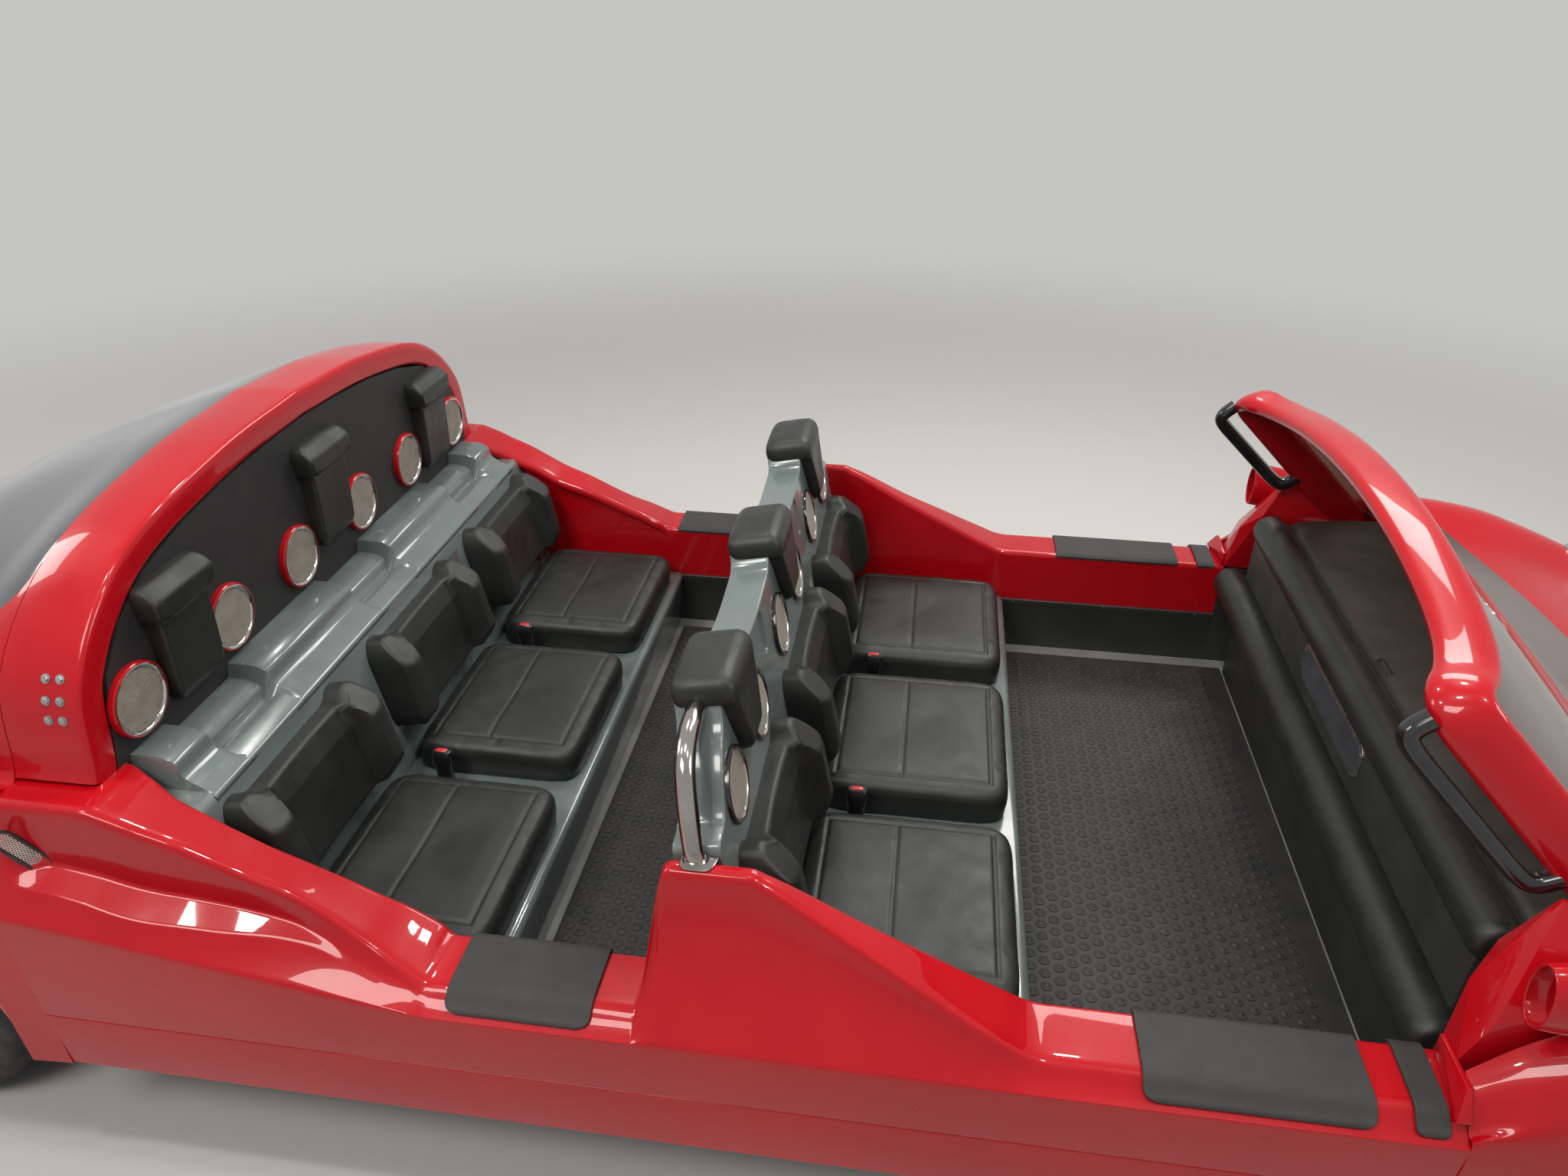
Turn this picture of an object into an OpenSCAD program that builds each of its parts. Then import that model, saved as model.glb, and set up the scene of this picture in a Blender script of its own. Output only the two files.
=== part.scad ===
// Open six-seat ride car: two rows of three seats in a moulded roadster body on four rubber-tyred wheels.
// Millimetres. +X is forward, +Y is the car's left side, +Z is up. The wheels stand on z = 0.

/* [Body] */
// Length over the nose and tail
car_l = 5300; // [5000:10:5600]
// Width over the body sides
car_w = 2000; // [1960:5:2060]
// Height of the flat step-over sill
sill_z = 560; // [540:5:590]
// Distance of the sill's outer top edge from the middle
sill_out = 945; // [935:1:955]
// How far the sides' widest line stays inside the fenders
waist_in = 16; // [10:1:24]
// Height of the sides' widest line under the sills
crease_front_z = 530; // [522:1:534]
// Half width of the cabin inside the sills
cabin_half = 820; // [800:5:830]
// Height of the seam between body side and skirt
seam_z = 395; // [380:5:405]
// Height of the lower edge of the body
body_low_z = 250; // [235:5:265]
// Wall of the moulded body shells
shell_t = 16; // [12:1:20]
// Height of the hump beside the front seat backs
hump_z = 800; // [780:5:820]
// Height of the rear fender crest at the hoop
rear_crest_z = 840; // [820:5:860]
// Length of a scoop's grille plate
grille_l = 110; // [90:2:120]
// Width of a scoop's grille plate
grille_w = 34; // [26:2:38]
// Thickness of the rubber pads on the sills
sill_pad_t = 8; // [5:1:12]

/* [Floor] */
// Underside of the floor pan
floor_z = 215; // [205:5:225]
// Thickness of the floor pan
floor_t = 22; // [18:1:28]
// Thickness of the rubber mats
mat_t = 8; // [5:1:12]

/* [Hoop and tail] */
// Position of the rear bulkhead's front face
bulkhead_x = -1010; // [-1030:5:-990]
// Thickness of the rear bulkhead
bulkhead_t = 30; // [20:1:40]
// Height of the hoop's outer crest at the middle
hoop_z = 1262; // [1240:2:1280]
// Depth of the hoop's roll
hoop_t = 58; // [50:1:66]
// Height of the hoop's shoulders
hoop_shoulder_z = 1182; // [1165:1:1195]
// Thickness of the rear window
window_t = 6; // [5:1:8]

/* [Windscreen] */
// Position of the header's middle line at its tips
header_x = 1166; // [1150:2:1180]
// How far the header's middle runs ahead of its tips
header_bow = 100; // [80:2:115]
// Height of the header at its tips
header_z = 1138; // [1110:2:1150]
// How far the header's middle rises above its tips
header_rise = 54; // [40:2:64]
// Half width between the header's tips
header_half = 672; // [650:2:690]
// Width of the header moulding
header_w = 92; // [80:2:100]
// Thickness of the header and pillar mouldings
header_t = 40; // [32:1:46]
// Position of the pillars' feet
pillar_foot_x = 1560; // [1540:5:1580]
// Distance of the pillars' feet from the middle
pillar_foot_y = 806; // [800:1:812]
// Height of the pillars' feet
pillar_foot_z = 748; // [740:1:756]
// Thickness of the glass
glass_t = 8; // [6:1:10]
// Diameter of the handles' bar
handle_d = 34; // [28:1:36]

/* [Seats] */
// Distance between the front seats
front_pitch = 540; // [530:1:542]
// Distance between the rear seats
rear_pitch = 553; // [545:1:555]
// Foot of the front backrests, where back and base meet
front_foot_x = 162; // [150:2:180]
// Foot of the rear backrests, where back and base meet
rear_foot_x = -792; // [-800:2:-780]
// Height of the seat bases
seat_base_z = 410; // [400:2:425]
// Lean of the backs from upright, in degrees
back_lean = 11; // [9:0.5:13]
// Thickness of the front backs' shell
back_shell_t = 85; // [70:1:95]
// Thickness of a seat cushion
cushion_t = 90; // [70:2:100]
// Length of a front cushion
front_cushion_l = 440; // [420:5:460]
// Length of a rear cushion
rear_cushion_l = 400; // [380:5:410]
// Width of a front or rear cushion
cushion_w = 470; // [440:5:480]
// Thickness of a backrest pad
backrest_t = 55; // [40:1:65]
// Height of a backrest pad
backrest_h = 235; // [215:5:245]
// Half width of a headrest at its top
headrest_half = 88; // [80:1:92]
// Diameter of a speaker's outer ring
speaker_d = 142; // [130:1:150]
// Diameter of the grab bars
bar_d = 36; // [30:1:38]
// Width of the belt webbing
belt_w = 46; // [40:1:48]

/* [Dash] */
// Position of the dash panel's face
dash_x = 1305; // [1295:1:1315]
// Thickness of the dash panel
dash_t = 20; // [14:1:24]
// Diameter of the lower knee roll
lower_roll_d = 96; // [86:1:100]
// Diameter of the upper roll
upper_roll_d = 88; // [80:1:92]

/* [Wheels] */
// Position of the front axle
front_axle_x = 1850; // [1830:5:1870]
// Position of the rear axle
rear_axle_x = -1600; // [-1620:5:-1580]
// Distance between the wheels of one axle, at the tyre middles
track = 1680; // [1660:5:1690]
// Diameter of the tyres
tyre_d = 610; // [590:2:620]
// Width of the tyres
tyre_w = 185; // [165:5:195]
// Diameter of the rims under the tyres
rim_d = 370; // [360:2:390]
// Radius of the wheel arches
arch_r = 360; // [350:2:372]
// Distance from kingpin to tyre middle
kingpin_offset = 80; // [78:1:90]
// Radius of the kingpins
kingpin_r = 12; // [10:1:14]
// Radius of the stub axles
stub_r = 20; // [18:1:22]
// Length of the steering arms
arm_l = 125; // [115:1:126]
// Radius of the tie rod's pins
rod_pin_r = 8; // [6:1:9]

/* [Frame] */
// Distance between the middles of the frame's rails
rail_gap = 800; // [760:10:820]
// Width of the rails
rail_w = 60; // [50:2:70]
// Underside of the rails
rail_z = 115; // [105:1:120]
// Distance of the frame's ends from the nose and tail
frame_end = 300; // [280:10:330]
// Height of the guide blades above the ground
guide_z = 32; // [30:1:50]
// Radius of the rear axle's tube
axle_tube_r = 42; // [36:1:46]
// Radius of the tow pin's holes
tow_r = 14; // [10:1:16]

/* [Hidden] */
$fn = 48;

red = [0.70, 0.05, 0.08];
grey_shell = [0.43, 0.48, 0.48];
black_pad = [0.08, 0.08, 0.08];
charcoal = [0.16, 0.16, 0.14];
steel = [0.75, 0.76, 0.78];
paint_grey = [0.30, 0.31, 0.33];
mesh_tan = [0.55, 0.50, 0.42];

half_w = car_w / 2;
side_half = half_w - waist_in;
nose_x = car_l / 2;
tail_x = -car_l / 2;
axle_z = tyre_d / 2;
floor_top = floor_z + floor_t;
rail_h = floor_z - rail_z;
kingpin_y = track / 2 - kingpin_offset;
// Gap between pieces that seat on each other
seat_gap = 0.3;
// Gap between body mouldings that meet in one surface
joint_gap = 0.8;
// Gap round the hoop, where its thick edge and the tail's turned edge meet
hoop_gap = 3;
// Gap round pins and shafts that turn
run_clear = 0.05;
// Rear end of the body sides, under the back of the hoop
side_rear = bulkhead_x - 150;
// Front end of the body sides, where the nose begins
side_front = dash_x - 43;

// Smooth curve through the rows of a table: column c against column 0
function row_of(t, x, i = 0) = (i >= len(t) - 2 || x < t[i + 1][0]) ? i : row_of(t, x, i + 1);
function slope_at(t, c, i) =
    let (a = max(i - 1, 0), b = min(i + 1, len(t) - 1)) (t[b][c] - t[a][c]) / (t[b][0] - t[a][0]);
function at(t, c, x) =
    let (i = row_of(t, x), h = t[i + 1][0] - t[i][0], s = max(0, min(1, (x - t[i][0]) / h)),
         s2 = s * s, s3 = s2 * s)
    t[i][c] * (2 * s3 - 3 * s2 + 1) + t[i + 1][c] * (3 * s2 - 2 * s3)
    + h * slope_at(t, c, i) * (s3 - 2 * s2 + s) + h * slope_at(t, c, i + 1) * (s3 - s2);
// Straight line through the rows of a table
function straight(t, c, x) =
    let (i = row_of(t, x), s = max(0, min(1, (x - t[i][0]) / (t[i + 1][0] - t[i][0]))))
    t[i][c] + s * (t[i + 1][c] - t[i][c]);

// Unit normal of a grid of points at row i and column j. The end rows stay square to the length.
function grid_normal(g, i, j, square) =
    let (n = len(g) - 1, m = len(g[0]) - 1,
         a = g[min(i + 1, n)][j] - g[max(i - 1, 0)][j], b = g[i][min(j + 1, m)] - g[i][max(j - 1, 0)],
         c = cross(a, b), d = (square && (i == 0 || i == n)) ? [0, c[1], c[2]] : c, l = norm(d))
    l > 0 ? d / l : [0, 0, 0];

// Closed shell of thickness t under a grid of points. keep(i, j) says which cells it has, and ease draws
// the edges of the kept part inward.
module grid_shell(g, t, keep = function (i, j) true, square = true, ease = 0) {
    n = len(g) - 1;
    m = len(g[0]) - 1;
    w = m + 1;
    total = (n + 1) * w;
    function has(i, j) = i >= 0 && j >= 0 && i < n && j < m && keep(i, j);
    function one(i, j) = has(i, j) ? 1 : 0;
    function toward(a, b) = norm(b - a) > 0 ? (b - a) / norm(b - a) : [0, 0, 0];
    function eased(i, j) =
        let (di = sign(one(i, j) + one(i, j - 1) - one(i - 1, j) - one(i - 1, j - 1)),
             dj = sign(one(i, j) + one(i - 1, j) - one(i, j - 1) - one(i - 1, j - 1)))
        g[i][j] + ease * (di * toward(g[max(i - 1, 0)][j], g[min(i + 1, n)][j])
            + dj * toward(g[i][max(j - 1, 0)], g[i][min(j + 1, m)]));
    outer = [for (i = [0:n], j = [0:m]) eased(i, j)];
    inner = [for (i = [0:n], j = [0:m]) eased(i, j) - t * grid_normal(g, i, j, square)];
    function wall(p, q) = [[q, p, p + total], [q, p + total, q + total]];
    faces = [for (i = [0:n - 1], j = [0:m - 1]) if (has(i, j))
        let (a = i * w + j, b = a + w, c = b + 1, d = a + 1)
        each concat(
            [[a, d, c], [a, c, b], [a + total, c + total, d + total], [a + total, b + total, c + total]],
            has(i, j - 1) ? [] : wall(b, a),
            has(i, j + 1) ? [] : wall(d, c),
            has(i - 1, j) ? [] : wall(a, d),
            has(i + 1, j) ? [] : wall(c, b))];
    polyhedron(points = concat(outer, inner), faces = faces, convexity = 8);
}

// Solid loft through sections of equal point count, closed at both ends
module loft(sections) {
    n = len(sections) - 1;
    m = len(sections[0]);
    faces = concat(
        [[for (j = [0:m - 1]) j]],
        [for (i = [0:n - 1], j = [0:m - 1])
            let (a = i * m + j, b = i * m + (j + 1) % m, c = b + m, d = a + m) each [[a, d, c], [a, c, b]]],
        [[for (j = [m - 1:-1:0]) n * m + j]]);
    polyhedron(points = [for (s = sections) each s], faces = faces, convexity = 8);
}

// Moulding swept along a path of points, w wide along its broad directions and h thick
module ribbon(path, broad, w, h, ring = 10) {
    n = len(path) - 1;
    loft([for (i = [0:n])
        let (d = path[min(i + 1, n)] - path[max(i - 1, 0)], t = d / norm(d),
             a0 = broad[i] - t * (broad[i] * t), a = a0 / norm(a0), b = cross(a, t))
        [for (k = [0:ring - 1]) path[i] + a * (w / 2 * cos(360 * (k + 0.5) / ring))
            - b * (h / 2 * sin(360 * (k + 0.5) / ring))]]);
}

// Round bar of diameter d along a path
module bar(path, d) {
    ribbon(path, [for (p = path) [0.3, 1, 0.2]], d, d, 12);
}

// Padded block lofted upward. Columns of rows: height, half width, back x, front x
module pad(rows, r) {
    loft([for (q = rows) [for (p = [[q[2] + r, -q[1]], [q[3] - r, -q[1]], [q[3], -q[1] + r], [q[3], q[1] - r],
        [q[3] - r, q[1]], [q[2] + r, q[1]], [q[2], q[1] - r], [q[2], -q[1] + r]]) [p[0], p[1], q[0]]]]);
}

// Copies a child to the left and right sides
module both_sides() {
    children();
    mirror([0, 1, 0]) children();
}

// Extrudes a side-view outline [x, z] across the car, centred on y, over a width
module across(width, y = 0) {
    translate([0, y + width / 2, 0]) rotate([90, 0, 0]) linear_extrude(height = width) children();
}

// Extrudes a cross-section [y, z] along the car from x0 to x1
module along(x0, x1) {
    translate([x0, 0, 0]) rotate([90, 0, 90]) linear_extrude(height = x1 - x0) children();
}

// Body sides

// Heights as shares of the rise from the sill to the hump, or to the rear crest
function hump(k) = sill_z + k * (hump_z - sill_z);
function rear(k) = sill_z + k * (rear_crest_z - sill_z);
// Columns: x, how far the inner edge leans over the cabin, how far that edge stands above the shoulder,
// distance of the shoulder from the middle, height of the shoulder
side_table = [
    [side_rear, 0, -6, 908, rear(1.01)], [bulkhead_x, 0, -4, 904, rear(1)], [bulkhead_x + 1, 60, -5, 904, rear(1)],
    [-960, 47, -8, 904, rear(0.95)], [-900, 27, -10, 902, rear(0.86)], [-850, 22, -13, 900, rear(0.79)],
    [-800, 18, -12, 898, rear(0.7)], [-740, 18, -14, 896, rear(0.59)], [-660, 14, -10, 898, rear(0.47)],
    [-600, 12, -2, 903, rear(0.355)], [-540, 10, 4, 914, rear(0.235)], [-480, 8, 8, 930, rear(0.13)],
    [-435, 5, 8, 940, rear(0.045)], [-405, 0, 0, sill_out, sill_z], [-46, 0, 0, sill_out, sill_z],
    [-38, 0, 0, 934, hump(0.13)], [-16, 0, 0, 858, hump(0.86)], [-8, 0, 0, 854, hump(0.97)], [8, 0, 0, 853, hump_z],
    [136, 0, 0, 853, hump_z], [160, 0, 0, 857, hump(0.96)], [200, 0, 0, 865, hump(0.88)], [320, 0, 0, 886, hump(0.604)],
    [440, 0, 0, 914, hump(0.35)], [560, 0, 0, 938, hump(0.104)], [612, 0, 0, sill_out - 1, hump(0.015)],
    [640, 0, 0, sill_out, sill_z], [side_front, 0, 0, sill_out, sill_z]];
// Columns: x, height of the scoop's ledge as a share of the way from the crease to the shoulder, depth as a share
scoop_rear = side_rear + 10;
scoop_table = [
    [scoop_rear, 0.36, 0], [-1118, 0.36, 0.55], [-1085, 0.36, 1], [-930, 0.31, 1], [-795, 0.38, 1],
    [-660, 0.52, 0.8], [-600, 0.56, 0.4], [-540, 0.5, 0], [-435, 0.35, 0], [side_front, 0.35, 0]];
side_stations = [side_rear, scoop_rear, -1118, -1085, bulkhead_x, bulkhead_x + 1, -960, -900, -850, -800, -740, -660,
                 -600, -540, -480, -435, -405, -46, -38, -16, -8, 8, 136, 160, 200, 260, 320, 380, 440, 500, 560,
                 612, 640, side_front];
// Height of the widest line
function crease_z(x) = crease_front_z + max(0, (-405 - x) * 0.157);
// Outer face between the crease and the shoulder, hollow like a flared skirt
function face_y(x, z, ys, zs) = ys + (side_half - ys) * pow(max(0, (zs - z) / (zs - crease_z(x))), 1.8);
function side_section(x) =
    let (lean = straight(side_table, 1, x), ys = straight(side_table, 3, x), zs = straight(side_table, 4, x),
         zi = zs + straight(side_table, 2, x), zc = crease_z(x), yi = cabin_half - lean,
         zv = zc + straight(scoop_table, 1, x) * (zs - zc), q = straight(scoop_table, 2, x),
         top = zs - min(14, 0.4 * (zs - zc)), zo = zv - 0.1 * (zs - zc))
    [for (p = concat(
        [[side_half - 6, seam_z], [side_half, zc]],
        [for (z = [(zc + zo) / 2, zo]) [face_y(x, z, ys, zs), z]],
        [for (k = [0:3]) let (z = zv + (top - zv) * k / 3, y = face_y(x, z, ys, zs)) [y - q * (y - ys), z]],
        [[ys - 4, zs - 4], [ys - 14, zs], [(ys + yi) / 2, (zs + zi) / 2], [yi + 8, zi - 1], [yi, zi - 9],
         [yi, zi - 24], [cabin_half, zi - 30], [cabin_half, seam_z]]))
     [x, p[0], p[1]]];
// Place on the scoop's rear wall where the grille plate is let in
module at_grille() {
    translate([-1117, (904 + side_half) / 2 - 20, 752]) rotate([0, 0, 57]) rotate([-29, 0, 0]) children();
}
module grille_outline(grow = 0) {
    for (s = [-1, 1]) translate([0, 0, s * (grille_l - grille_w) / 2]) rotate([0, 90, 0])
        cylinder(d = grille_w + 2 * grow, h = 60);
    translate([0, -grille_w / 2 - grow, -(grille_l - grille_w) / 2]) cube([60, grille_w + 2 * grow, grille_l - grille_w]);
}
module body_side() {
    difference() {
        loft([for (x = side_stations) side_section(x)]);
        at_grille() translate([-10, 0, 0]) grille_outline(seat_gap);
    }
}
module body_side_left() { color(red) body_side(); }
module body_side_right() { color(red) mirror([0, 1, 0]) body_side(); }

// Pads that wrap the sills' outer edges: columns x low, x high
pad_table = [[-372, -118], [780, 1131], [side_front - 76, side_front - 26]];
// Outline of the sill from its outer face over its edge
pad_line = [for (k = [4:11]) let (s = side_section(-240)) [s[k][1], s[k][2]]];
function pad_point(k, d) = let (n = len(pad_line) - 1, t = pad_line[min(k + 1, n)] - pad_line[max(k - 1, 0)])
    pad_line[k] + d * [t[1], -t[0]] / norm(t);
module sill_pads() {
    n = len(pad_line) - 1;
    color(black_pad) both_sides() for (row = pad_table) along(row[0], row[1]) polygon(concat(
        [for (k = [0:n]) pad_point(k, seat_gap)], [for (k = [n:-1:0]) pad_point(k, sill_pad_t)]));
}

// Lower skirts, flush under the seam
module side_skirts() {
    out = side_half - 6;
    color(red) both_sides() along(side_rear, side_front) polygon([
        [cabin_half + 2, seam_z], [out, seam_z], [out - 8, body_low_z], [out - 28, body_low_z], [out - 22, seam_z - 20],
        [cabin_half + 2, seam_z - 20]]);
}

// Floor

front_shell_back_x = front_foot_x - back_shell_t - 12;
rear_base_front_x = rear_foot_x + rear_cushion_l + 32;
front_base_front_x = front_foot_x + front_cushion_l + 38;
module floor_pan() {
    color([0.5, 0.5, 0.48]) translate([bulkhead_x, -cabin_half + 1, floor_z])
        cube([dash_x + dash_t + 40 - bulkhead_x, 2 * cabin_half - 2, floor_t]);
}
// Front and rear mats: columns x low, x high
mat_table = [[rear_base_front_x + 8, front_shell_back_x - 8], [front_base_front_x + 8, dash_x - 6]];
module floor_mats() {
    color(black_pad) for (row = mat_table)
        translate([row[0], -cabin_half + 60, floor_top]) cube([row[1] - row[0], 2 * cabin_half - 120, mat_t]);
}

// Nose moulding: fenders, bonnet and front in one shell

arch_steps = 12;
function arch_x(centre, k) = centre - arch_r * cos(180 * k / arch_steps);
function arch_low(centre, x) =
    abs(x - centre) >= arch_r ? body_low_z : axle_z + sqrt(arch_r * arch_r - pow(x - centre, 2));
// Columns: x, half width, fender crown height, crown distance from the middle, valley height, middle height
nose_table = [
    [side_front, side_half, sill_z + 46, 900, 590, 600], [1340, side_half + 4, 672, 890, 650, 640],
    [1430, half_w - 6, 724, 885, 695, 665], [1560, half_w, 765, 882, 722, 680], [1729, half_w, 786, 880, 736, 688],
    [1864, half_w - 2, 776, 873, 722, 682], [1973, half_w - 10, 753, 862, 700, 668],
    [nose_x - 486, half_w - 45, 690, 815, 640, 630], [nose_x - 300, half_w - 120, 618, 730, 575, 582],
    [nose_x - 150, half_w - 230, 545, 620, 515, 530], [nose_x - 50, half_w - 360, 480, 500, 462, 480],
    [nose_x, half_w - 500, 420, 380, 412, 425]];
nose_rows = concat([side_front, 1300, 1340, 1420], [for (k = [0:arch_steps]) arch_x(front_axle_x, k)],
                   [for (d = [340, 250, 160, 90, 40, 10, 0]) nose_x - d]);
cowl_row = 8;
cowl_x = 1945;
crown_col = 6;
nose_cols = 12;
lip_start = nose_x - 350;
function nose_low(x) = x > lip_start ? body_low_z + 40 * pow((x - lip_start) / 350, 2) : arch_low(front_axle_x, x);
// Cross-section of the nose: seven control points from the middle to the lower edge
function nose_controls(x) =
    let (w = min(half_w, at(nose_table, 1, x)), zf = at(nose_table, 2, x), yf = at(nose_table, 3, x), zv = at(nose_table, 4, x),
         zc = at(nose_table, 5, x), low = nose_low(x), side = max(low + 30, min(crease_front_z, zf - 90)))
    [[0, 0, zc], [1, yf * 0.45, zc * 0.6 + zv * 0.4], [2, yf * 0.78, zv], [3, yf, zf],
     [4, w - 22, max(zf - 62, side + 20)], [5, w, side], [6, w - 12, low]];
function nose_point(x, s) = let (c = nose_controls(x)) [x, min(at(c, 1, s), c[5][1]), at(c, 2, s)];
function cowl_line(s) = cowl_x - (cowl_x - nose_rows[cowl_row]) * pow(s / 3, 2);
function nose_x_of(i, s) =
    let (xi = nose_rows[i], start = cowl_line(s))
    s >= 3 || i < cowl_row ? xi : start + (nose_x - start) * (xi - nose_rows[cowl_row]) / (nose_x - nose_rows[cowl_row]);
nose_grid = [for (i = [0:len(nose_rows) - 1]) [for (j = [0:2 * nose_cols])
    let (s = abs(j - nose_cols) * 6 / nose_cols, p = nose_point(nose_x_of(i, s), s))
    [p[0], (j < nose_cols ? -1 : 1) * p[1], p[2]]]];

// Lamps let into the fenders
lamp_x = nose_x - 440;
lamp_y = 800;
lamp_z = 655;
lamp_r = 78;
lamp_tilt = 38;
module at_lamp() {
    translate([lamp_x, lamp_y, lamp_z]) rotate([0, lamp_tilt, 10]) children();
}
// Intake in the lower front
intake_w = 620;
intake_low = 300;
intake_h = 96;
module nose() {
    color(red) difference() {
        union() {
            grid_shell(nose_grid, shell_t,
                function (i, j) i >= cowl_row || j < nose_cols - crown_col || j >= nose_cols + crown_col);
            along(nose_x - shell_t, nose_x) polygon([for (p = nose_grid[len(nose_rows) - 1]) [p[1], p[2]]]);
        }
        both_sides() at_lamp() translate([0, 0, -120]) cylinder(r = lamp_r, h = 240);
        translate([nose_x - 60, -intake_w / 2, intake_low]) cube([100, intake_w, intake_h]);
    }
}
module headlamps() {
    color([0.9, 0.9, 0.88]) both_sides() at_lamp() rotate_extrude() polygon([
        [0, -70], [40, -70], [lamp_r - seat_gap, -20], [lamp_r - seat_gap, 6], [lamp_r - 12, 8],
        [lamp_r - 20, 0], [30, 12], [0, 15]]);
}

// Plates let into the rear walls of the side scoops, and the slats of the intake
slat_pitch = 24;
module grilles() {
    color(steel) {
        both_sides() intersection() {
            at_grille() translate([-10 + seat_gap, 0, 0]) grille_outline();
            at_grille() translate([-20, -60, -100]) cube([14, 120, 200]);
        }
        translate([nose_x - shell_t, 0, intake_low]) {
            for (k = [0:3]) translate([0, -intake_w / 2 + seat_gap, k * slat_pitch + 9])
                cube([shell_t - 2, intake_w - 2 * seat_gap, 7]);
            for (y = [-intake_w / 2 + seat_gap, -6, intake_w / 2 - seat_gap - 12])
                translate([0, y, seat_gap]) cube([6, 12, intake_h - 2 * seat_gap]);
        }
    }
}

// Tail moulding: haunches, canopy and rear deck in one shell with the window's opening

// Columns: x, half width, crest height, crest distance from the middle, canopy foot height, shoulder distance,
// shoulder height, middle height
tail_table = [
    [bulkhead_x, side_half, rear(1), 904, rear(1) + 4, 610, hoop_shoulder_z, hoop_z],
    [side_rear, side_half, rear(1.01), 908, rear(1) + 6, 612, hoop_shoulder_z - 12, hoop_z - 6],
    [-1300, half_w - 8, rear(1.06), 910, rear(1) + 4, 590, 1110, hoop_z - 47],
    [-1600, half_w, rear(1.08), 900, rear(1) - 8, 540, 1010, 1105],
    [-1900, half_w - 2, 810, 875, 770, 480, 880, 965], [tail_x + 450, half_w - 25, 735, 838, 702, 440, 765, 835],
    [tail_x + 200, half_w - 100, 640, 760, 625, 400, 665, 710], [tail_x + 50, half_w - 210, 540, 640, 530, 340, 560, 590],
    [tail_x, half_w - 300, 480, 560, 475, 300, 495, 520]];
tail_rows = concat([bulkhead_x, bulkhead_x - 20, bulkhead_x - 60, side_rear],
                   [for (k = [arch_steps:-1:0]) arch_x(rear_axle_x, k)],
                   [for (d = [570, 450, 320, 200, 100, 30, 0]) tail_x + d]);
tail_cols = 14;
tail_mirror = [for (r = tail_table) concat([-r[0]], [for (k = [1:7]) r[k]])];
function tail_controls(x) =
    let (q = -x, t = tail_mirror, w = min(half_w, at(t, 1, q)), zf = at(t, 2, q), yf = at(t, 3, q), zv = at(t, 4, q),
         ys = at(t, 5, q), zs = at(t, 6, q), zc = at(t, 7, q), low = arch_low(rear_axle_x, x),
         side = max(low + 30, min(crease_z(max(x, side_rear)), zf - 90)))
    [[0, 0, zc], [1, ys * 0.5, zc - (zc - zs) * 0.22], [2, ys, zs], [3, (ys + yf) / 2 + 34, (zs + zv) / 2 + 21],
     [4, yf - 63, zv], [5, yf, zf], [6, w, side], [7, w - 12, low]];
// How hollow the fender's outer face is: 1.8 as on the sides, under 1 where it bulges over the wheel
function flare(x) = max(0.7, 1.8 + (x - side_rear) / 180);
function tail_point(x, s) =
    let (c = tail_controls(x), u = s - 5)
    s <= 5 ? [x, at(c, 1, s), at(c, 2, s)]
    : u <= 1 ? [x, c[5][1] + (c[6][1] - c[5][1]) * pow(u, flare(x)), c[5][2] + (c[6][2] - c[5][2]) * u]
    : [x, c[6][1] + (c[7][1] - c[6][1]) * (u - 1), c[6][2] + (c[7][2] - c[6][2]) * (u - 1)];
tail_grid = [for (i = [0:len(tail_rows) - 1]) [for (j = [0:2 * tail_cols])
    let (s = abs(j - tail_cols) * 7 / tail_cols, p = tail_point(tail_rows[i], s))
    [p[0], (j < tail_cols ? 1 : -1) * p[1], p[2]]]];
hoop_rows = 3;
hoop_cols = 8;
window_last = 17;
window_cols = 5;
function in_window(i, j) =
    i >= hoop_rows && i < window_last && j >= tail_cols - window_cols && j < tail_cols + window_cols;
function in_hoop(i, j) = i < hoop_rows && j >= tail_cols - hoop_cols && j < tail_cols + hoop_cols;

tail_lamp_y = 430;
tail_lamp_z = 420;
tail_lamp_r = 45;
module tail() {
    color(red) difference() {
        union() {
            grid_shell(tail_grid, shell_t, function (i, j) i >= hoop_rows && !in_window(i, j));
            along(tail_x, tail_x + shell_t) polygon([for (p = tail_grid[len(tail_rows) - 1]) [p[1], p[2]]]);
        }
        both_sides() translate([tail_x - 10, tail_lamp_y, tail_lamp_z]) rotate([0, 90, 0])
            cylinder(r = tail_lamp_r, h = shell_t + 60);
    }
}
module rear_hoop() {
    color(red) grid_shell(tail_grid, hoop_t, function (i, j) in_hoop(i, j), ease = hoop_gap);
}
module rear_window() {
    color([0.1, 0.12, 0.14]) grid_shell(tail_grid, window_t, function (i, j) in_window(i, j), ease = joint_gap);
}
module tail_lamps() {
    color([0.6, 0.05, 0.05]) both_sides() translate([tail_x, tail_lamp_y, tail_lamp_z]) rotate([0, 90, 0])
        cylinder(r = tail_lamp_r - seat_gap, h = shell_t + 4);
}

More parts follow.
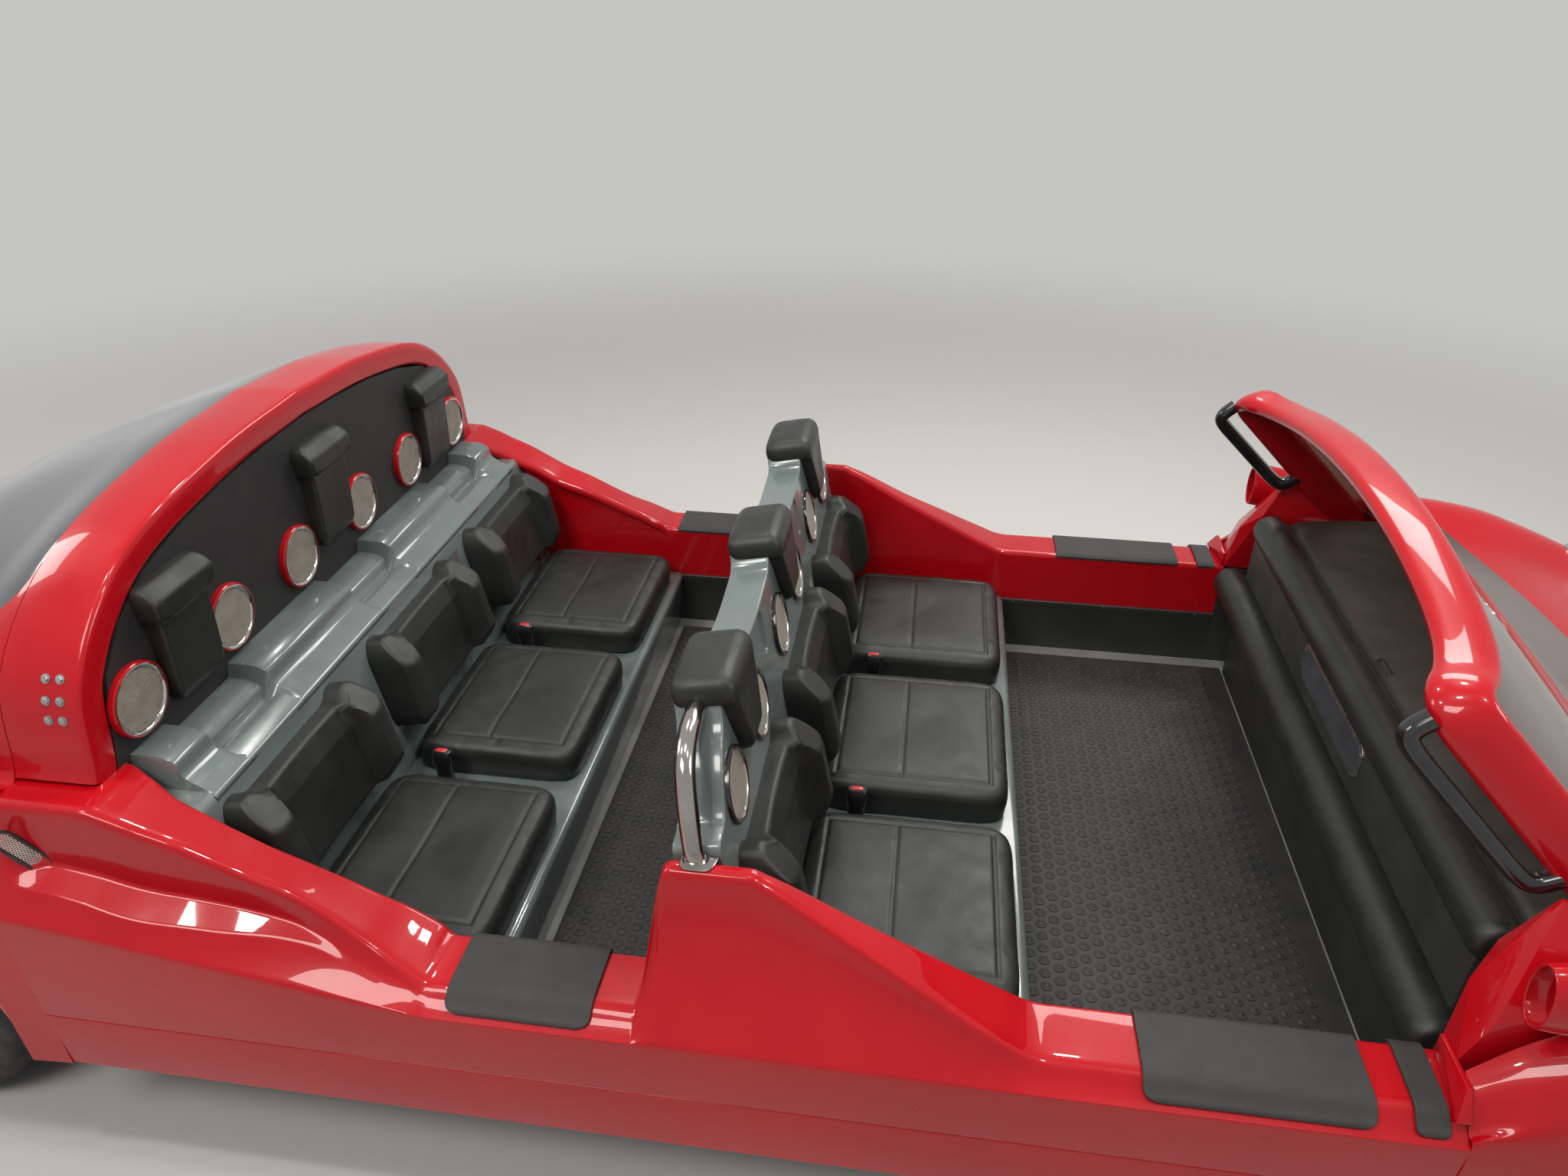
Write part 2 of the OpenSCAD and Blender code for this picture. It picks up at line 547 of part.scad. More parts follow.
// Rear bulkhead, inside the hoop: the hoop's first section moved inward, down to the floor
function bulkhead_edge(j) =
    let (p = tail_grid[0][j], n = grid_normal(tail_grid, 0, j, true), drop = max(0, (p - tail_grid[2][j]) * n))
    p - (hoop_t + drop + joint_gap) * n;
module rear_bulkhead() {
    edge = [for (j = [tail_cols - hoop_cols:tail_cols + hoop_cols]) bulkhead_edge(j)];
    foot_y = cabin_half - 3;
    color(black_pad) along(bulkhead_x - bulkhead_t, bulkhead_x) polygon(concat(
        [[-foot_y, floor_z], [-foot_y, rear_crest_z - 40]],
        [for (k = [len(edge) - 1:-1:0]) [edge[k][1], edge[k][2]]],
        [[foot_y, rear_crest_z - 40], [foot_y, floor_z]]));
}

// Windscreen

// Middle line of the header, f from -1 at the right tip to 1 at the left
function header_point(f) =
    [header_x + header_bow * (1 - 0.2 * f * f - 0.8 * pow(f, 8)), header_half * f,
     header_z + header_rise * (1 - 1.75 * f * f + 0.75 * pow(f, 8))];
pillar_foot = [pillar_foot_x, pillar_foot_y, pillar_foot_z];
function pillar_point(k) = header_point(1) + (pillar_foot - header_point(1)) * k;
function other_side(p) = [p[0], -p[1], p[2]];
pillar_steps = [0.05, 0.25, 0.5, 0.75, 1];
header_steps = [for (k = [-9.4, -8, -6, -4, -2, 0, 2, 4, 6, 8, 9.4]) k / 10];
frame_path = concat([for (k = [4:-1:0]) other_side(pillar_point(pillar_steps[k]))],
                    [for (f = header_steps) header_point(f)], [for (k = pillar_steps) pillar_point(k)]);
header_broad = [1, 0, 0.12];
pillar_broad = [0.72, 0, 0.69];
frame_broad = concat([for (k = pillar_steps) pillar_broad], [for (f = header_steps) header_broad],
                     [for (k = pillar_steps) pillar_broad]);
module windscreen_moulding(grow = 0) {
    ribbon(frame_path, frame_broad, header_w + 2 * grow, header_t + 2 * grow);
}
module windscreen_frame() { color(red) windscreen_moulding(); }

// Glass between header, pillars and cowl: a patch between four edges
glass_rows = 6;
glass_under = 24;
function glass_top(f) = header_point(f) + [header_w / 2 - glass_under, 0, 2];
function glass_corner(f) = sign(f) * [0, 1, 0];
function cowl_edge(f) = let (s = 2.4 * abs(f), p = nose_point(cowl_line(s), s)) [p[0] - 6, sign(f) * p[1], p[2] + glass_t + 4];
function glass_side(g, f) = let (a = glass_top(f), b = cowl_edge(f), m = pillar_foot + [36, 0, 30],
    k = 0.72, p = g < k ? a + ([m[0], sign(f) * m[1], m[2]] - a) * g / k
    : [m[0], sign(f) * m[1], m[2]] + (b - [m[0], sign(f) * m[1], m[2]]) * (g - k) / (1 - k)) p;
function glass_point(g, f) =
    let (v = (f + 1) / 2, top = glass_top(f), low = cowl_edge(f), sides = glass_side(g, -1) * (1 - v) + glass_side(g, 1) * v,
         corners = (glass_top(-1) * (1 - v) + glass_top(1) * v) * (1 - g) + (cowl_edge(-1) * (1 - v) + cowl_edge(1) * v) * g)
    top * (1 - g) + low * g + sides - corners + [0, 0, 20 * sin(180 * g) * (1 - f * f)];
module windscreen() {
    color([0.35, 0.3, 0.28, 0.5]) difference() {
        grid_shell([for (i = [0:glass_rows]) [for (j = [-6:6]) glass_point(i / glass_rows, j / 6)]], glass_t, square = false);
        windscreen_moulding(seat_gap);
        base_blocks(seat_gap);
    }
}

// Pillar bases: faceted blocks from the sills up to the pillars
base_out = cabin_half + 56;
knee = [dash_x + 65, cabin_half - 40, 866];
module base_blocks(grow = 0) {
    both_sides() {
        hull() {
            translate([side_front - grow, cabin_half + 2, sill_z + seat_gap]) cube([1, base_out - cabin_half - 2, 40]);
            translate([dash_x - 29, cabin_half - 18 - grow, 698]) cube([4, 4, 2 + grow]);
            translate([dash_x - 15, base_out - 4, 682]) cube([4, 4 + grow, 4 + grow]);
            translate([dash_x + 12, cabin_half - 54 - grow, 752]) cube([4, 4, 4 + grow]);
            translate([knee[0] - 4, knee[1] - grow, knee[2] - 4]) cube([4, 8, 4 + grow]);
            translate([pillar_foot_x, cabin_half - 34 - grow, 700]) cube([30, 30, 62 + grow]);
            translate([pillar_foot_x, base_out - 10, 700]) cube([30, 10 + grow, 52 + grow]);
            translate([1500, cabin_half + 2 - grow, sill_z]) cube([30, base_out - cabin_half - 2 + grow, 10]);
        }
        hull() {
            translate([side_front - 8, cabin_half + 8, sill_z + seat_gap]) cube([8 - seat_gap, 20, 40]);
            translate([side_front - 22, 950, sill_z + seat_gap]) cube([22 - seat_gap, 12, 2]);
            translate([side_front - 8, 924, sill_z + 44]) cube([8 - seat_gap, 8, 2]);
        }
    }
}
module pillar_bases() {
    color(red) difference() {
        base_blocks();
        windscreen_moulding(seat_gap);
        roll_seats();
    }
}
// Handles at the pillars' rear edges
handle_gap = 22;
pillar_rear = header_w / 2 * [-0.72, 0, -0.69];
module arch_handles() {
    off = -(handle_gap + handle_d / 2) * [0.72, 0, 0.69];
    top = pillar_point(0.03) + pillar_rear;
    low = pillar_point(0.56) + pillar_rear;
    color(black_pad) difference() {
        both_sides() bar([top - off * 0.3, top + off * 0.75, top + off + [12, 6, -14], low + off + [-12, -2, 12],
            low + off * 0.85 + [10, 0, -6], low - off * 0.3 + [12, 4, -12]], handle_d);
        windscreen_moulding(seat_gap);
        base_blocks(seat_gap);
    }
}
// Mirror pods on the bases: hollow horns that open to the rear
pod_x = dash_x + 2;
pod_y = base_out + 27;
pod_z = 787;
// Sections: distance ahead of the rim, half height, half width, drop of the middle
pod_table = [[0, 58, 34, 0], [40, 62, 38, 0], [110, 52, 36, 4], [190, 34, 28, 10], [270, 12, 12, 20]];
pod_wall = 5;
function pod_ring(row, shrink, d) = [for (k = [0:15]) let (a = 360 * k / 16)
    [pod_x + row[0] + d, pod_y + (row[2] - shrink) * cos(a), pod_z - row[3] + (row[1] - shrink) * sin(a)]];
module pod_solid(shrink = 0) {
    loft([for (row = pod_table) pod_ring(row, shrink, 0)]);
}
module mirror_pods() {
    color(red) both_sides() difference() {
        pod_solid();
        loft([pod_ring(pod_table[0], pod_wall, -1), pod_ring(pod_table[1], pod_wall, 0), pod_ring(pod_table[1], pod_wall, 6)]);
        base_blocks(seat_gap);
        fender_room();
    }
}
// Space that the left fender takes, as far as the pods reach
module fender_room() {
    first = nose_cols + 4;
    last = 2 * nose_cols;
    loft([for (i = [0:cowl_row - 1]) concat(
        [[nose_grid[i][first][0], nose_grid[i][first][1], body_low_z]],
        [for (j = [last:-1:first]) nose_grid[i][j] + joint_gap * grid_normal(nose_grid, i, j, true)])]);
}
module mirrors() {
    color(steel) both_sides() intersection() {
        pod_solid(pod_wall + seat_gap);
        translate([pod_x + 40, pod_y - 60, pod_z - 80]) cube([5, 120, 160]);
    }
}

// Dash

lower_roll = [dash_x - 25, 530];
upper_roll = [dash_x + 30, 724];
roll_l = 2 * (cabin_half - 20);
upper_roll_l = 2 * (cabin_half - 62);
module roll_seats() {
    for (r = [[lower_roll, lower_roll_d], [upper_roll, upper_roll_d]])
        translate([r[0][0], 0, r[0][1]]) rotate([90, 0, 0]) cylinder(d = r[1] + 2 * seat_gap, h = 2 * cabin_half + 20, center = true);
}
dash_half = cabin_half - 70;
module dash_panel() {
    color(charcoal) difference() {
        across(2 * dash_half) polygon([
            [dash_x, floor_top], [dash_x, 700], [dash_x + 30, 745], [dash_x + 78, 745], [dash_x + 78, 690],
            [dash_x + dash_t + 20, 640], [dash_x + dash_t, 600], [dash_x + dash_t, floor_top]]);
        roll_seats();
    }
}
module knee_rolls() {
    color(black_pad) {
        translate([lower_roll[0], 0, lower_roll[1]]) rotate([90, 0, 0]) cylinder(d = lower_roll_d, h = roll_l, center = true);
        translate([upper_roll[0], 0, upper_roll[1]]) rotate([90, 0, 0]) cylinder(d = upper_roll_d, h = upper_roll_l, center = true);
    }
}
top_front = dash_x + 78 + seat_gap;
module dash_top() {
    color(charcoal) intersection() {
        across(2 * dash_half) polygon([[top_front, 690], [top_front, 742], [top_front + 22, 756], [1569, 772], [1640, 768],
            [1800, 712], [cowl_x, 672], [cowl_x, 640], [1800, 680], [1600, 730]]);
        linear_extrude(height = 900) polygon(concat(
            [[top_front, dash_half], [top_front, -dash_half]],
            [for (s = [-2.2:0.4:2.2]) [cowl_line(s) - 22, sign(s) * min(dash_half, nose_point(cowl_line(abs(s)), abs(s))[1])]]));
    }
}

// Seats: backs in leaning coordinates, x ahead of the face and z along the back from its foot

module lean(x) {
    translate([x, 0, seat_base_z]) rotate([0, -back_lean, 0]) children();
}
seat_numbers = [-1:1];
horn_top = 598;
back_end_half = cabin_half - 6;
// Half outline of the front back: distance from the middle, height
function back_outline() = let (h = headrest_half - 3, p = front_pitch)
    [[0, horn_top], [h, horn_top], [h + 18, 562], [p / 2, 550], [p - h - 18, 562], [p - h, horn_top],
     [p + h, horn_top], [p + h + 16, 546], [700, 510], [748, 440], [764, 428], [back_end_half, 424], [back_end_half, 24]];
function doubled(h) = concat(h, [for (k = [len(h) - 1:-1:0]) [-h[k][0], h[k][1]]]);
module back_profile() { polygon(doubled(back_outline())); }
speaker_z = 428;
speaker_y = 120;
speaker_depth = 6;
module speaker_seats() {
    for (k = seat_numbers, s = [-1, 1]) translate([-speaker_depth, k * front_pitch + s * speaker_y, speaker_z])
        rotate([0, 90, 0]) cylinder(d = speaker_d + 2 * seat_gap, h = 40);
}
module front_seat_shell() {
    base_h = seat_base_z - floor_top;
    color(grey_shell) union() {
        across(2 * back_end_half) polygon([
            [front_shell_back_x, floor_top], [front_shell_back_x, seat_base_z - 20], [front_foot_x - back_shell_t, seat_base_z + 16],
            [front_foot_x - 6, seat_base_z + 30], [front_foot_x, seat_base_z], [front_base_front_x - 10, seat_base_z],
            [front_base_front_x, seat_base_z - 10], [front_base_front_x - 12, floor_top]]);
        lean(front_foot_x) difference() {
            translate([-back_shell_t, 0, 0]) rotate([90, 0, 90]) linear_extrude(height = back_shell_t)
                back_profile();
            speaker_seats();
            for (s = [-1, 1]) translate([0, s * front_pitch / 2, 0]) hull() {
                translate([-9, 0, 462]) rotate([0, 90, 0]) cylinder(r = 12, h = 20, $fn = 20);
                translate([-9, 0, 520]) rotate([0, 90, 0]) cylinder(r = 26, h = 20, $fn = 24);
            }
        }
    }
}
rear_ledge_z = 840;
rear_ledge_x = bulkhead_x + 84;
module rear_seat_shell() {
    top = [rear_foot_x - 80, 770];
    color(grey_shell) difference() {
    across(2 * back_end_half) polygon([
        [bulkhead_x + seat_gap, floor_top], [bulkhead_x + seat_gap, rear_ledge_z], [rear_ledge_x - 26, rear_ledge_z],
        [rear_ledge_x, rear_ledge_z - 12], [rear_ledge_x + 6, rear_ledge_z - 44], [rear_ledge_x + 34, top[1] + 12],
        [rear_foot_x - tan(back_lean) * (top[1] - seat_base_z), top[1]], [rear_foot_x, seat_base_z],
        [rear_base_front_x - 10, seat_base_z], [rear_base_front_x, seat_base_z - 10], [rear_base_front_x - 12, floor_top]]);
        both_sides() loft([for (x = [bulkhead_x - 1, bulkhead_x + 1, -960, -900, -850, -800, -740])
            let (s = side_section(max(x, bulkhead_x + 1)), y = s[12][1] - seat_gap, z = s[14][2] - seat_gap)
            [[x, cabin_half + 5, z], [x, cabin_half + 5, 900], [x, y, 900], [x, y, z]]]);
    }
}
module cushion(l) {
    r = 26;
    pad([[seat_gap, cushion_w / 2 - 8, 8, l - 10], [20, cushion_w / 2, 0, l], [cushion_t - 20, cushion_w / 2, 0, l],
        [cushion_t, cushion_w / 2 - 16, 16, l - 22]], r);
}
module seat_cushions() {
    color(black_pad) for (k = seat_numbers) {
        translate([front_foot_x + 14, k * front_pitch, seat_base_z]) cushion(front_cushion_l);
        translate([rear_foot_x + 14, k * rear_pitch, seat_base_z]) cushion(rear_cushion_l);
    }
}
backrest_foot = cushion_t + 16;
module backrest() {
    w = cushion_w / 2 - 15;
    e = backrest_foot + backrest_h;
    translate([seat_gap, 0, 0]) {
        pad([[backrest_foot, w - 12, 0, backrest_t - 12], [backrest_foot + 24, w, 0, backrest_t], [e - 60, w, 0, backrest_t],
            [e - 20, w - 60, 0, backrest_t - 16]], 14);
        for (s = [-1, 1]) translate([0, s * (w - 36), 0])
            pad([[backrest_foot + 30, 30, 0, backrest_t + 20], [e - 70, 36, 0, backrest_t + 40], [e - 30, 34, 0, backrest_t + 26],
                [e, 18, 0, backrest_t - 20]], 12);
    }
}
module backrests() {
    color(black_pad) for (k = seat_numbers) {
        lean(front_foot_x) translate([0, k * front_pitch, 0]) backrest();
        lean(rear_foot_x) translate([0, k * rear_pitch, 0]) backrest();
    }
}
// Columns as in pad: height, half width, back x, front x
module headrests() {
    h = headrest_half;
    low = rear_speaker_y - speaker_d / 2 - 2;
    b = seat_gap;
    color(black_pad) for (k = seat_numbers) {
        lean(front_foot_x) translate([0, k * front_pitch, 0]) {
            pad([[432, 34, b, 12], [450, 42, b, 24], [540, h - 14, b, 30], [horn_top + 8, h, b, 30]], 8);
            pad([[horn_top + b, h + 4, -back_shell_t + 2, 30], [horn_top + 16, h + 4, -back_shell_t + 2, 30],
                [horn_top + 26, h - 8, -back_shell_t + 18, 14]], 8);
        }
        translate([bulkhead_x, k * rear_pitch, k == 0 ? 42 : 0])
            pad([[862, low, b, 24], [880, low, b, 30], [1042, low, b, 34], [1050, h - 4, b, 46], [1100, h, b, 46],
                [1116, h - 6, b, 26]], 8);
    }
}
rear_speaker_y = 144;
rear_speaker_z = 925;
module speaker() {
    rotate([0, 90, 0]) rotate_extrude() polygon([[0, 0], [speaker_d / 2, 0], [speaker_d / 2, 12], [speaker_d / 2 - 6, 14],
        [speaker_d / 2 - 14, 8], [40, 10], [0, 12]]);
}
module speakers() {
    color(mesh_tan) {
        for (k = seat_numbers, s = [-1, 1]) {
            translate([bulkhead_x + seat_gap, k * rear_pitch + s * rear_speaker_y, rear_speaker_z]) speaker();
            lean(front_foot_x) translate([-speaker_depth + seat_gap, k * front_pitch + s * speaker_y, speaker_z]) speaker();
        }
    }
}
// Grab bars: each rises from the hump in the plane of the back and bends in to the outer headrest's horn
function leaned(x, y, z) = [front_foot_x + x * cos(back_lean) - z * sin(back_lean), y,
                            seat_base_z + x * sin(back_lean) + z * cos(back_lean)];
bar_in = back_shell_t / 2;
bar_foot_y = cabin_half + 5;
module grab_bars() {
    horn_side = front_pitch + headrest_half - 3;
    rise = (hump_z + seat_gap - seat_base_z + bar_in * sin(back_lean)) / cos(back_lean);
    // Columns: distance inside the foot, height above the hump along the back
    bends = [[0, 5], [6, 31], [26, 84], [52, 131], [78, 156], [116, 170], [160, 174], [bar_foot_y - horn_side + 10, 170]];
    color(steel) both_sides() difference() {
        union() {
            bar([for (q = bends) leaned(-bar_in, bar_foot_y - q[0], rise + q[1])], bar_d);
            translate([leaned(-bar_in, 0, rise)[0], bar_foot_y, hump_z + seat_gap])
                linear_extrude(height = 5) polygon([[-24, 24], [24, 24], [34, 12], [44, -44], [30, -50], [-24, -10]]);
        }
        lean(front_foot_x) translate([-back_shell_t - 5, 0, 0]) rotate([90, 0, 90])
            linear_extrude(height = back_shell_t + 10) offset(delta = seat_gap) back_profile();
    }
}

// Belts as they hang when nobody rides: webbing down each back's outer side, and the receivers beside the cushions
belt_low = 96;
belt_high = 320;
function belt_y(k, pitch) = k == 0 ? pitch / 2 : k * (pitch + cushion_w / 2 + 9);
module belts() {
    color(black_pad) {
        for (k = seat_numbers) {
            lean(front_foot_x) translate([seat_gap, belt_y(k, front_pitch) - belt_w / 2 + k * 1, belt_low])
                cube([3, min(belt_w, back_end_half - belt_y(1, front_pitch) + belt_w / 2 - 2), belt_high - belt_low]);
            lean(rear_foot_x) translate([seat_gap, belt_y(k, rear_pitch) - belt_w / 2, belt_low])
                cube([3, belt_w, belt_high - belt_low]);
        }
        for (row = [[front_foot_x, front_pitch], [rear_foot_x, rear_pitch]], s = [-1, 1])
            translate([row[0] + 90, s * row[1] / 2 - 12, seat_base_z + seat_gap]) cube([46, 24, 106]);
    }
}

// Frame, axles and drive

frame_front = nose_x - frame_end;
frame_rear = tail_x + frame_end;
rail_y = rail_gap / 2;
member_w = 60;
saddle_w = 90;
end_plate = 50;
tow_places = [frame_rear + end_plate, frame_front - end_plate];
module chassis_frame() {
    color(paint_grey) difference() {
        union() {
            both_sides() translate([frame_rear, rail_y - rail_w / 2, rail_z]) cube([frame_front - frame_rear, rail_w, rail_h]);
            for (x = tow_places) translate([x - end_plate, -rail_y, rail_z + 20]) cube([2 * end_plate, rail_gap, rail_h - 20]);
            both_sides() translate([rear_axle_x - saddle_w / 2, rail_y - rail_w / 2, rail_z + rail_h - 1])
                cube([saddle_w, rail_w, axle_z - floor_z + 1]);
        }
        translate([rear_axle_x, 0, axle_z]) rotate([90, 0, 0]) cylinder(r = axle_tube_r + run_clear, h = track, center = true);
        for (x = tow_places) translate([x, 0, rail_z]) cylinder(r = tow_r, h = rail_h + 1);
    }
}
// Members across between the rails, and outriggers that carry the body's sides
cross_places = [rear_axle_x - 250, rear_axle_x + 200, -950, -450, 50, 550, 1050, front_axle_x - 290];
outrigger_places = [-980, -420, 160, 740, 1290];
module cross_members() {
    in = rail_y - rail_w / 2;
    out = rail_y + rail_w / 2;
    color(paint_grey) {
        for (x = cross_places) translate([x - member_w / 2, -in, rail_z + 20]) cube([member_w, 2 * in, rail_h - 20]);
        for (x = outrigger_places) both_sides() translate([x - 25, out, rail_z + 40])
            cube([50, cabin_half - out - 6, rail_h - 40]);
    }
}
module motor() {
    color(paint_grey) translate([frame_rear + 20, -240, floor_z]) cube([400, 480, 300]);
}
module rear_axle() {
    color(paint_grey) translate([rear_axle_x, 0, axle_z]) rotate([90, 0, 0]) {
        cylinder(r = axle_tube_r, h = track - 2 * 25 - 62, center = true);
        cylinder(r = stub_r, h = track + 2 * 44 + 20, center = true);
        cylinder(r = 110, h = 180, center = true);
        for (s = [-1, 1]) translate([0, 0, s * (track / 2 + hub_out + 1 + 6)]) cylinder(r = 32, h = 12, center = true);
    }
}
hub_in = -24;
hub_out = 44;
beam_h = 60;
boss_h = 90;
module front_beam() {
    color(paint_grey) difference() {
        union() {
            translate([front_axle_x - 30, -kingpin_y, axle_z - beam_h / 2]) cube([60, 2 * kingpin_y, beam_h]);
            both_sides() translate([front_axle_x, kingpin_y, axle_z - boss_h / 2]) cylinder(r = 30, h = boss_h);
            both_sides() translate([front_axle_x - 40, rail_y - 25, floor_z]) cube([80, 50, axle_z - floor_z]);
        }
        both_sides() translate([front_axle_x, kingpin_y, axle_z - boss_h / 2 - 1])
            cylinder(r = kingpin_r + run_clear, h = boss_h + 2);
    }
}
module guide_shoes() {
    plate_z = rail_z + 6;
    color(paint_grey) for (x = [front_axle_x - 130, rear_axle_x - 100]) {
        translate([x - 60, -rail_y + rail_w / 2, plate_z]) cube([120, rail_gap - rail_w, 12]);
        translate([x, 12, 0]) rotate([90, 0, 0]) linear_extrude(height = 24) polygon([
            [-160, plate_z - 20], [-120, guide_z], [120, guide_z], [160, plate_z - 20], [60, plate_z + 1], [-60, plate_z + 1]]);
    }
}
fork_t = 20;
fork_gap = 1;
web_y = 34;
web_t = 18;
rod_z = boss_h / 2 + fork_gap + fork_t + 0.5;
eye_h = 16;
module knuckle() {
    fork_z = boss_h / 2 + fork_gap + fork_t / 2;
    translate([front_axle_x, kingpin_y, axle_z]) {
        cylinder(r = kingpin_r, h = 2 * fork_z, center = true);
        for (s = [-1, 1]) translate([-28, -24, s * fork_z - fork_t / 2]) cube([56, web_y + web_t + 24, fork_t]);
        translate([-28, web_y, -fork_z - fork_t / 2]) cube([56, web_t, 2 * fork_z + fork_t]);
        translate([0, web_y, 0]) rotate([-90, 0, 0]) {
            cylinder(r = 30, h = kingpin_offset + hub_in - 1 - web_y);
            cylinder(r = stub_r, h = kingpin_offset + hub_out + 10 - web_y);
            translate([0, 0, kingpin_offset + hub_out + 1 - web_y]) cylinder(r = 32, h = 12);
        }
        translate([-arm_l, -16, fork_z - fork_t / 2 + 4]) cube([arm_l - 20, 32, fork_t - 4]);
        translate([-arm_l, 0, fork_z - fork_t / 2 + 4]) cylinder(r = 16, h = fork_t - 4);
        translate([-arm_l, 0, fork_z]) cylinder(r = rod_pin_r, h = fork_t / 2 + 0.5 + eye_h + 4);
    }
}
module knuckle_left() { color(paint_grey) knuckle(); }
module knuckle_right() { color(paint_grey) mirror([0, 1, 0]) knuckle(); }
// Tie rod between the steering arms' pins, with room round the right-hand pin
loose_eye = 0.35;
module tie_rod() {
    color(steel) translate([front_axle_x - arm_l, 0, axle_z + rod_z]) difference() {
        union() {
            both_sides() translate([0, kingpin_y, 0]) cylinder(r = 15, h = eye_h);
            translate([-9, -kingpin_y, 1]) cube([18, 2 * kingpin_y, eye_h - 2]);
        }
        translate([0, kingpin_y, -1]) cylinder(r = rod_pin_r + run_clear, h = eye_h + 2);
        translate([0, -kingpin_y, -1]) cylinder(r = rod_pin_r + loose_eye, h = eye_h + 2);
    }
}

// Wheels: discs with five holes, and plain tyres

rim_w = 160;
rim_wall = 17;
module wheel() {
    e = rim_w / 2;
    rotate([-90, 0, 0]) difference() {
        rotate_extrude($fn = 64) polygon([
            [stub_r + run_clear, hub_in], [46, hub_in], [46, 22], [rim_d / 2 - rim_wall, 30],
            [rim_d / 2 - rim_wall, -e + 6], [rim_d / 2 - rim_wall + 6, -e], [rim_d / 2, -e], [rim_d / 2, e],
            [rim_d / 2 - rim_wall + 6, e], [rim_d / 2 - rim_wall, e - 6], [rim_d / 2 - rim_wall, 44], [46, 38],
            [46, hub_out], [stub_r + run_clear, hub_out]]);
        for (k = [0:4]) rotate(k * 72) translate([108, 0, 0]) cylinder(r = 34, h = 100, $fn = 32);
    }
}
module tyre() {
    r = rim_d / 2;
    o = tyre_d / 2;
    h = tyre_w / 2;
    rotate([-90, 0, 0]) rotate_extrude($fn = 64) polygon([
        [r + seat_gap, -rim_w / 2], [r + 30, -h + 4], [r + 70, -h], [o - 22, -h + 12], [o, -h + 34],
        [o, h - 34], [o - 22, h - 12], [r + 70, h], [r + 30, h - 4], [r + seat_gap, rim_w / 2]]);
}
module place_wheel(x, side) {
    translate([x, side * track / 2, axle_z]) mirror([0, side < 0 ? 1 : 0, 0]) children();
}
module wheel_front_left() { color(steel) place_wheel(front_axle_x, 1) wheel(); }
module wheel_front_right() { color(steel) place_wheel(front_axle_x, -1) wheel(); }
module wheel_rear_left() { color(steel) place_wheel(rear_axle_x, 1) wheel(); }
module wheel_rear_right() { color(steel) place_wheel(rear_axle_x, -1) wheel(); }
module tyre_front_left() { color(black_pad) place_wheel(front_axle_x, 1) tyre(); }
module tyre_front_right() { color(black_pad) place_wheel(front_axle_x, -1) tyre(); }
module tyre_rear_left() { color(black_pad) place_wheel(rear_axle_x, 1) tyre(); }
module tyre_rear_right() { color(black_pad) place_wheel(rear_axle_x, -1) tyre(); }

chassis_frame();
cross_members();
floor_pan();
floor_mats();
side_skirts();
body_side_left();
body_side_right();
sill_pads();
nose();
tail();
rear_hoop();
rear_bulkhead();
rear_window();
windscreen_frame();
windscreen();
pillar_bases();
arch_handles();
mirror_pods();
mirrors();
dash_panel();
dash_top();
knee_rolls();
front_seat_shell();
rear_seat_shell();
seat_cushions();
backrests();
headrests();
speakers();
grab_bars();
belts();
grilles();
headlamps();
tail_lamps();
motor();
rear_axle();
front_beam();
guide_shoes();
knuckle_left();
knuckle_right();
tie_rod();
wheel_front_left();
wheel_front_right();
wheel_rear_left();
wheel_rear_right();
tyre_front_left();
tyre_front_right();
tyre_rear_left();
tyre_rear_right();
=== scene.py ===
# Open six-seat ride car in moulded red panels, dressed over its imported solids.
# Shapes are written in millimetres, as on a drawing, and each mesh is made in metres.
import math

import bmesh
import bpy
import numpy as np
from mathutils import Matrix, Vector


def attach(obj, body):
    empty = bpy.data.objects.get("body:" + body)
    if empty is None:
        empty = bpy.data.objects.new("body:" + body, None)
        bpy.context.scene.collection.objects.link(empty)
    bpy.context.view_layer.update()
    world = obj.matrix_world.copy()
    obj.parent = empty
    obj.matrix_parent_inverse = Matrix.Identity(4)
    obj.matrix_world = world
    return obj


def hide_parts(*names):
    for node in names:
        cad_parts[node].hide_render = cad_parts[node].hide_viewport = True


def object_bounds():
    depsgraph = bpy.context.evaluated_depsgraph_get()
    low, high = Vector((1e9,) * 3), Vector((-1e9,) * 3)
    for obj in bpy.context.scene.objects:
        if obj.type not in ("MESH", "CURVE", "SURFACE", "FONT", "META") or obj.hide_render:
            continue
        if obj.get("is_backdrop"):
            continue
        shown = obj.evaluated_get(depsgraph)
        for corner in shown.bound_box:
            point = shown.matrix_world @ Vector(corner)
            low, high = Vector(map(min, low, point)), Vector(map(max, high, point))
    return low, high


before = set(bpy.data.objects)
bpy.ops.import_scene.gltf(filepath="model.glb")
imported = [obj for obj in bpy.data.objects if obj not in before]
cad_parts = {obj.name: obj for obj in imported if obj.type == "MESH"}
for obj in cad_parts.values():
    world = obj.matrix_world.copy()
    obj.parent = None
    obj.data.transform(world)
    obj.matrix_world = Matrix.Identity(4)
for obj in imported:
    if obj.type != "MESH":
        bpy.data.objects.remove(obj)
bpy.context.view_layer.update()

# Ladder frame, axles and drive: welded box section under the floor, painted satin grey before assembly.
# Knuckles, beam and guide plates are castings or flame-cut plate, so their paint shows a coarser skin.
MM = 0.001
CAR = "car"
SIDES = (("left", 1), ("right", -1))


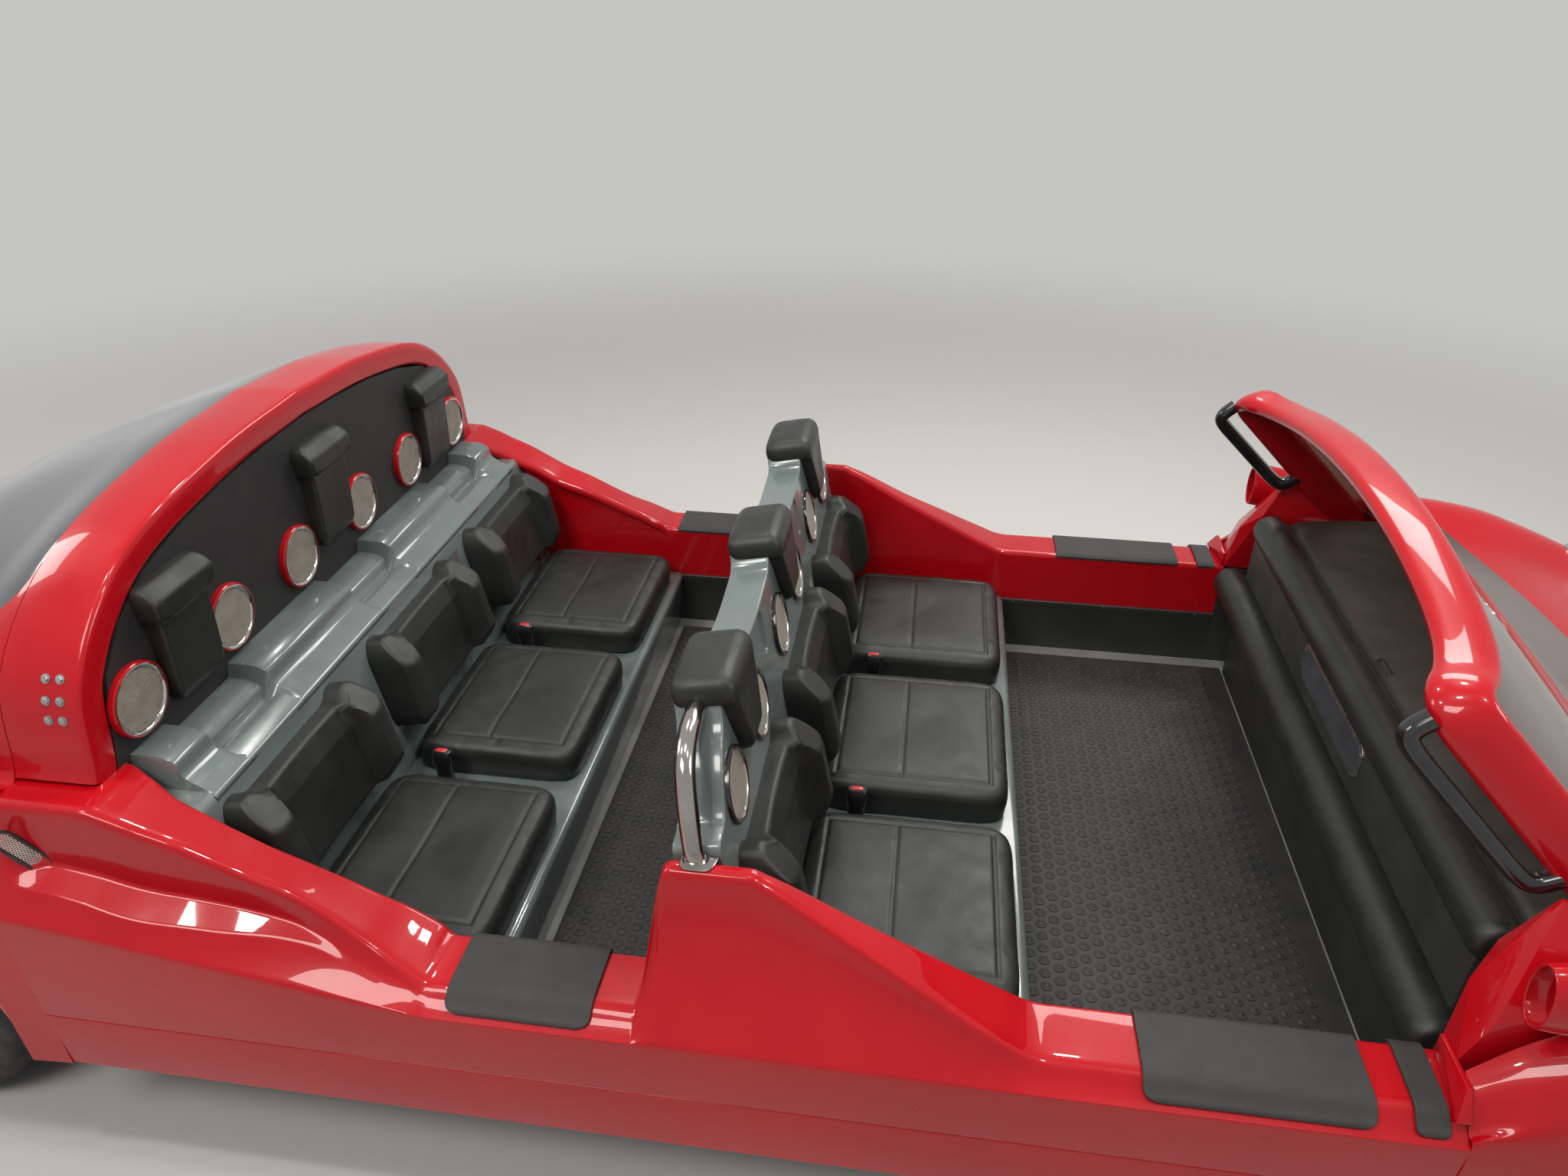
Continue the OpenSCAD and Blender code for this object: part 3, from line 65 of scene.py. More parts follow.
def new_finish(name, colour, roughness, metallic=0.0, coat=0.0):
    material = bpy.data.materials.new(name)
    material.use_nodes = True
    surface = material.node_tree.nodes["Principled BSDF"]
    surface.inputs["Base Color"].default_value = (*colour, 1.0)
    surface.inputs["Roughness"].default_value = roughness
    surface.inputs["Metallic"].default_value = metallic
    surface.inputs["Coat Weight"].default_value = coat
    surface.inputs["Coat Roughness"].default_value = 0.04
    return material


def surface_of(material):
    return material.node_tree.nodes["Principled BSDF"]


def grain(material, per_metre, detail=3.0, stretch=(1.0, 1.0, 1.0), cells=False):
    """A noise or cell pattern fixed to the piece, this many grains to the metre."""
    tree = material.node_tree
    place = tree.nodes.new("ShaderNodeTexCoord")
    scale = tree.nodes.new("ShaderNodeMapping")
    scale.inputs["Scale"].default_value = stretch
    pattern = tree.nodes.new("ShaderNodeTexVoronoi" if cells else "ShaderNodeTexNoise")
    pattern.inputs["Scale"].default_value = per_metre
    pattern.inputs["Detail"].default_value = detail
    tree.links.new(place.outputs["Object"], scale.inputs["Vector"])
    tree.links.new(scale.outputs["Vector"], pattern.inputs["Vector"])
    return pattern.outputs[0]


def blotch(material, per_metre, dark, light, **pattern):
    """Colour that drifts between two shades."""
    tree = material.node_tree
    ramp = tree.nodes.new("ShaderNodeValToRGB")
    ramp.color_ramp.elements[0].position = 0.35
    ramp.color_ramp.elements[0].color = (*dark, 1.0)
    ramp.color_ramp.elements[1].position = 0.65
    ramp.color_ramp.elements[1].color = (*light, 1.0)
    tree.links.new(grain(material, per_metre, **pattern), ramp.inputs["Fac"])
    tree.links.new(ramp.outputs["Color"], surface_of(material).inputs["Base Color"])


def uneven_gloss(material, per_metre, low, high, **pattern):
    """Roughness that drifts between two values."""
    tree = material.node_tree
    span = tree.nodes.new("ShaderNodeMapRange")
    span.inputs["From Min"].default_value = 0.3
    span.inputs["From Max"].default_value = 0.7
    span.inputs["To Min"].default_value = low
    span.inputs["To Max"].default_value = high
    tree.links.new(grain(material, per_metre, **pattern), span.inputs["Value"])
    tree.links.new(span.outputs["Result"], surface_of(material).inputs["Roughness"])


def relief(material, per_metre, depth_mm, strength=1.0, **pattern):
    """Fine relief in the skin. A second call lies over the first."""
    tree = material.node_tree
    bump = tree.nodes.new("ShaderNodeBump")
    bump.inputs["Strength"].default_value = strength
    bump.inputs["Distance"].default_value = depth_mm * MM
    tree.links.new(grain(material, per_metre, **pattern), bump.inputs["Height"])
    normal = surface_of(material).inputs["Normal"]
    if normal.is_linked:
        tree.links.new(normal.links[0].from_socket, bump.inputs["Normal"])
    tree.links.new(bump.outputs["Normal"], normal)


def coat_node(name, material):
    """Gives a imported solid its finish, as it stands."""
    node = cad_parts[name]
    if not node.material_slots:
        node.data.materials.append(material)
    for place in node.material_slots:
        place.material = material


frame_grey = new_finish("frame_paint", (0.11, 0.115, 0.12), 0.42, coat=0.15)
blotch(frame_grey, 9.0, (0.075, 0.078, 0.08), (0.14, 0.145, 0.15))
uneven_gloss(frame_grey, 30.0, 0.34, 0.6)
relief(frame_grey, 420.0, 0.15)
cast_grey = new_finish("cast_paint", (0.16, 0.16, 0.165), 0.5)
blotch(cast_grey, 14.0, (0.1, 0.1, 0.105), (0.2, 0.2, 0.21))
relief(cast_grey, 260.0, 0.5, detail=5.0)
drive_blue = new_finish("motor_paint", (0.12, 0.14, 0.16), 0.38, coat=0.2)
blotch(drive_blue, 8.0, (0.09, 0.11, 0.13), (0.15, 0.17, 0.19))
relief(drive_blue, 300.0, 0.2)
for node_name in ("chassis_frame", "cross_members"):
    coat_node(node_name, frame_grey)
for node_name in ("rear_axle", "front_beam", "guide_shoes", "knuckle_left", "knuckle_right", "tie_rod"):
    coat_node(node_name, cast_grey)


def hang(obj, body, replaces=()):
    """Fixes a finished piece to its body and hides the solids it stands for."""
    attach(obj, body)
    if replaces:
        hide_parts(*replaces)
    return obj


def shade(mesh, crisp):
    """Smooth faces, with each edge sharper than crisp degrees kept hard."""
    mesh.polygons.foreach_set("use_smooth", [True] * len(mesh.polygons))
    mesh.set_sharp_from_angle(angle=math.radians(crisp))


def placed(name, data):
    """A new object in the scene."""
    obj = bpy.data.objects.new(name, data)
    bpy.context.scene.collection.objects.link(obj)
    return obj


def piece(name, points, faces, material, crisp=35):
    """A mesh object from points in millimetres."""
    mesh = bpy.data.meshes.new(name)
    mesh.from_pydata([tuple(float(c) * MM for c in p) for p in points], [], faces)
    shade(mesh, crisp)
    mesh.materials.append(material)
    return placed(name, mesh)


def settle(obj, crisp=35):
    """Makes an object's modifiers part of its mesh."""
    bpy.context.view_layer.update()
    made = bpy.data.meshes.new_from_object(obj.evaluated_get(bpy.context.evaluated_depsgraph_get()))
    obj.modifiers.clear()
    obj.data = made
    shade(made, crisp)
    return obj


def soften(obj, width, segments=3, angle=30, crisp=35):
    """Rounds every edge sharper than an angle."""
    bevel = obj.modifiers.new("Rounding", "BEVEL")
    bevel.width = width * MM
    bevel.segments = segments
    bevel.limit_method = "ANGLE"
    bevel.angle_limit = math.radians(angle)
    return settle(obj, crisp)


def mend(obj, crisp=35, near=None):
    """Faces a mesh outward and marks its hard edges. Points nearer than near, in metres, become one first."""
    shape = bmesh.new()
    shape.from_mesh(obj.data)
    if near:
        bmesh.ops.remove_doubles(shape, verts=shape.verts, dist=near)
    bmesh.ops.recalc_face_normals(shape, faces=shape.faces)
    shape.to_mesh(obj.data)
    shape.free()
    obj.data.set_sharp_from_angle(angle=math.radians(crisp))
    return obj


def slab(name, outline, low, high, axis, material):
    """A flat outline extruded from low to high along an axis. It gives the other two directions in order."""
    at = "xyz".index(axis)
    count = len(outline)
    points = [(*pair[:at], level, *pair[at:]) for level in (low, high) for pair in outline]
    faces = [tuple(range(count)), tuple(range(2 * count - 1, count - 1, -1))]
    faces += [((k + 1) % count, k, k + count, (k + 1) % count + count) for k in range(count)]
    return mend(piece(name, points, faces, material))


def rectangle(low_a, high_a, low_b, high_b):
    return [(low_a, low_b), (high_a, low_b), (high_a, high_b), (low_a, high_b)]


def joined(name, objects):
    """Several meshes as one object."""
    shape = bmesh.new()
    for obj in objects:
        obj.data.transform(obj.matrix_basis)
        shape.from_mesh(obj.data)
    mesh = bpy.data.meshes.new(name)
    shape.to_mesh(mesh)
    shape.free()
    for material in objects[0].data.materials:
        mesh.materials.append(material)
    for obj in objects:
        bpy.data.objects.remove(obj)
    mesh.set_sharp_from_angle(angle=math.radians(35))
    return placed(name, mesh)


def directions(count):
    """Even steps round a circle, each as its cosine and sine."""
    return [(math.cos(2 * math.pi * k / count), math.sin(2 * math.pi * k / count)) for k in range(count)]


def bands(rows, width):
    """Faces between closed rows of points that follow each other."""
    faces = []
    for a in range(0, (rows - 1) * width, width):
        steps = [(k, (k + 1) % width) for k in range(width)]
        faces += [(a + k, a + n, a + width + n, a + width + k) for k, n in steps]
    return faces


def turned(name, profile, place, axis, material, sides=48, crisp=35, hollow=False):
    """A body of revolution from (radius, height) pairs, set at a place with its height along an axis.
    A hollow one has a profile that closes on itself round a hole or a cavity."""
    profile = profile + profile[:1] if hollow else profile
    turn = Vector((0, 0, 1)).rotation_difference(Vector(axis)).to_matrix()
    points = [Vector(place) + turn @ Vector((radius * c, radius * s, height))
              for radius, height in profile for c, s in directions(sides)]
    faces = bands(len(profile), sides)
    if profile[0][0] > 0 and not hollow:
        faces.append(tuple(range(sides)[::-1]))
    if profile[-1][0] > 0 and not hollow:
        faces.append(tuple(range(len(points))[-sides:]))
    return mend(piece(name, points, faces, material, crisp), crisp, 1e-6)


# Motor and gearbox: one cast housing bolted to the frame behind the rear axle, painted blue-grey.
# Flat cooling ribs run round it, one above another.
MOTOR_X = (-2330.0, -1930.0)
MOTOR_HALF = 240.0
MOTOR_Z = (215.0, 515.0)
RIB_COUNT = 11
RIB_DEPTH = 14.0
case_x = (MOTOR_X[0] + RIB_DEPTH, MOTOR_X[1] - RIB_DEPTH)
case_outline = rectangle(*case_x, RIB_DEPTH - MOTOR_HALF, MOTOR_HALF - RIB_DEPTH)
motor_parts = [soften(slab("motor_case", case_outline, MOTOR_Z[0], MOTOR_Z[1] - 6, "z", drive_blue), 12)]
for rib_z in np.linspace(MOTOR_Z[0] + 30, MOTOR_Z[1] - 30, RIB_COUNT):
    rib = slab("rib", rectangle(*MOTOR_X, -MOTOR_HALF, MOTOR_HALF), rib_z - 4, rib_z + 4, "z", drive_blue)
    motor_parts.append(soften(rib, 2.5, 2))
hang(joined("motor_housing", motor_parts), CAR, ["motor"])

# Wheels: pressed discs with five round holes in a deep rim, silver lacquer over brushed metal.
# Each is held by five nuts round a hub cap, and the nuts' plating is duller than the disc.
AXLES = {"front": 1850.0, "rear": -1600.0}
TRACK = 1680.0
AXLE_Z = 305.0
NUT_COUNT = 5
NUT_CIRCLE_R = 68.0
NUT_SEAT_Y = TRACK / 2 + 38.9
HUB_FACE_Y = TRACK / 2 + 44.5
rim_silver = new_finish("rim", (0.58, 0.58, 0.6), 0.32, metallic=0.9, coat=0.3)
uneven_gloss(rim_silver, 60.0, 0.24, 0.42)
relief(rim_silver, 900.0, 0.05)
nut_steel = new_finish("plated_steel", (0.42, 0.42, 0.43), 0.35, metallic=1.0)
uneven_gloss(nut_steel, 120.0, 0.25, 0.5)


def hex_screw(name, place, axis, across, height, material, washer=1.5):
    """Hex head on a washer."""
    radius = across / 2 / math.cos(math.pi / 6)
    head_profile = [(radius, washer), (radius, washer + height * 0.75), (radius * 0.82, washer + height)]
    head = turned(name, head_profile, place, axis, material, 6, 20)
    ring = turned(name + "_washer", [(across * 0.78, 0), (across * 0.78, washer), (across * 0.5, washer)],
                  place, axis, material, 24)
    return [head, ring]


for end, axle_x in AXLES.items():
    for side, sign in SIDES:
        coat_node(f"wheel_{end}_{side}", rim_silver)
        nuts = []
        for k in range(NUT_COUNT):
            a = 2 * math.pi * (k + 0.5) / NUT_COUNT
            nut_x, nut_z = axle_x + NUT_CIRCLE_R * math.cos(a), AXLE_Z + NUT_CIRCLE_R * math.sin(a)
            nuts += hex_screw("nut", (nut_x, sign * NUT_SEAT_Y, nut_z), (0, sign, 0), 22, 12, nut_steel)
        nuts.append(turned("cap", [(44, 0), (44, 10), (36, 20), (14, 24), (0, 24)],
                           (axle_x, sign * HUB_FACE_Y, AXLE_Z), (0, sign, 0), nut_steel, 40))
        hang(joined(f"wheel_nuts_{end}_{side}", nuts), f"{end}_{side}_wheel")

# Tyres: moulded black rubber with ribbed shoulders, a raised bead line on the wall,
# four grooves round the tread and slanted sipes that cut its outer ribs.
SIPE_COUNT = 60
SIPE_DEPTH = 5.0
TREAD_LOW_R = 299.0
OUTER_RIB_Y = 39.0
SHOULDER_Y = 62.0
# Radius and distance from the middle plane, from the rim's edge over the wall to the middle of the tread
TYRE_HALF = [
    (185.3, 80), (196, 84), (206, 87), (215, 88.5), (218, 90.3), (224, 90.3), (227, 89), (245, 92),
    (262, 92.3), (276, 91), (284, 86), (293, 75), (300, 66), (303.5, 60), (304.6, 50), (296.5, 47.5),
    (296.5, 41.5), (304.8, 39), (305, 26), (305, 14), (296.5, 11.5), (296.5, 4.5), (305, 2)]
tyre_black = new_finish("tyre_rubber", (0.022, 0.022, 0.023), 0.72)
blotch(tyre_black, 18.0, (0.014, 0.014, 0.015), (0.034, 0.033, 0.032))
uneven_gloss(tyre_black, 40.0, 0.6, 0.85)
relief(tyre_black, 900.0, 0.12)


def tyre(name, axle_x, sign, body, node_name):
    profile = [(r, -y) for r, y in TYRE_HALF] + [(r, y) for r, y in reversed(TYRE_HALF)]
    around = SIPE_COUNT * 4
    points, faces = [], []
    middle_y = sign * TRACK / 2
    for r, y in profile:
        cut_in = SIPE_DEPTH if r > TREAD_LOW_R and abs(y) > OUTER_RIB_Y else 0.0
        slant = 2 if abs(y) > SHOULDER_Y else 0
        for k in range(around):
            radius = r if (k + slant) % 4 else r - cut_in
            a = 2 * math.pi * k / around
            points.append((axle_x + radius * math.sin(a), middle_y + y, AXLE_Z - radius * math.cos(a)))
    rows = len(profile)
    for i in range(rows):
        for k in range(around):
            a, b = i * around + k, i * around + (k + 1) % around
            c, d = ((i + 1) % rows) * around + (k + 1) % around, ((i + 1) % rows) * around + k
            faces.append((a, b, c, d))
    hang(mend(piece(name, points, faces, tyre_black, 40), 40), body, [node_name])


for end, axle_x in AXLES.items():
    for side, sign in SIDES:
        tyre(f"treaded_tyre_{end}_{side}", axle_x, sign, f"{end}_{side}_wheel", f"tyre_{end}_{side}")

# Floor: a pressed pan painted grey, worn paler in patches, with the mats glued down on it.
# The mats are black rubber with rows of raised round studs, each with a shallow ring round it.
MAT_TOP = 245.0
MATS = [(-352.0, 57.0), (648.0, 1299.0)]
MAT_HALF = 760.0
STUD_PITCH = 34.0
floor_grey = new_finish("floor_paint", (0.28, 0.28, 0.27), 0.45, coat=0.1)
blotch(floor_grey, 7.0, (0.22, 0.22, 0.21), (0.32, 0.32, 0.31), detail=6.0)
uneven_gloss(floor_grey, 25.0, 0.35, 0.62)
relief(floor_grey, 350.0, 0.2)
coat_node("floor_pan", floor_grey)
mat_black = new_finish("mat_rubber", (0.022, 0.022, 0.022), 0.62)
blotch(mat_black, 16.0, (0.017, 0.017, 0.017), (0.027, 0.026, 0.025), detail=5.0)
relief(mat_black, 700.0, 0.15)
coat_node("floor_mats", mat_black)
STUD_ROW = STUD_PITCH * 0.87
STUD_RINGS = [(13.0, 0.0), (12.4, 1.6), (9.6, 2.0), (8.8, 1.2), (7.6, 1.2), (6.8, 2.0)]
STUD_SIDES = 10
stud_points, stud_faces = [], []
for mat_low, mat_high in MATS:
    for i in range(int((mat_high - mat_low - 30) / STUD_ROW)):
        for j in range(int((2 * MAT_HALF - 50) / STUD_PITCH)):
            x = mat_low + 22 + i * STUD_ROW
            y = -MAT_HALF + 24 + j * STUD_PITCH + STUD_PITCH / 2 * (i % 2)
            first = len(stud_points)
            for radius, height in STUD_RINGS:
                z = MAT_TOP + height
                stud_points += [(x + radius * c, y + radius * s, z) for c, s in directions(STUD_SIDES)]
            stud_faces += [tuple(first + k for k in face) for face in bands(len(STUD_RINGS), STUD_SIDES)]
            stud_faces.append(tuple(range(len(stud_points) - STUD_SIDES, len(stud_points))))
hang(piece("mat_studs", stud_points, stud_faces, mat_black, 50), CAR)

# Body sides: glass-fibre mouldings in deep red gelcoat under clear lacquer, polished to a wet gloss.
# Each runs from the hoop's foot, with a long scoop in its fender, over the sill and the hump to the nose.
CABIN_HALF = 820.0
SILL_Z = 560.0
SILL_OUT = 945.0
HUMP_Z = 800.0
CREST_Z = 840.0
HALF_W = 1000.0
SIDE_HALF = 984.0
SEAM_Z = 395.0
LOW_Z = 250.0
BULKHEAD_X = -1010.0
SIDE_REAR = BULKHEAD_X - 150
SIDE_FRONT = 1262.0
SHELL = 16.0
red_gloss = new_finish("red_body", (0.44, 0.004, 0.011), 0.32, coat=0.6)
surface_of(red_gloss).inputs["Specular IOR Level"].default_value = 0.12
surface_of(red_gloss).inputs["Coat Roughness"].default_value = 0.03
blotch(red_gloss, 3.0, (0.41, 0.002, 0.007), (0.47, 0.003, 0.009))
uneven_gloss(red_gloss, 12.0, 0.24, 0.36)
relief(red_gloss, 60.0, 0.01, 0.6, detail=1.0)


def hump(share):
    return SILL_Z + share * (HUMP_Z - SILL_Z)


def crest(share):
    return SILL_Z + share * (CREST_Z - SILL_Z)


# Columns: x, lean of the inner edge over the cabin, its rise above the shoulder, shoulder distance,
# shoulder height
SIDE_ROWS = [
    (SIDE_REAR, 0, -6, 908, crest(1.01)), (BULKHEAD_X, 0, -4, 904, crest(1)),
    (BULKHEAD_X + 1, 60, -5, 904, crest(1)),
    (-960, 47, -8, 904, crest(0.95)), (-900, 27, -10, 902, crest(0.86)), (-850, 22, -13, 900, crest(0.79)),
    (-800, 18, -12, 898, crest(0.7)), (-740, 18, -14, 896, crest(0.59)), (-660, 14, -10, 898, crest(0.47)),
    (-600, 12, -2, 903, crest(0.355)), (-540, 10, 4, 914, crest(0.235)), (-480, 8, 8, 930, crest(0.13)),
    (-435, 5, 8, 940, crest(0.045)), (-405, 0, 0, SILL_OUT, SILL_Z), (-46, 0, 0, SILL_OUT, SILL_Z),
    (-38, 0, 0, 934, hump(0.13)), (-16, 0, 0, 858, hump(0.86)), (-8, 0, 0, 854, hump(0.97)),
    (8, 0, 0, 853, HUMP_Z), (136, 0, 0, 853, HUMP_Z), (160, 0, 0, 857, hump(0.96)),
    (200, 0, 0, 865, hump(0.88)), (320, 0, 0, 886, hump(0.604)), (440, 0, 0, 914, hump(0.35)),
    (560, 0, 0, 938, hump(0.104)), (612, 0, 0, SILL_OUT - 1, hump(0.015)),
    (640, 0, 0, SILL_OUT, SILL_Z), (SIDE_FRONT, 0, 0, SILL_OUT, SILL_Z)]
# Columns: x, height of the scoop's ledge as a share of the way from the crease to the shoulder,
# depth as a share
SCOOP_ROWS = [
    (SIDE_REAR + 10, 0.36, 0), (-1118, 0.36, 0.55), (-1085, 0.36, 1), (-930, 0.31, 1), (-795, 0.38, 1),
    (-660, 0.52, 0.8), (-600, 0.56, 0.4), (-540, 0.5, 0), (-435, 0.35, 0), (SIDE_FRONT, 0.35, 0)]


def blended(rows, column, x, slope):
    """A table's value at x, on the curve that has a given slope at each row."""
    i = 0
    while i < len(rows) - 2 and x >= rows[i + 1][0]:
        i += 1
    width = rows[i + 1][0] - rows[i][0]
    s = min(max((x - rows[i][0]) / width, 0.0), 1.0)
    return (rows[i][column] * (2 * s**3 - 3 * s**2 + 1) + rows[i + 1][column] * (3 * s**2 - 2 * s**3)
            + width * slope(i) * (s**3 - 2 * s**2 + s) + width * slope(i + 1) * (s**3 - s**2))


def eased(rows, column, x):
    """Smooth curve through a table's rows that never swings past them."""
    def step(k):
        return (rows[k + 1][column] - rows[k][column]) / (rows[k + 1][0] - rows[k][0])

    def slope(k):
        if k in (0, len(rows) - 1):
            return 0.0
        before, after = step(k - 1), step(k)
        return 0.0 if before * after <= 0 else 2 * before * after / (before + after)

    return blended(rows, column, x, slope)


def curve(a, towards, b, count):
    """Points on the curve that leaves a towards a corner and comes from it to b."""
    return [a * (1 - t) ** 2 + towards * 2 * t * (1 - t) + b * t * t for t in np.linspace(0, 1, count)]


def rounded(points, reaches, steps=4):
    """Closed outline in which each corner that has a reach is drawn as a curve."""
    points = [np.array(p, float) for p in points]
    made = []
    for k, (p, reach) in enumerate(zip(points, reaches)):
        if not reach:
            made.append(p)
            continue
        before, after = points[k - 1], points[(k + 1) % len(points)]
        a = p + (before - p) * min(0.49, reach / max(np.linalg.norm(before - p), 1e-6))
        b = p + (after - p) * min(0.49, reach / max(np.linalg.norm(after - p), 1e-6))
        made += curve(a, p, b, steps + 1)
    return made


def crease_z(x):
    return 530.0 + max(0.0, (-405 - x) * 0.157)


def face_y(x, z, ys, zs):
    return ys + (SIDE_HALF - ys) * max(0.0, (zs - z) / (zs - crease_z(x))) ** 1.8


def side_section(x):
    lean, rise, ys, zs = (eased(SIDE_ROWS, c, x) for c in (1, 2, 3, 4))
    zi, zc, yi = zs + rise, crease_z(x), CABIN_HALF - lean
    zv = zc + eased(SCOOP_ROWS, 1, x) * (zs - zc)
    q = eased(SCOOP_ROWS, 2, x)
    top = zs - min(14, 0.4 * (zs - zc))
    zo = zv - 0.1 * (zs - zc)
    outline = [((SIDE_HALF - 6, SEAM_Z + 0.4), 2.5), ((SIDE_HALF, zc), 16)]
    outline += [((face_y(x, z, ys, zs), z), 0) for z in np.linspace(zc, zo, 8)[1:-1]]
    outline += [((face_y(x, zo, ys, zs), zo), 5)]
    for k in range(10):
        z = zv + (top - zv) * k / 9
        y = face_y(x, z, ys, zs)
        outline.append(((y - q * (y - ys), z), 0 if k else 7))
    outline += [((ys - 3, zs - 3), 30), ((ys - 15, zs), 8), (((ys + yi) / 2, (zs + zi) / 2), 20),
                ((yi + 7, zi - 0.5), 6), ((yi, zi - 9), 8), ((yi, zi - 24), 4), ((CABIN_HALF, zi - 30), 4),
                ((CABIN_HALF, SEAM_Z + 0.4), 0)]
    return [(x, p[0], p[1]) for p in rounded([o[0] for o in outline], [o[1] for o in outline])]


def lofted(name, sections, material, crisp=35, ends=True):
    """A skin through closed sections of equal point count, with flat ends where they are asked for."""
    width = len(sections[0])
    points = [p for s in sections for p in s]
    faces = bands(len(sections), width)
    if ends:
        faces += [tuple(range(width - 1, -1, -1)), tuple(range(len(points) - width, len(points)))]
    return mend(piece(name, points, faces, material, crisp), crisp)


def spaced(stops, gap):
    """Stations between stops, no further apart than a gap."""
    made = []
    for a, b in zip(stops, stops[1:]):
        made += list(np.linspace(a, b, max(1, int(math.ceil((b - a) / gap))) + 1)[:-1])
    return made + [stops[-1]]


side_stations = spaced([SIDE_REAR, -1150, -1085], 3.5)[:-1] + spaced([-1085, BULKHEAD_X], 12)
side_stations += spaced([BULKHEAD_X + 1, -405], 9) + spaced([-405, -60], 30)[1:] + spaced([-60, 24], 3)[1:]
side_stations += spaced([24, 130], 20)[1:] + spaced([130, 210], 5)[1:] + spaced([210, 680], 10)[1:]
side_stations += spaced([680, SIDE_FRONT], 40)[1:]
for side, sign in SIDES:
    sections = [[(x, sign * y, z) for x, y, z in side_section(station)] for station in side_stations]
    hang(lofted(f"side_panel_{side}", sections, red_gloss, 40), CAR, [f"body_side_{side}"])

# Lower skirts: separate red mouldings screwed under the sides at a hairline seam.
# Their lower edge is turned in.
SKIRT_OUTLINE = [
    (CABIN_HALF + 2, SEAM_Z - 0.4), (SIDE_HALF - 6, SEAM_Z - 0.4), (SIDE_HALF - 14, LOW_Z),
    (SIDE_HALF - 34, LOW_Z), (SIDE_HALF - 28, SEAM_Z - 20), (CABIN_HALF + 2, SEAM_Z - 20)]
skirts = []
for sign in (1, -1):
    ring = rounded(SKIRT_OUTLINE, [0, 2.5, 5, 5, 6, 0])
    sections = [[(x, sign * p[0], p[1]) for p in ring] for x in (SIDE_REAR, SIDE_FRONT)]
    skirts.append(lofted("skirt", sections, red_gloss))
hang(joined("lower_skirts", skirts), CAR, ["side_skirts"])

# Sill pads: black rubber sheet bonded over the sill and down its outer edge, fine-grained against slipping.
# The corners are cut round and the edges buffed thin.
PAD_PLACES = [(-372.0, -118.0), (780.0, 1131.0), (SIDE_FRONT - 76, SIDE_FRONT - 26)]
PAD_T = 8.0
PAD_CORNER = 22.0
pad_rubber = new_finish("sill_rubber", (0.028, 0.028, 0.027), 0.66)
blotch(pad_rubber, 20.0, (0.024, 0.024, 0.023), (0.031, 0.03, 0.029), detail=5.0)
relief(pad_rubber, 520.0, 0.35, detail=2.0, cells=True)


def sill_line():
    """Outline of the sill from its outer face over the edge to the cabin."""
    ys, zs, low = SILL_OUT, SILL_Z, crease_z(-240) + 5
    corners = [(face_y(-240, z, ys, zs), z) for z in np.linspace(low, zs - 14, 6)]
    corners += [(ys - 3, zs - 3), (ys - 15, zs), ((ys + CABIN_HALF) / 2, zs), (CABIN_HALF + 7, zs - 0.5),
                (CABIN_HALF, zs - 9)]
    ring = rounded(corners, [0, 0, 0, 0, 0, 4, 8, 8, 0, 6, 0])
    return [p for k, p in enumerate(ring) if k == 0 or np.linalg.norm(p - ring[k - 1]) > 0.5]


pads = []
pad_path = sill_line()
pad_run = [0.0]
for k in range(1, len(pad_path)):
    pad_run.append(pad_run[-1] + np.linalg.norm(pad_path[k] - pad_path[k - 1]))
pad_steps = spaced([0, PAD_CORNER, pad_run[-1] - 6, pad_run[-1]], 5)
for sign in (1, -1):
    for low, high in PAD_PLACES:
        corner = min(PAD_CORNER, (high - low) * 0.2)
        sections = []
        for d in pad_steps:
            k = min(max(1, int(np.searchsorted(pad_run, d))), len(pad_run) - 1)
            share = (d - pad_run[k - 1]) / (pad_run[k] - pad_run[k - 1])
            p = pad_path[k - 1] + share * (pad_path[k] - pad_path[k - 1])
            t = pad_path[k] - pad_path[k - 1]
            n = np.array([t[1], -t[0]]) / np.linalg.norm(t)
            inset = corner - math.sqrt(max(0.0, corner**2 - max(0.0, corner - d) ** 2))
            edge = max(0.0, 3 - min(d, pad_run[-1] - d))
            inner, outer = p + n * 0.2, p + n * (PAD_T - edge)
            a, b = low + inset, high - inset
            around = ((a, inner), (a, outer), (a + 3, outer), (b - 3, outer), (b, outer), (b, inner))
            sections.append([(x, sign * q[0], q[1]) for x, q in around])
        pads.append(soften(lofted("pad", sections, pad_rubber, 40), 2.0, 2, 50))
hang(joined("sill_rubber_pads", pads), CAR, ["sill_pads"])

# Nose: fenders, bonnet and front in one moulding of the sides' red gelcoat, with lamp wells and an intake.
# It is a generic roadster front, rolled in at its tip and trimmed round the wheel arches with a turned lip.
NOSE_X = 2650.0
TAIL_X = -2650.0
ARCH_R = 360.0
ARCH_STEPS = 36
# Columns: x, half width, crown height, crown distance, valley height, middle height
NOSE_ROWS = [
    (SIDE_FRONT, SIDE_HALF, SILL_Z + 46, 900, 590, 600), (1340, SIDE_HALF + 4, 672, 890, 650, 640),
    (1430, HALF_W - 6, 724, 885, 695, 665), (1560, HALF_W, 765, 882, 722, 680),
    (1729, HALF_W, 786, 880, 736, 688), (1864, HALF_W - 2, 776, 873, 722, 682),
    (1973, HALF_W - 10, 753, 862, 700, 668),
    (NOSE_X - 486, HALF_W - 45, 690, 815, 640, 630), (NOSE_X - 300, HALF_W - 120, 618, 730, 575, 582),
    (NOSE_X - 150, HALF_W - 230, 545, 620, 515, 530), (NOSE_X - 50, HALF_W - 360, 480, 500, 462, 480),
    (NOSE_X, HALF_W - 500, 420, 380, 412, 425)]
COWL_X = 1945.0
COWL_FOOT_X = 1670.0
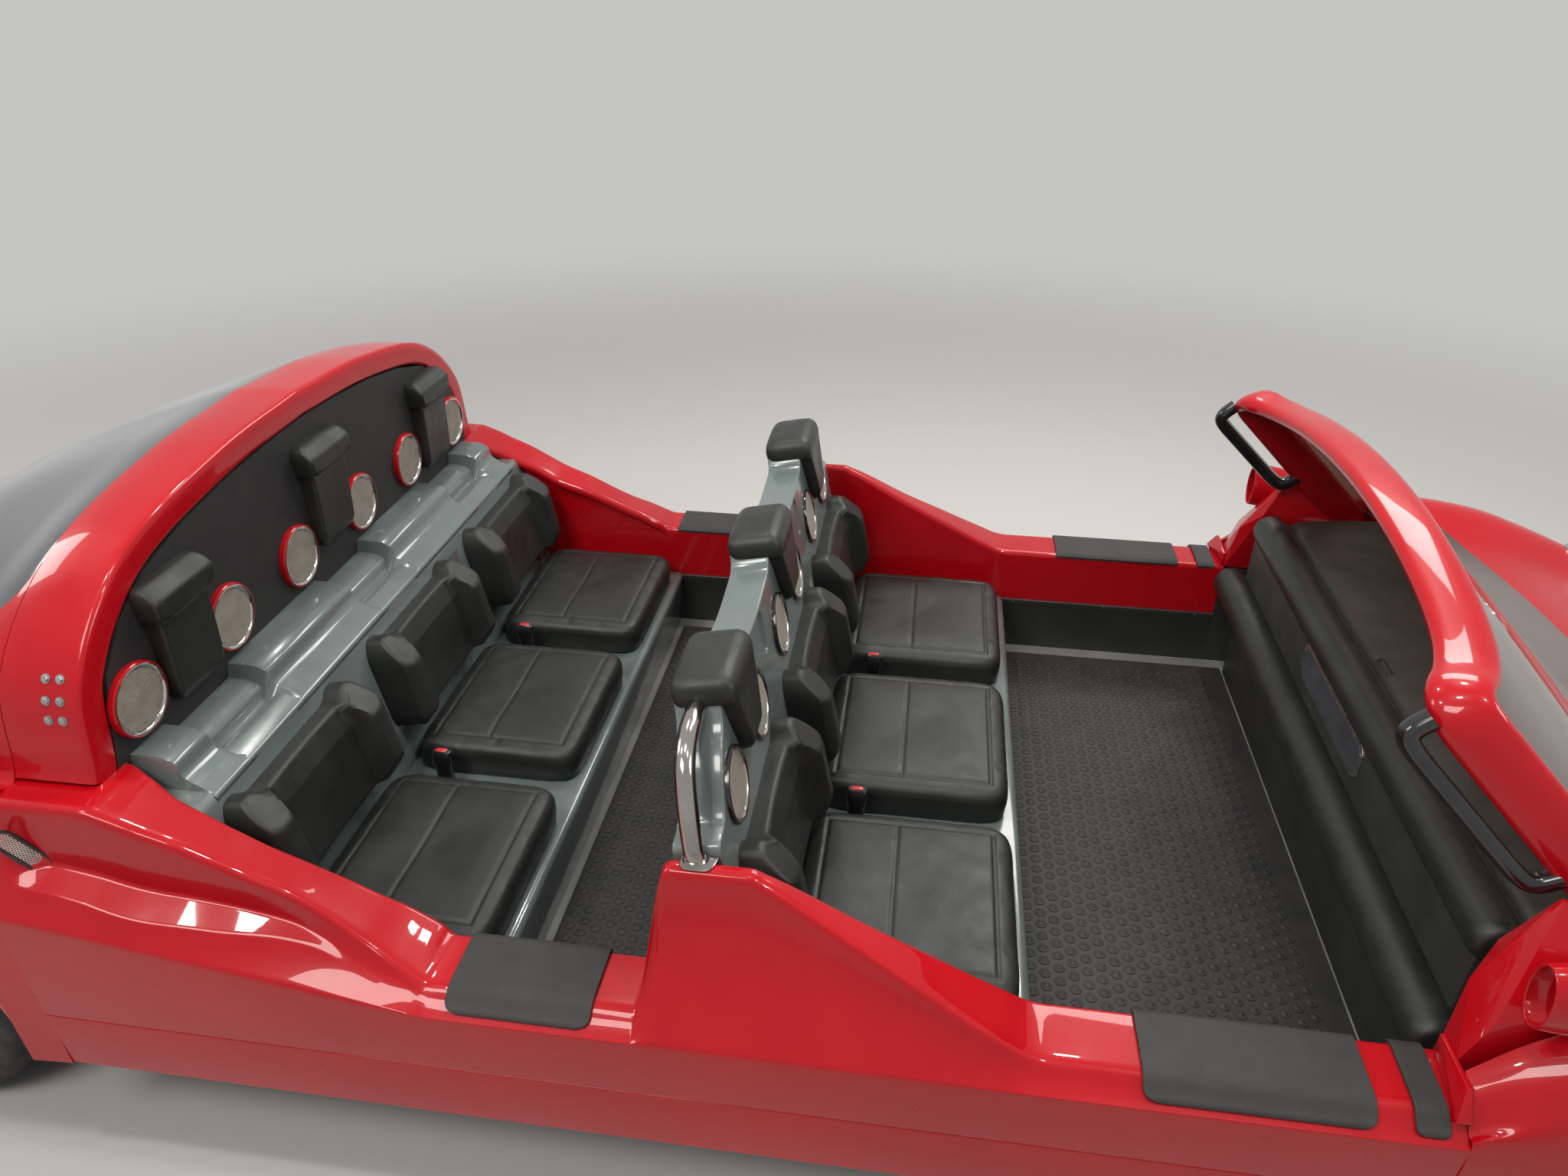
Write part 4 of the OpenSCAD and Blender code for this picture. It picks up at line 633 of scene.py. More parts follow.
TIP_ROUND = 26.0


def bent(rows, column, x):
    """Smooth curve through a table's rows, as the mould's battens bend."""
    def slope(k):
        a, b = max(k - 1, 0), min(k + 1, len(rows) - 1)
        return (rows[b][column] - rows[a][column]) / (rows[b][0] - rows[a][0])

    return blended(rows, column, x, slope)


def arch_low(centre, x):
    return LOW_Z if abs(x - centre) >= ARCH_R else AXLE_Z + math.sqrt(ARCH_R**2 - (x - centre) ** 2)


def nose_low(x):
    start = NOSE_X - 350
    return LOW_Z + 40 * ((x - start) / 350) ** 2 if x > start else arch_low(AXLES["front"], x)


def nose_controls(x):
    w, zf, yf, zv, zc = (bent(NOSE_ROWS, c, x) for c in (1, 2, 3, 4, 5))
    w, low = min(HALF_W, w), nose_low(x)
    side = max(low + 30, min(530.0, zf - 90))
    return [(0, 0, zc), (1, yf * 0.45, zc * 0.6 + zv * 0.4), (2, yf * 0.78, zv), (3, yf, zf),
            (4, w - 22, max(zf - 62, side + 20)), (5, w, side), (6, w - 12, low)]


def nose_point(x, s, controls=None):
    c = controls or nose_controls(x)
    return np.array([x, min(bent(c, 1, s), c[5][1]), bent(c, 2, s)])


def cowl_line(s):
    return COWL_X - (COWL_X - COWL_FOOT_X) * (s / 3) ** 2


def rounding(share):
    """How far a quarter-round edge falls back, from 0 at its flat end to 1 at its rim."""
    return 1 - math.sqrt(max(0.0, 1 - share**2))


def tip_rolled(points, x, tip, sign):
    """Draws a section in towards its middle line as it nears the tip, so that the edge is rounded."""
    d = min(1.0, max(0.0, sign * (tip - x) / TIP_ROUND))
    shrink = TIP_ROUND * rounding(1 - d)
    if not shrink:
        return points
    middle = np.array([x, 0, 360.0])
    made = []
    for p in points:
        out = (p - middle) * np.array([0, 1, 1])
        made.append(p - out / max(np.linalg.norm(out), 1e-6) * shrink)
    return made


def arch_stations(centre):
    return [centre - ARCH_R * math.cos(math.pi * k / ARCH_STEPS) for k in range(ARCH_STEPS + 1)]


def thicken(obj, thickness, crisp):
    """Gives a sheet its thickness on the inner side."""
    wall = obj.modifiers.new("Wall", "SOLIDIFY")
    wall.thickness = thickness * MM
    wall.offset = -1
    return settle(obj, crisp)


def shell_piece(name, grid, thickness, material, keep=None, crisp=40):
    """A closed shell of a thickness under a grid of points. keep(i, j) says which cells it has."""
    rows, width = len(grid), len(grid[0])
    faces = []
    for i in range(rows - 1):
        for j in range(width - 1):
            if keep is None or keep(i, j):
                a = i * width + j
                faces.append((a, a + width, a + width + 1, a + 1))
    obj = piece(name, [p for row in grid for p in row], faces, material, crisp)
    shape = bmesh.new()
    shape.from_mesh(obj.data)
    bmesh.ops.remove_doubles(shape, verts=shape.verts, dist=1e-6)
    loose = [v for v in shape.verts if not v.link_faces]
    bmesh.ops.delete(shape, geom=loose, context="VERTS")
    shape.to_mesh(obj.data)
    shape.free()
    return thicken(obj, thickness, crisp)


def cut(obj, cutters):
    """Cuts shapes out of a piece and removes them."""
    for cutter in cutters:
        saw = obj.modifiers.new("Cut", "BOOLEAN")
        saw.operation = "DIFFERENCE"
        saw.solver = "EXACT"
        saw.object = cutter
    settle(obj, 40)
    for cutter in cutters:
        bpy.data.objects.remove(cutter)
    return obj


nose_stations = spaced([SIDE_FRONT, 1320, 1488], 9)[:-1] + arch_stations(AXLES["front"])
nose_stations += spaced([AXLES["front"] + ARCH_R, NOSE_X - TIP_ROUND], 14)[1:]
nose_stations += [NOSE_X - TIP_ROUND * (1 - math.sin(math.pi / 2 * k / 8)) for k in range(1, 9)]
NOSE_HALF_COLS = 44
nose_grid = []
for x in nose_stations:
    controls = nose_controls(x)
    row = []
    for j in range(-NOSE_HALF_COLS, NOSE_HALF_COLS + 1):
        s = abs(j) * 6 / NOSE_HALF_COLS
        if s < 3 and x >= COWL_FOOT_X:
            start = cowl_line(s)
            xs = start + (NOSE_X - start) * (x - COWL_FOOT_X) / (NOSE_X - COWL_FOOT_X)
            p = nose_point(xs, s)
        else:
            xs, p = x, nose_point(x, s, controls)
        p = tip_rolled([p], xs, NOSE_X, 1)[0]
        row.append(np.array([p[0], math.copysign(1, j) * p[1], p[2]]))
    nose_grid.append(row)
cowl_row = next(i for i, x in enumerate(nose_stations) if x >= COWL_FOOT_X - 0.01)
crown_from = NOSE_HALF_COLS // 2
nose_skin = shell_piece(
    "nose_skin", nose_grid, SHELL, red_gloss,
    lambda i, j: i >= cowl_row or j < NOSE_HALF_COLS - crown_from or j >= NOSE_HALF_COLS + crown_from)
tip_outline = [(p[1], p[2]) for p in nose_grid[-1]]
nose_tip = slab("nose_tip", tip_outline, NOSE_X - SHELL, NOSE_X, "x", red_gloss)
LAMP_AT = Vector((NOSE_X - 440, 800.0, 655.0))
LAMP_R = 78.0
LAMP_TILT = math.radians(38)
LAMP_TOE = math.radians(10)
INTAKE_HALF = 310.0
INTAKE_LOW = 300.0
INTAKE_H = 96.0
lamp_axis = Matrix.Rotation(LAMP_TOE, 3, "Z") @ Matrix.Rotation(LAMP_TILT, 3, "Y") @ Vector((0, 0, 1))


def mirrored(v):
    return Vector((v[0], -v[1], v[2]))


HEADLAMPS = (("left", LAMP_AT, lamp_axis), ("right", mirrored(LAMP_AT), mirrored(lamp_axis)))
INTAKE_CORNER = 22.0
INTAKE_CORNER_STEPS = 6


def round_box(half_a, low_b, high_b, corner):
    """A rectangle with round corners, its first direction centred on 0."""
    made = []
    corners = ((half_a, high_b, 0), (-half_a, high_b, 90), (-half_a, low_b, 180), (half_a, low_b, 270))
    for a, b, turn in corners:
        ca = a - math.copysign(corner, a)
        cb = b - corner if b == high_b else b + corner
        for k in range(INTAKE_CORNER_STEPS + 1):
            t = math.radians(turn + 90 * k / INTAKE_CORNER_STEPS)
            made.append((ca + corner * math.cos(t), cb + corner * math.sin(t)))
    return made


def intake_cutter():
    outline = round_box(INTAKE_HALF, INTAKE_LOW, INTAKE_LOW + INTAKE_H, INTAKE_CORNER)
    return slab("cutter", outline, NOSE_X - 60, NOSE_X + 40, "x", red_gloss)


lamp_well = [(0, -120), (LAMP_R, -120), (LAMP_R, 120), (0, 120)]
lamp_cutters = [turned("cutter", lamp_well, place, axis, red_gloss, 64) for side, place, axis in HEADLAMPS]
cut(nose_skin, lamp_cutters + [intake_cutter()])
cut(nose_tip, [intake_cutter()])
hang(joined("nose_moulding", [nose_skin, nose_tip]), CAR, ["nose"])

# Headlamps: clear domed lenses in bright bezels, sunk in the fenders' wells.
# A spun bowl reflector with a bulb is clipped behind each lens.
lens_clear = new_finish("lamp_lens", (0.93, 0.94, 0.95), 0.04, coat=0.4)
surface_of(lens_clear).inputs["Transmission Weight"].default_value = 0.92
surface_of(lens_clear).inputs["IOR"].default_value = 1.5
relief(lens_clear, 90.0, 0.3, detail=0.0, stretch=(1, 0.05, 1))
bright_steel = new_finish("bright_steel", (0.62, 0.6, 0.58), 0.12, metallic=1.0)
blotch(bright_steel, 14.0, (0.5, 0.48, 0.46), (0.7, 0.69, 0.67))
uneven_gloss(bright_steel, 45.0, 0.07, 0.2, detail=5.0)
bezel_profile = [(77.6, -40), (77.6, 5), (75, 8), (70, 8.5), (66.3, 5), (66.3, -10), (70, -40)]
bowl_profile = [(66.3, -9), (60, -26), (48, -46), (30, -58), (12, -62), (0, -62), (0, -65), (14, -65),
                (32, -61), (51, -48), (63, -27), (69, -9)]
bulb_profile = [(0, -22), (8, -24), (12, -32), (12, -50), (9, -60)]
dome = [(r, 14 * (1 - (r / 66) ** 2) - 2) for r in (66, 62, 54, 44, 32, 18, 0)]
dome_inside = [(r, height - 4) for r, height in reversed(dome)]
lens_profile = [(66, -8)] + dome + dome_inside[:-1] + [(62, -8)]
for side, place, axis in HEADLAMPS:
    lamp_parts = [turned("bezel", bezel_profile, place, axis, bright_steel, 64, hollow=True),
                  turned("bowl", bowl_profile, place, axis, bright_steel, 64, hollow=True),
                  turned("bulb", bulb_profile, place, axis, bright_steel, 24)]
    hang(joined(f"lamp_bezel_{side}", lamp_parts), CAR, ["headlamps"])
    lens = turned(f"lamp_lens_{side}", lens_profile, place, axis, lens_clear, 64, hollow=True)
    hang(lens, CAR, ["headlamps"])

# Grilles: a bright slatted insert in the nose intake, and small pierced steel plates with black collars
# let into the rear walls of the side scoops, each clamped under its collar.
GRILLE_AT = Vector((-1117.0, (904 + SIDE_HALF) / 2 - 20, 752.0))
GRILLE_L = 110.0
GRILLE_W = 34.0
HOLE_PITCH = 4.6
HOLE_R = 1.7
plate_steel = new_finish("pierced_steel", (0.56, 0.53, 0.49), 0.3, metallic=1.0)
blotch(plate_steel, 30.0, (0.42, 0.39, 0.35), (0.62, 0.6, 0.56))
uneven_gloss(plate_steel, 200.0, 0.22, 0.42)
collar_black = new_finish("collar_black", (0.015, 0.015, 0.016), 0.4)
blotch(collar_black, 60.0, (0.01, 0.01, 0.011), (0.022, 0.022, 0.023))
relief(collar_black, 800.0, 0.1)


grille_turn = Matrix.Rotation(math.radians(57), 3, "Z") @ Matrix.Rotation(math.radians(-29), 3, "X")


def on_plate(sign, a, b, depth=-2.0):
    """A point of a grille's plane, a across and b along it, on the left (1) or right (-1) side of the car."""
    p = GRILLE_AT + grille_turn @ Vector((depth, a, b))
    return Vector((p[0], sign * p[1], p[2]))


def pierced(centres, sign):
    """A sheet of hexagonal cells round holes."""
    points, faces = [], []
    cell = HOLE_PITCH / math.sqrt(3)
    for a, b in centres:
        first = len(points)
        for radius in (cell, HOLE_R):
            for k in range(6):
                t = math.radians(60 * k + 30)
                points.append(on_plate(sign, a + radius * math.cos(t), b + radius * math.sin(t)))
        faces += [tuple(first + k for k in face) for face in bands(2, 6)]
    return thicken(mend(piece("sheet", points, faces, plate_steel, 60), 60, 2e-5), 1.2, 60)


grille_straight = (GRILLE_L - GRILLE_W) / 2
holes = []
for i in range(-14, 15):
    for j in range(-5, 6):
        a = j * HOLE_PITCH + HOLE_PITCH / 2 * (i % 2)
        b = i * HOLE_PITCH * math.sqrt(3) / 2
        if math.hypot(a, max(0.0, abs(b) - grille_straight)) < GRILLE_W / 2 - 1.5:
            holes.append((a, b))
# Growth past the grille's outline and depth from its face, round the collar's section
COLLAR = [(-3.0, -3.5), (-3.0, 0.0), (-0.5, 2.0), (2.0, 0.5), (2.0, -5.0)]
grille_pieces, collar_pieces = [], []
for sign in (1, -1):
    grille_pieces.append(pierced(holes, sign))
    sections = []
    for c, s in directions(48):
        lift = math.copysign(grille_straight, s)
        around = [(GRILLE_W / 2 + grow, depth) for grow, depth in COLLAR]
        sections.append([on_plate(sign, r * c, lift + r * s, depth) for r, depth in around])
    collar_pieces.append(lofted("collar", sections + sections[:1], collar_black, 50, ends=False))
SLAT_PITCH = 24.0
slats = []
for k in range(4):
    z = INTAKE_LOW + 9 + k * SLAT_PITCH
    outline = [(NOSE_X - back, z + up) for back, up in ((14, 0), (4, 1.5), (2, 4), (4, 6), (14, 7))]
    slats.append(slab("slat", outline, -INTAKE_HALF + 2, INTAKE_HALF - 2, "y", plate_steel))
stay_outline = rectangle(NOSE_X - 16, NOSE_X - 11, INTAKE_LOW + 1, INTAKE_LOW + INTAKE_H - 1)
for y in (-INTAKE_HALF + 6, 0, INTAKE_HALF - 6):
    slats.append(slab("stay", stay_outline, y - 6, y + 6, "y", plate_steel))
hang(joined("pierced_grilles", grille_pieces + slats), CAR, ["grilles"])
hang(joined("grille_collars", collar_pieces), CAR)

# Tail: rear fenders, canopy and deck in one red moulding with a big window opening behind the hoop.
# The opening has round corners and the window is glued into it from inside.
HOOP_Z = 1262.0
HOOP_SHOULDER_Z = 1182.0
# Columns: x, half width, crest height, crest distance, canopy foot height, shoulder distance,
# shoulder height, middle height
TAIL_ROWS = [
    (BULKHEAD_X, SIDE_HALF, crest(1), 904, crest(1) + 4, 610, HOOP_SHOULDER_Z, HOOP_Z),
    (SIDE_REAR, SIDE_HALF, crest(1.01), 908, crest(1) + 6, 612, HOOP_SHOULDER_Z - 12, HOOP_Z - 6),
    (-1300, HALF_W - 8, crest(1.06), 910, crest(1) + 4, 590, 1110, HOOP_Z - 47),
    (-1600, HALF_W, crest(1.08), 900, crest(1) - 8, 540, 1010, 1105),
    (-1900, HALF_W - 2, 810, 875, 770, 480, 880, 965),
    (TAIL_X + 450, HALF_W - 25, 735, 838, 702, 440, 765, 835),
    (TAIL_X + 200, HALF_W - 100, 640, 760, 625, 400, 665, 710),
    (TAIL_X + 50, HALF_W - 210, 540, 640, 530, 340, 560, 590),
    (TAIL_X, HALF_W - 300, 480, 560, 475, 300, 495, 520)]
tail_backward = [(-r[0],) + r[1:] for r in TAIL_ROWS]


def tail_controls(x):
    w, zf, yf, zv, ys, zs, zc = (bent(tail_backward, c, -x) for c in (1, 2, 3, 4, 5, 6, 7))
    w, low = min(HALF_W, w), arch_low(AXLES["rear"], x)
    side = max(low + 30, min(crease_z(max(x, SIDE_REAR)), zf - 90))
    return [(0, 0, zc), (1, ys * 0.5, zc - (zc - zs) * 0.22), (2, ys, zs),
            (3, (ys + yf) / 2 + 34, (zs + zv) / 2 + 21), (4, yf - 63, zv), (5, yf, zf), (6, w, side),
            (7, w - 12, low)]


def tail_point(x, s, controls=None):
    c = controls or tail_controls(x)
    if s <= 5:
        return np.array([x, bent(c, 1, s), bent(c, 2, s)])
    first, power = (5, max(0.7, 1.8 + (x - SIDE_REAR) / 180)) if s <= 6 else (6, 1)
    (_, y, z), (_, next_y, next_z) = c[first], c[first + 1]
    u = s - first
    return np.array([x, y + (next_y - y) * u**power, z + (next_z - z) * u])


WINDOW_REAR = -2080.0
WINDOW_S = 2.5
WINDOW_ROUND = 90.0
WINDOW_COLS = 40


def window_edge(x):
    """Half width of the opening in section steps, drawn in round its corners."""
    d = min(SIDE_REAR - x, x - WINDOW_REAR)
    if d < 0:
        return WINDOW_S - 0.4
    return WINDOW_S - 0.4 * rounding(1 - min(1.0, d / WINDOW_ROUND))


def tail_steps(x):
    edge = window_edge(x)
    inner = [edge * j / (WINDOW_COLS // 2) for j in range(WINDOW_COLS // 2 + 1)]
    stops = [edge, 4.0, 5.0, 6.0, 7.0]
    counts = [14, 10, 14, 6]
    for a, b, n in zip(stops, stops[1:], counts):
        inner += [a + (b - a) * k / n for k in range(1, n + 1)]
    return [-s for s in reversed(inner[1:])] + inner


tail_stations = [SIDE_REAR, -1162, -1166, -1172, -1180, -1190, -1202, -1216, -1232]
tail_stations += arch_stations(AXLES["rear"])[::-1][:-1]
tail_stations += [-x for x in spaced([1960, 2060], 12)] + [-2068, -2074, -2078, WINDOW_REAR]
tail_stations += [-x for x in spaced([-WINDOW_REAR, 2650 - TIP_ROUND], 16)][1:]
tail_stations += [TAIL_X + TIP_ROUND * (1 - math.sin(math.pi / 2 * k / 8)) for k in range(1, 9)]
tail_grid = []
for x in tail_stations:
    controls = tail_controls(x)
    row = []
    for s in tail_steps(x):
        p = tail_point(x, abs(s), controls)
        row.append(np.array([x, -math.copysign(1, s) * p[1], p[2]]))
    tail_grid.append(tip_rolled(row, x, TAIL_X, -1))
window_rows = len([x for x in tail_stations if x > WINDOW_REAR + 0.01])
tail_middle = len(tail_grid[0]) // 2
window_half = WINDOW_COLS // 2


def in_window(i, j):
    return i < window_rows and tail_middle - window_half <= j < tail_middle + window_half


tail_skin = shell_piece("tail_skin", tail_grid, SHELL, red_gloss, lambda i, j: not in_window(i, j))
tail_tip = slab("tail_tip", [(p[1], p[2]) for p in tail_grid[-1]], TAIL_X, TAIL_X + SHELL, "x", red_gloss)
TAIL_LAMP_Y = 430.0
TAIL_LAMP_Z = 420.0
TAIL_LAMP_R = 45.0
tail_lamp_hole = [(0, -20), (TAIL_LAMP_R, -20), (TAIL_LAMP_R, 60), (0, 60)]
tail_lamp_places = [(TAIL_X, sign * TAIL_LAMP_Y, TAIL_LAMP_Z) for sign in (1, -1)]
cut(tail_tip, [turned("cutter", tail_lamp_hole, place, (1, 0, 0), red_gloss) for place in tail_lamp_places])
hang(joined("tail_moulding", [tail_skin, tail_tip]), CAR, ["tail"])

# Rear window: one big curved pane of dark tinted acrylic, formed to the canopy's shape.
# It is glued into the opening from inside.
pane_dark = new_finish("dark_glass", (0.035, 0.04, 0.046), 0.08, coat=1.0)
blotch(pane_dark, 2.5, (0.028, 0.032, 0.038), (0.05, 0.056, 0.062))
uneven_gloss(pane_dark, 6.0, 0.06, 0.14)
window_span = slice(tail_middle - window_half, tail_middle + window_half + 1)
window_points = [[p - np.array([0, 0, 1.0]) for p in row[window_span]] for row in tail_grid[:window_rows + 1]]
hang(shell_piece("tinted_window", window_points, 6, pane_dark), CAR, ["rear_window"])

# Hoop: the red roll round the rear headrests, rolled over a tube so that its front edge is full and round.
# It ends at the fenders on both sides with a thin gap, and six hex screws hold each foot.
HOOP_T = 58.0
HOOP_HALF_S = 4.0
HOOP_COLS = 120


def inward_at(x, s):
    """Unit direction into the tail from its surface, square to the car's length."""
    if s == 0:
        return np.array([0, 0, -1.0])
    a, b = tail_point(x, s - 0.02), tail_point(x, s + 0.02)
    n = np.array([0, b[2] - a[2], a[1] - b[1]])
    return n / np.linalg.norm(n)


# Place along the car, share of the roll's thickness, reach of the rounded corner
HOOP_OUTLINE = [
    (SIDE_REAR + 0.8, 1, 0), (SIDE_REAR + 0.8, 0, 2), (-1120, 0, 0), (-1085, 0, 0), (BULKHEAD_X - 22, 0, 0),
    (BULKHEAD_X, 0, 24), (BULKHEAD_X, 1, 12), (BULKHEAD_X - 20, 1, 0), (-1100, 1, 0)]
hoop_corners = [(x, share * HOOP_T) for x, share, reach in HOOP_OUTLINE]
hoop_ring = rounded(hoop_corners, [reach for x, share, reach in HOOP_OUTLINE], 6)
hoop_sections = []
for j in range(HOOP_COLS + 1):
    s = -HOOP_HALF_S + 2 * HOOP_HALF_S * j / HOOP_COLS
    inward = inward_at(BULKHEAD_X - 60, abs(s))
    outline = []
    for x, depth in hoop_ring:
        p = tail_point(x, abs(s)) + inward * depth
        outline.append((p[0], -math.copysign(1, s) * p[1], p[2]))
    hoop_sections.append(outline)
hang(lofted("hoop_roll", hoop_sections, red_gloss, 40), CAR, ["rear_hoop"])

# Bulkhead: flat black board behind the rear seats, faced with a coarse-grained skin.
# Its edge is tucked under the hoop.
board_black = new_finish("bulkhead_skin", (0.016, 0.016, 0.017), 0.62)
blotch(board_black, 25.0, (0.011, 0.011, 0.011), (0.015, 0.015, 0.015), detail=5.0)
relief(board_black, 420.0, 0.5, detail=2.0, cells=True)
coat_node("rear_bulkhead", board_black)

# Tail lamps: round red lenses with moulded rings.
# They are clipped flush into the tail.
lens_red = new_finish("red_lens", (0.5, 0.01, 0.012), 0.1, coat=0.6)
surface_of(lens_red).inputs["Transmission Weight"].default_value = 0.35
blotch(lens_red, 40.0, (0.42, 0.008, 0.01), (0.6, 0.015, 0.015))
lens_rings = [(TAIL_LAMP_R - 0.3, 18), (TAIL_LAMP_R - 0.3, 5), (43, 2)]
for k in range(1, 6):
    lens_rings += [(46 - 7 * k, 0.5 - 0.4 * k), (43 - 7 * k, 2 - 0.4 * k)]
lens_rings.append((0, -1))
for side, place in zip(("left", "right"), tail_lamp_places):
    lens = turned(f"tail_lens_{side}", lens_rings, place, (1, 0, 0), lens_red)
    hang(lens, CAR, ["tail_lamps"])

# Wheel tubs: black moulded liners that arch over each wheel behind the body's lip, with a flat wall inboard.
# They are clear of the tyres at full lock, and their lower edges are screwed to the body's turned flange.
TUB_R = 374.0
TUB_T = 4.0
TUB_IN = 560.0
TUB_LIP = 34.0
TUB_LOW_Z = LOW_Z + 6
TUB_WALL_Z = AXLE_Z + 75.0
tub_black = new_finish("tub_plastic", (0.024, 0.024, 0.025), 0.72)
blotch(tub_black, 8.0, (0.02, 0.02, 0.02), (0.034, 0.033, 0.031), detail=4.0)
relief(tub_black, 380.0, 0.3, detail=2.0, cells=True)


def body_half(x):
    if x > 0:
        return bent(NOSE_ROWS, 1, x)
    return bent(tail_backward, 1, -x) if x < SIDE_REAR else SIDE_HALF


def tub(axle_x, sign):
    """The arched sheet over a wheel and the wall that closes it towards the frame."""
    turns = [(math.cos(a), math.sin(a)) for a in np.linspace(0, math.pi, 41)]
    places = [(axle_x + TUB_R * c, AXLE_Z + TUB_R * s, c, s) for c, s in turns]
    places = [(axle_x + TUB_R, TUB_LOW_Z, 1, 0)] + places + [(axle_x - TUB_R, TUB_LOW_Z, -1, 0)]
    sections = []
    for x, z, ux, uz in places:
        y = min(HALF_W, body_half(x)) - TUB_LIP
        outer_x, outer_z = x + ux * TUB_T, z + uz * TUB_T
        sections.append([(x, sign * TUB_IN, z), (x, sign * y, z), (outer_x, sign * y, outer_z),
                         (outer_x, sign * TUB_IN, outer_z)])
    reach = math.asin((TUB_WALL_Z - AXLE_Z) / TUB_R)
    outline = [(axle_x + TUB_R * math.cos(a), AXLE_Z + TUB_R * math.sin(a))
               for a in np.linspace(reach, math.pi - reach, 41)]
    low, high = sorted((sign * (TUB_IN - TUB_T), sign * TUB_IN))
    return [lofted("arch", sections, tub_black, 40), slab("wall", outline, low, high, "y", tub_black)]


for end, axle_x in AXLES.items():
    hang(joined(f"wheel_tubs_{end}", tub(axle_x, 1) + tub(axle_x, -1)), CAR)

# Windscreen surround: a header and two pillars moulded in one red roll, thick enough to hold on to.
# It bows forward and up across the car, and its corners are drawn as wide curves into the pillars.
DASH_X = 1305.0
HEADER_X = 1166.0
HEADER_BOW = 100.0
HEADER_Z = 1138.0
HEADER_RISE = 54.0
HEADER_HALF = 672.0
HEADER_W = 92.0
HEADER_T = 40.0
PILLAR_FOOT = np.array([1560.0, 806.0, 748.0])
HEADER_BROAD = np.array([1, 0, 0.12])
PILLAR_BROAD = np.array([0.72, 0, 0.69])


def header_point(f):
    return np.array([HEADER_X + HEADER_BOW * (1 - 0.2 * f * f - 0.8 * f**8), HEADER_HALF * f,
                     HEADER_Z + HEADER_RISE * (1 - 1.75 * f * f + 0.75 * f**8)])


def pillar_point(k):
    return header_point(1) + (PILLAR_FOOT - header_point(1)) * k


def oval(a, b, fullness, count):
    """Points of an oval with half widths a and b. A fullness above 2 fills its corners."""
    return [(a * math.copysign(abs(c) ** (2 / fullness), c), b * math.copysign(abs(s) ** (2 / fullness), s))
            for c, s in directions(count)]


def swept(name, path, broads, wide, thick, material, fullness=2.0, ring=32):
    """A bar along a path, its section a full oval that is wide along the broad directions."""
    path = [np.array(p, float) for p in path]
    last = len(path) - 1
    sections = []
    for i, p in enumerate(path):
        run = path[min(i + 1, last)] - path[max(i - 1, 0)]
        run = run / np.linalg.norm(run)
        a = np.array(broads[i] if len(broads) > 1 else broads[0], float)
        a = a - run * (a @ run)
        a = a / np.linalg.norm(a)
        b = np.cross(a, run)
        sections.append([p + a * u + b * v for u, v in oval(wide / 2, thick / 2, fullness, ring)])
    return lofted(name, sections, material, 50)


CORNER_FROM = 0.9
CORNER_TO = 0.12
corner = curve(header_point(CORNER_FROM), header_point(0.998), pillar_point(CORNER_TO), 14)
left_half = [header_point(f) for f in np.linspace(0, CORNER_FROM, 36)[:-1]] + corner
left_half += [pillar_point(k) for k in np.linspace(CORNER_TO, 1, 24)[1:]]
left_broad = [HEADER_BROAD] * 35 + [HEADER_BROAD * (1 - t) + PILLAR_BROAD * t for t in np.linspace(0, 1, 14)]
left_broad += [PILLAR_BROAD] * 23
surround_path = [p * np.array([1, -1, 1]) for p in reversed(left_half[1:])] + left_half
surround_broad = list(reversed(left_broad[1:])) + left_broad
surround = swept("windscreen_surround", surround_path, surround_broad, HEADER_W, HEADER_T, red_gloss, 2.5)
hang(surround, CAR, ["windscreen_frame"])

# Windscreen: one laminated pane with a warm tint, bonded under the header and down into the cowl.
# The header's overlap hides the bond along its top.
GLASS_T = 8.0
GLASS_UNDER = 24.0
glass_warm = new_finish("clear_glass", (0.42, 0.3, 0.25), 0.05, coat=0.6)
surface_of(glass_warm).inputs["Transmission Weight"].default_value = 0.86
surface_of(glass_warm).inputs["IOR"].default_value = 1.45
blotch(glass_warm, 2.0, (0.36, 0.25, 0.21), (0.48, 0.35, 0.3))


def glass_top(f):
    return header_point(f) + np.array([HEADER_W / 2 - GLASS_UNDER, 0, 2])


def cowl_edge(f):
    s = 2.4 * abs(f)
    p = nose_point(cowl_line(s), s)
    return np.array([p[0] - 6, math.copysign(p[1], f), p[2] + GLASS_T + 4])


def glass_side(g, f):
    middle = (PILLAR_FOOT + np.array([36, 0, 30])) * np.array([1, f, 1])
    if g < 0.72:
        return glass_top(f) + (middle - glass_top(f)) * g / 0.72
    return middle + (cowl_edge(f) - middle) * (g - 0.72) / 0.28


def glass_point(g, f):
    v = (f + 1) / 2
    sides = glass_side(g, -1) * (1 - v) + glass_side(g, 1) * v
    corners = (glass_top(-1) * (1 - v) + glass_top(1) * v) * (1 - g)
    corners = corners + (cowl_edge(-1) * (1 - v) + cowl_edge(1) * v) * g
    crown = np.array([0, 0, 20 * math.sin(math.pi * g) * (1 - f * f)])
    return glass_top(f) * (1 - g) + cowl_edge(f) * g + sides - corners + crown


pane = [[glass_point(g, f) for f in np.linspace(-1, 1, 61)] for g in np.linspace(0, 1, 33)]
hang(shell_piece("windscreen_pane", pane, GLASS_T, glass_warm), CAR, ["windscreen"])

# Pillar bases: faceted red blocks that carry the surround, sharp like folded sheet with a small turned edge.
# Each runs down to the sill and closes the end of the dash.
BASE_OUT = CABIN_HALF + 56


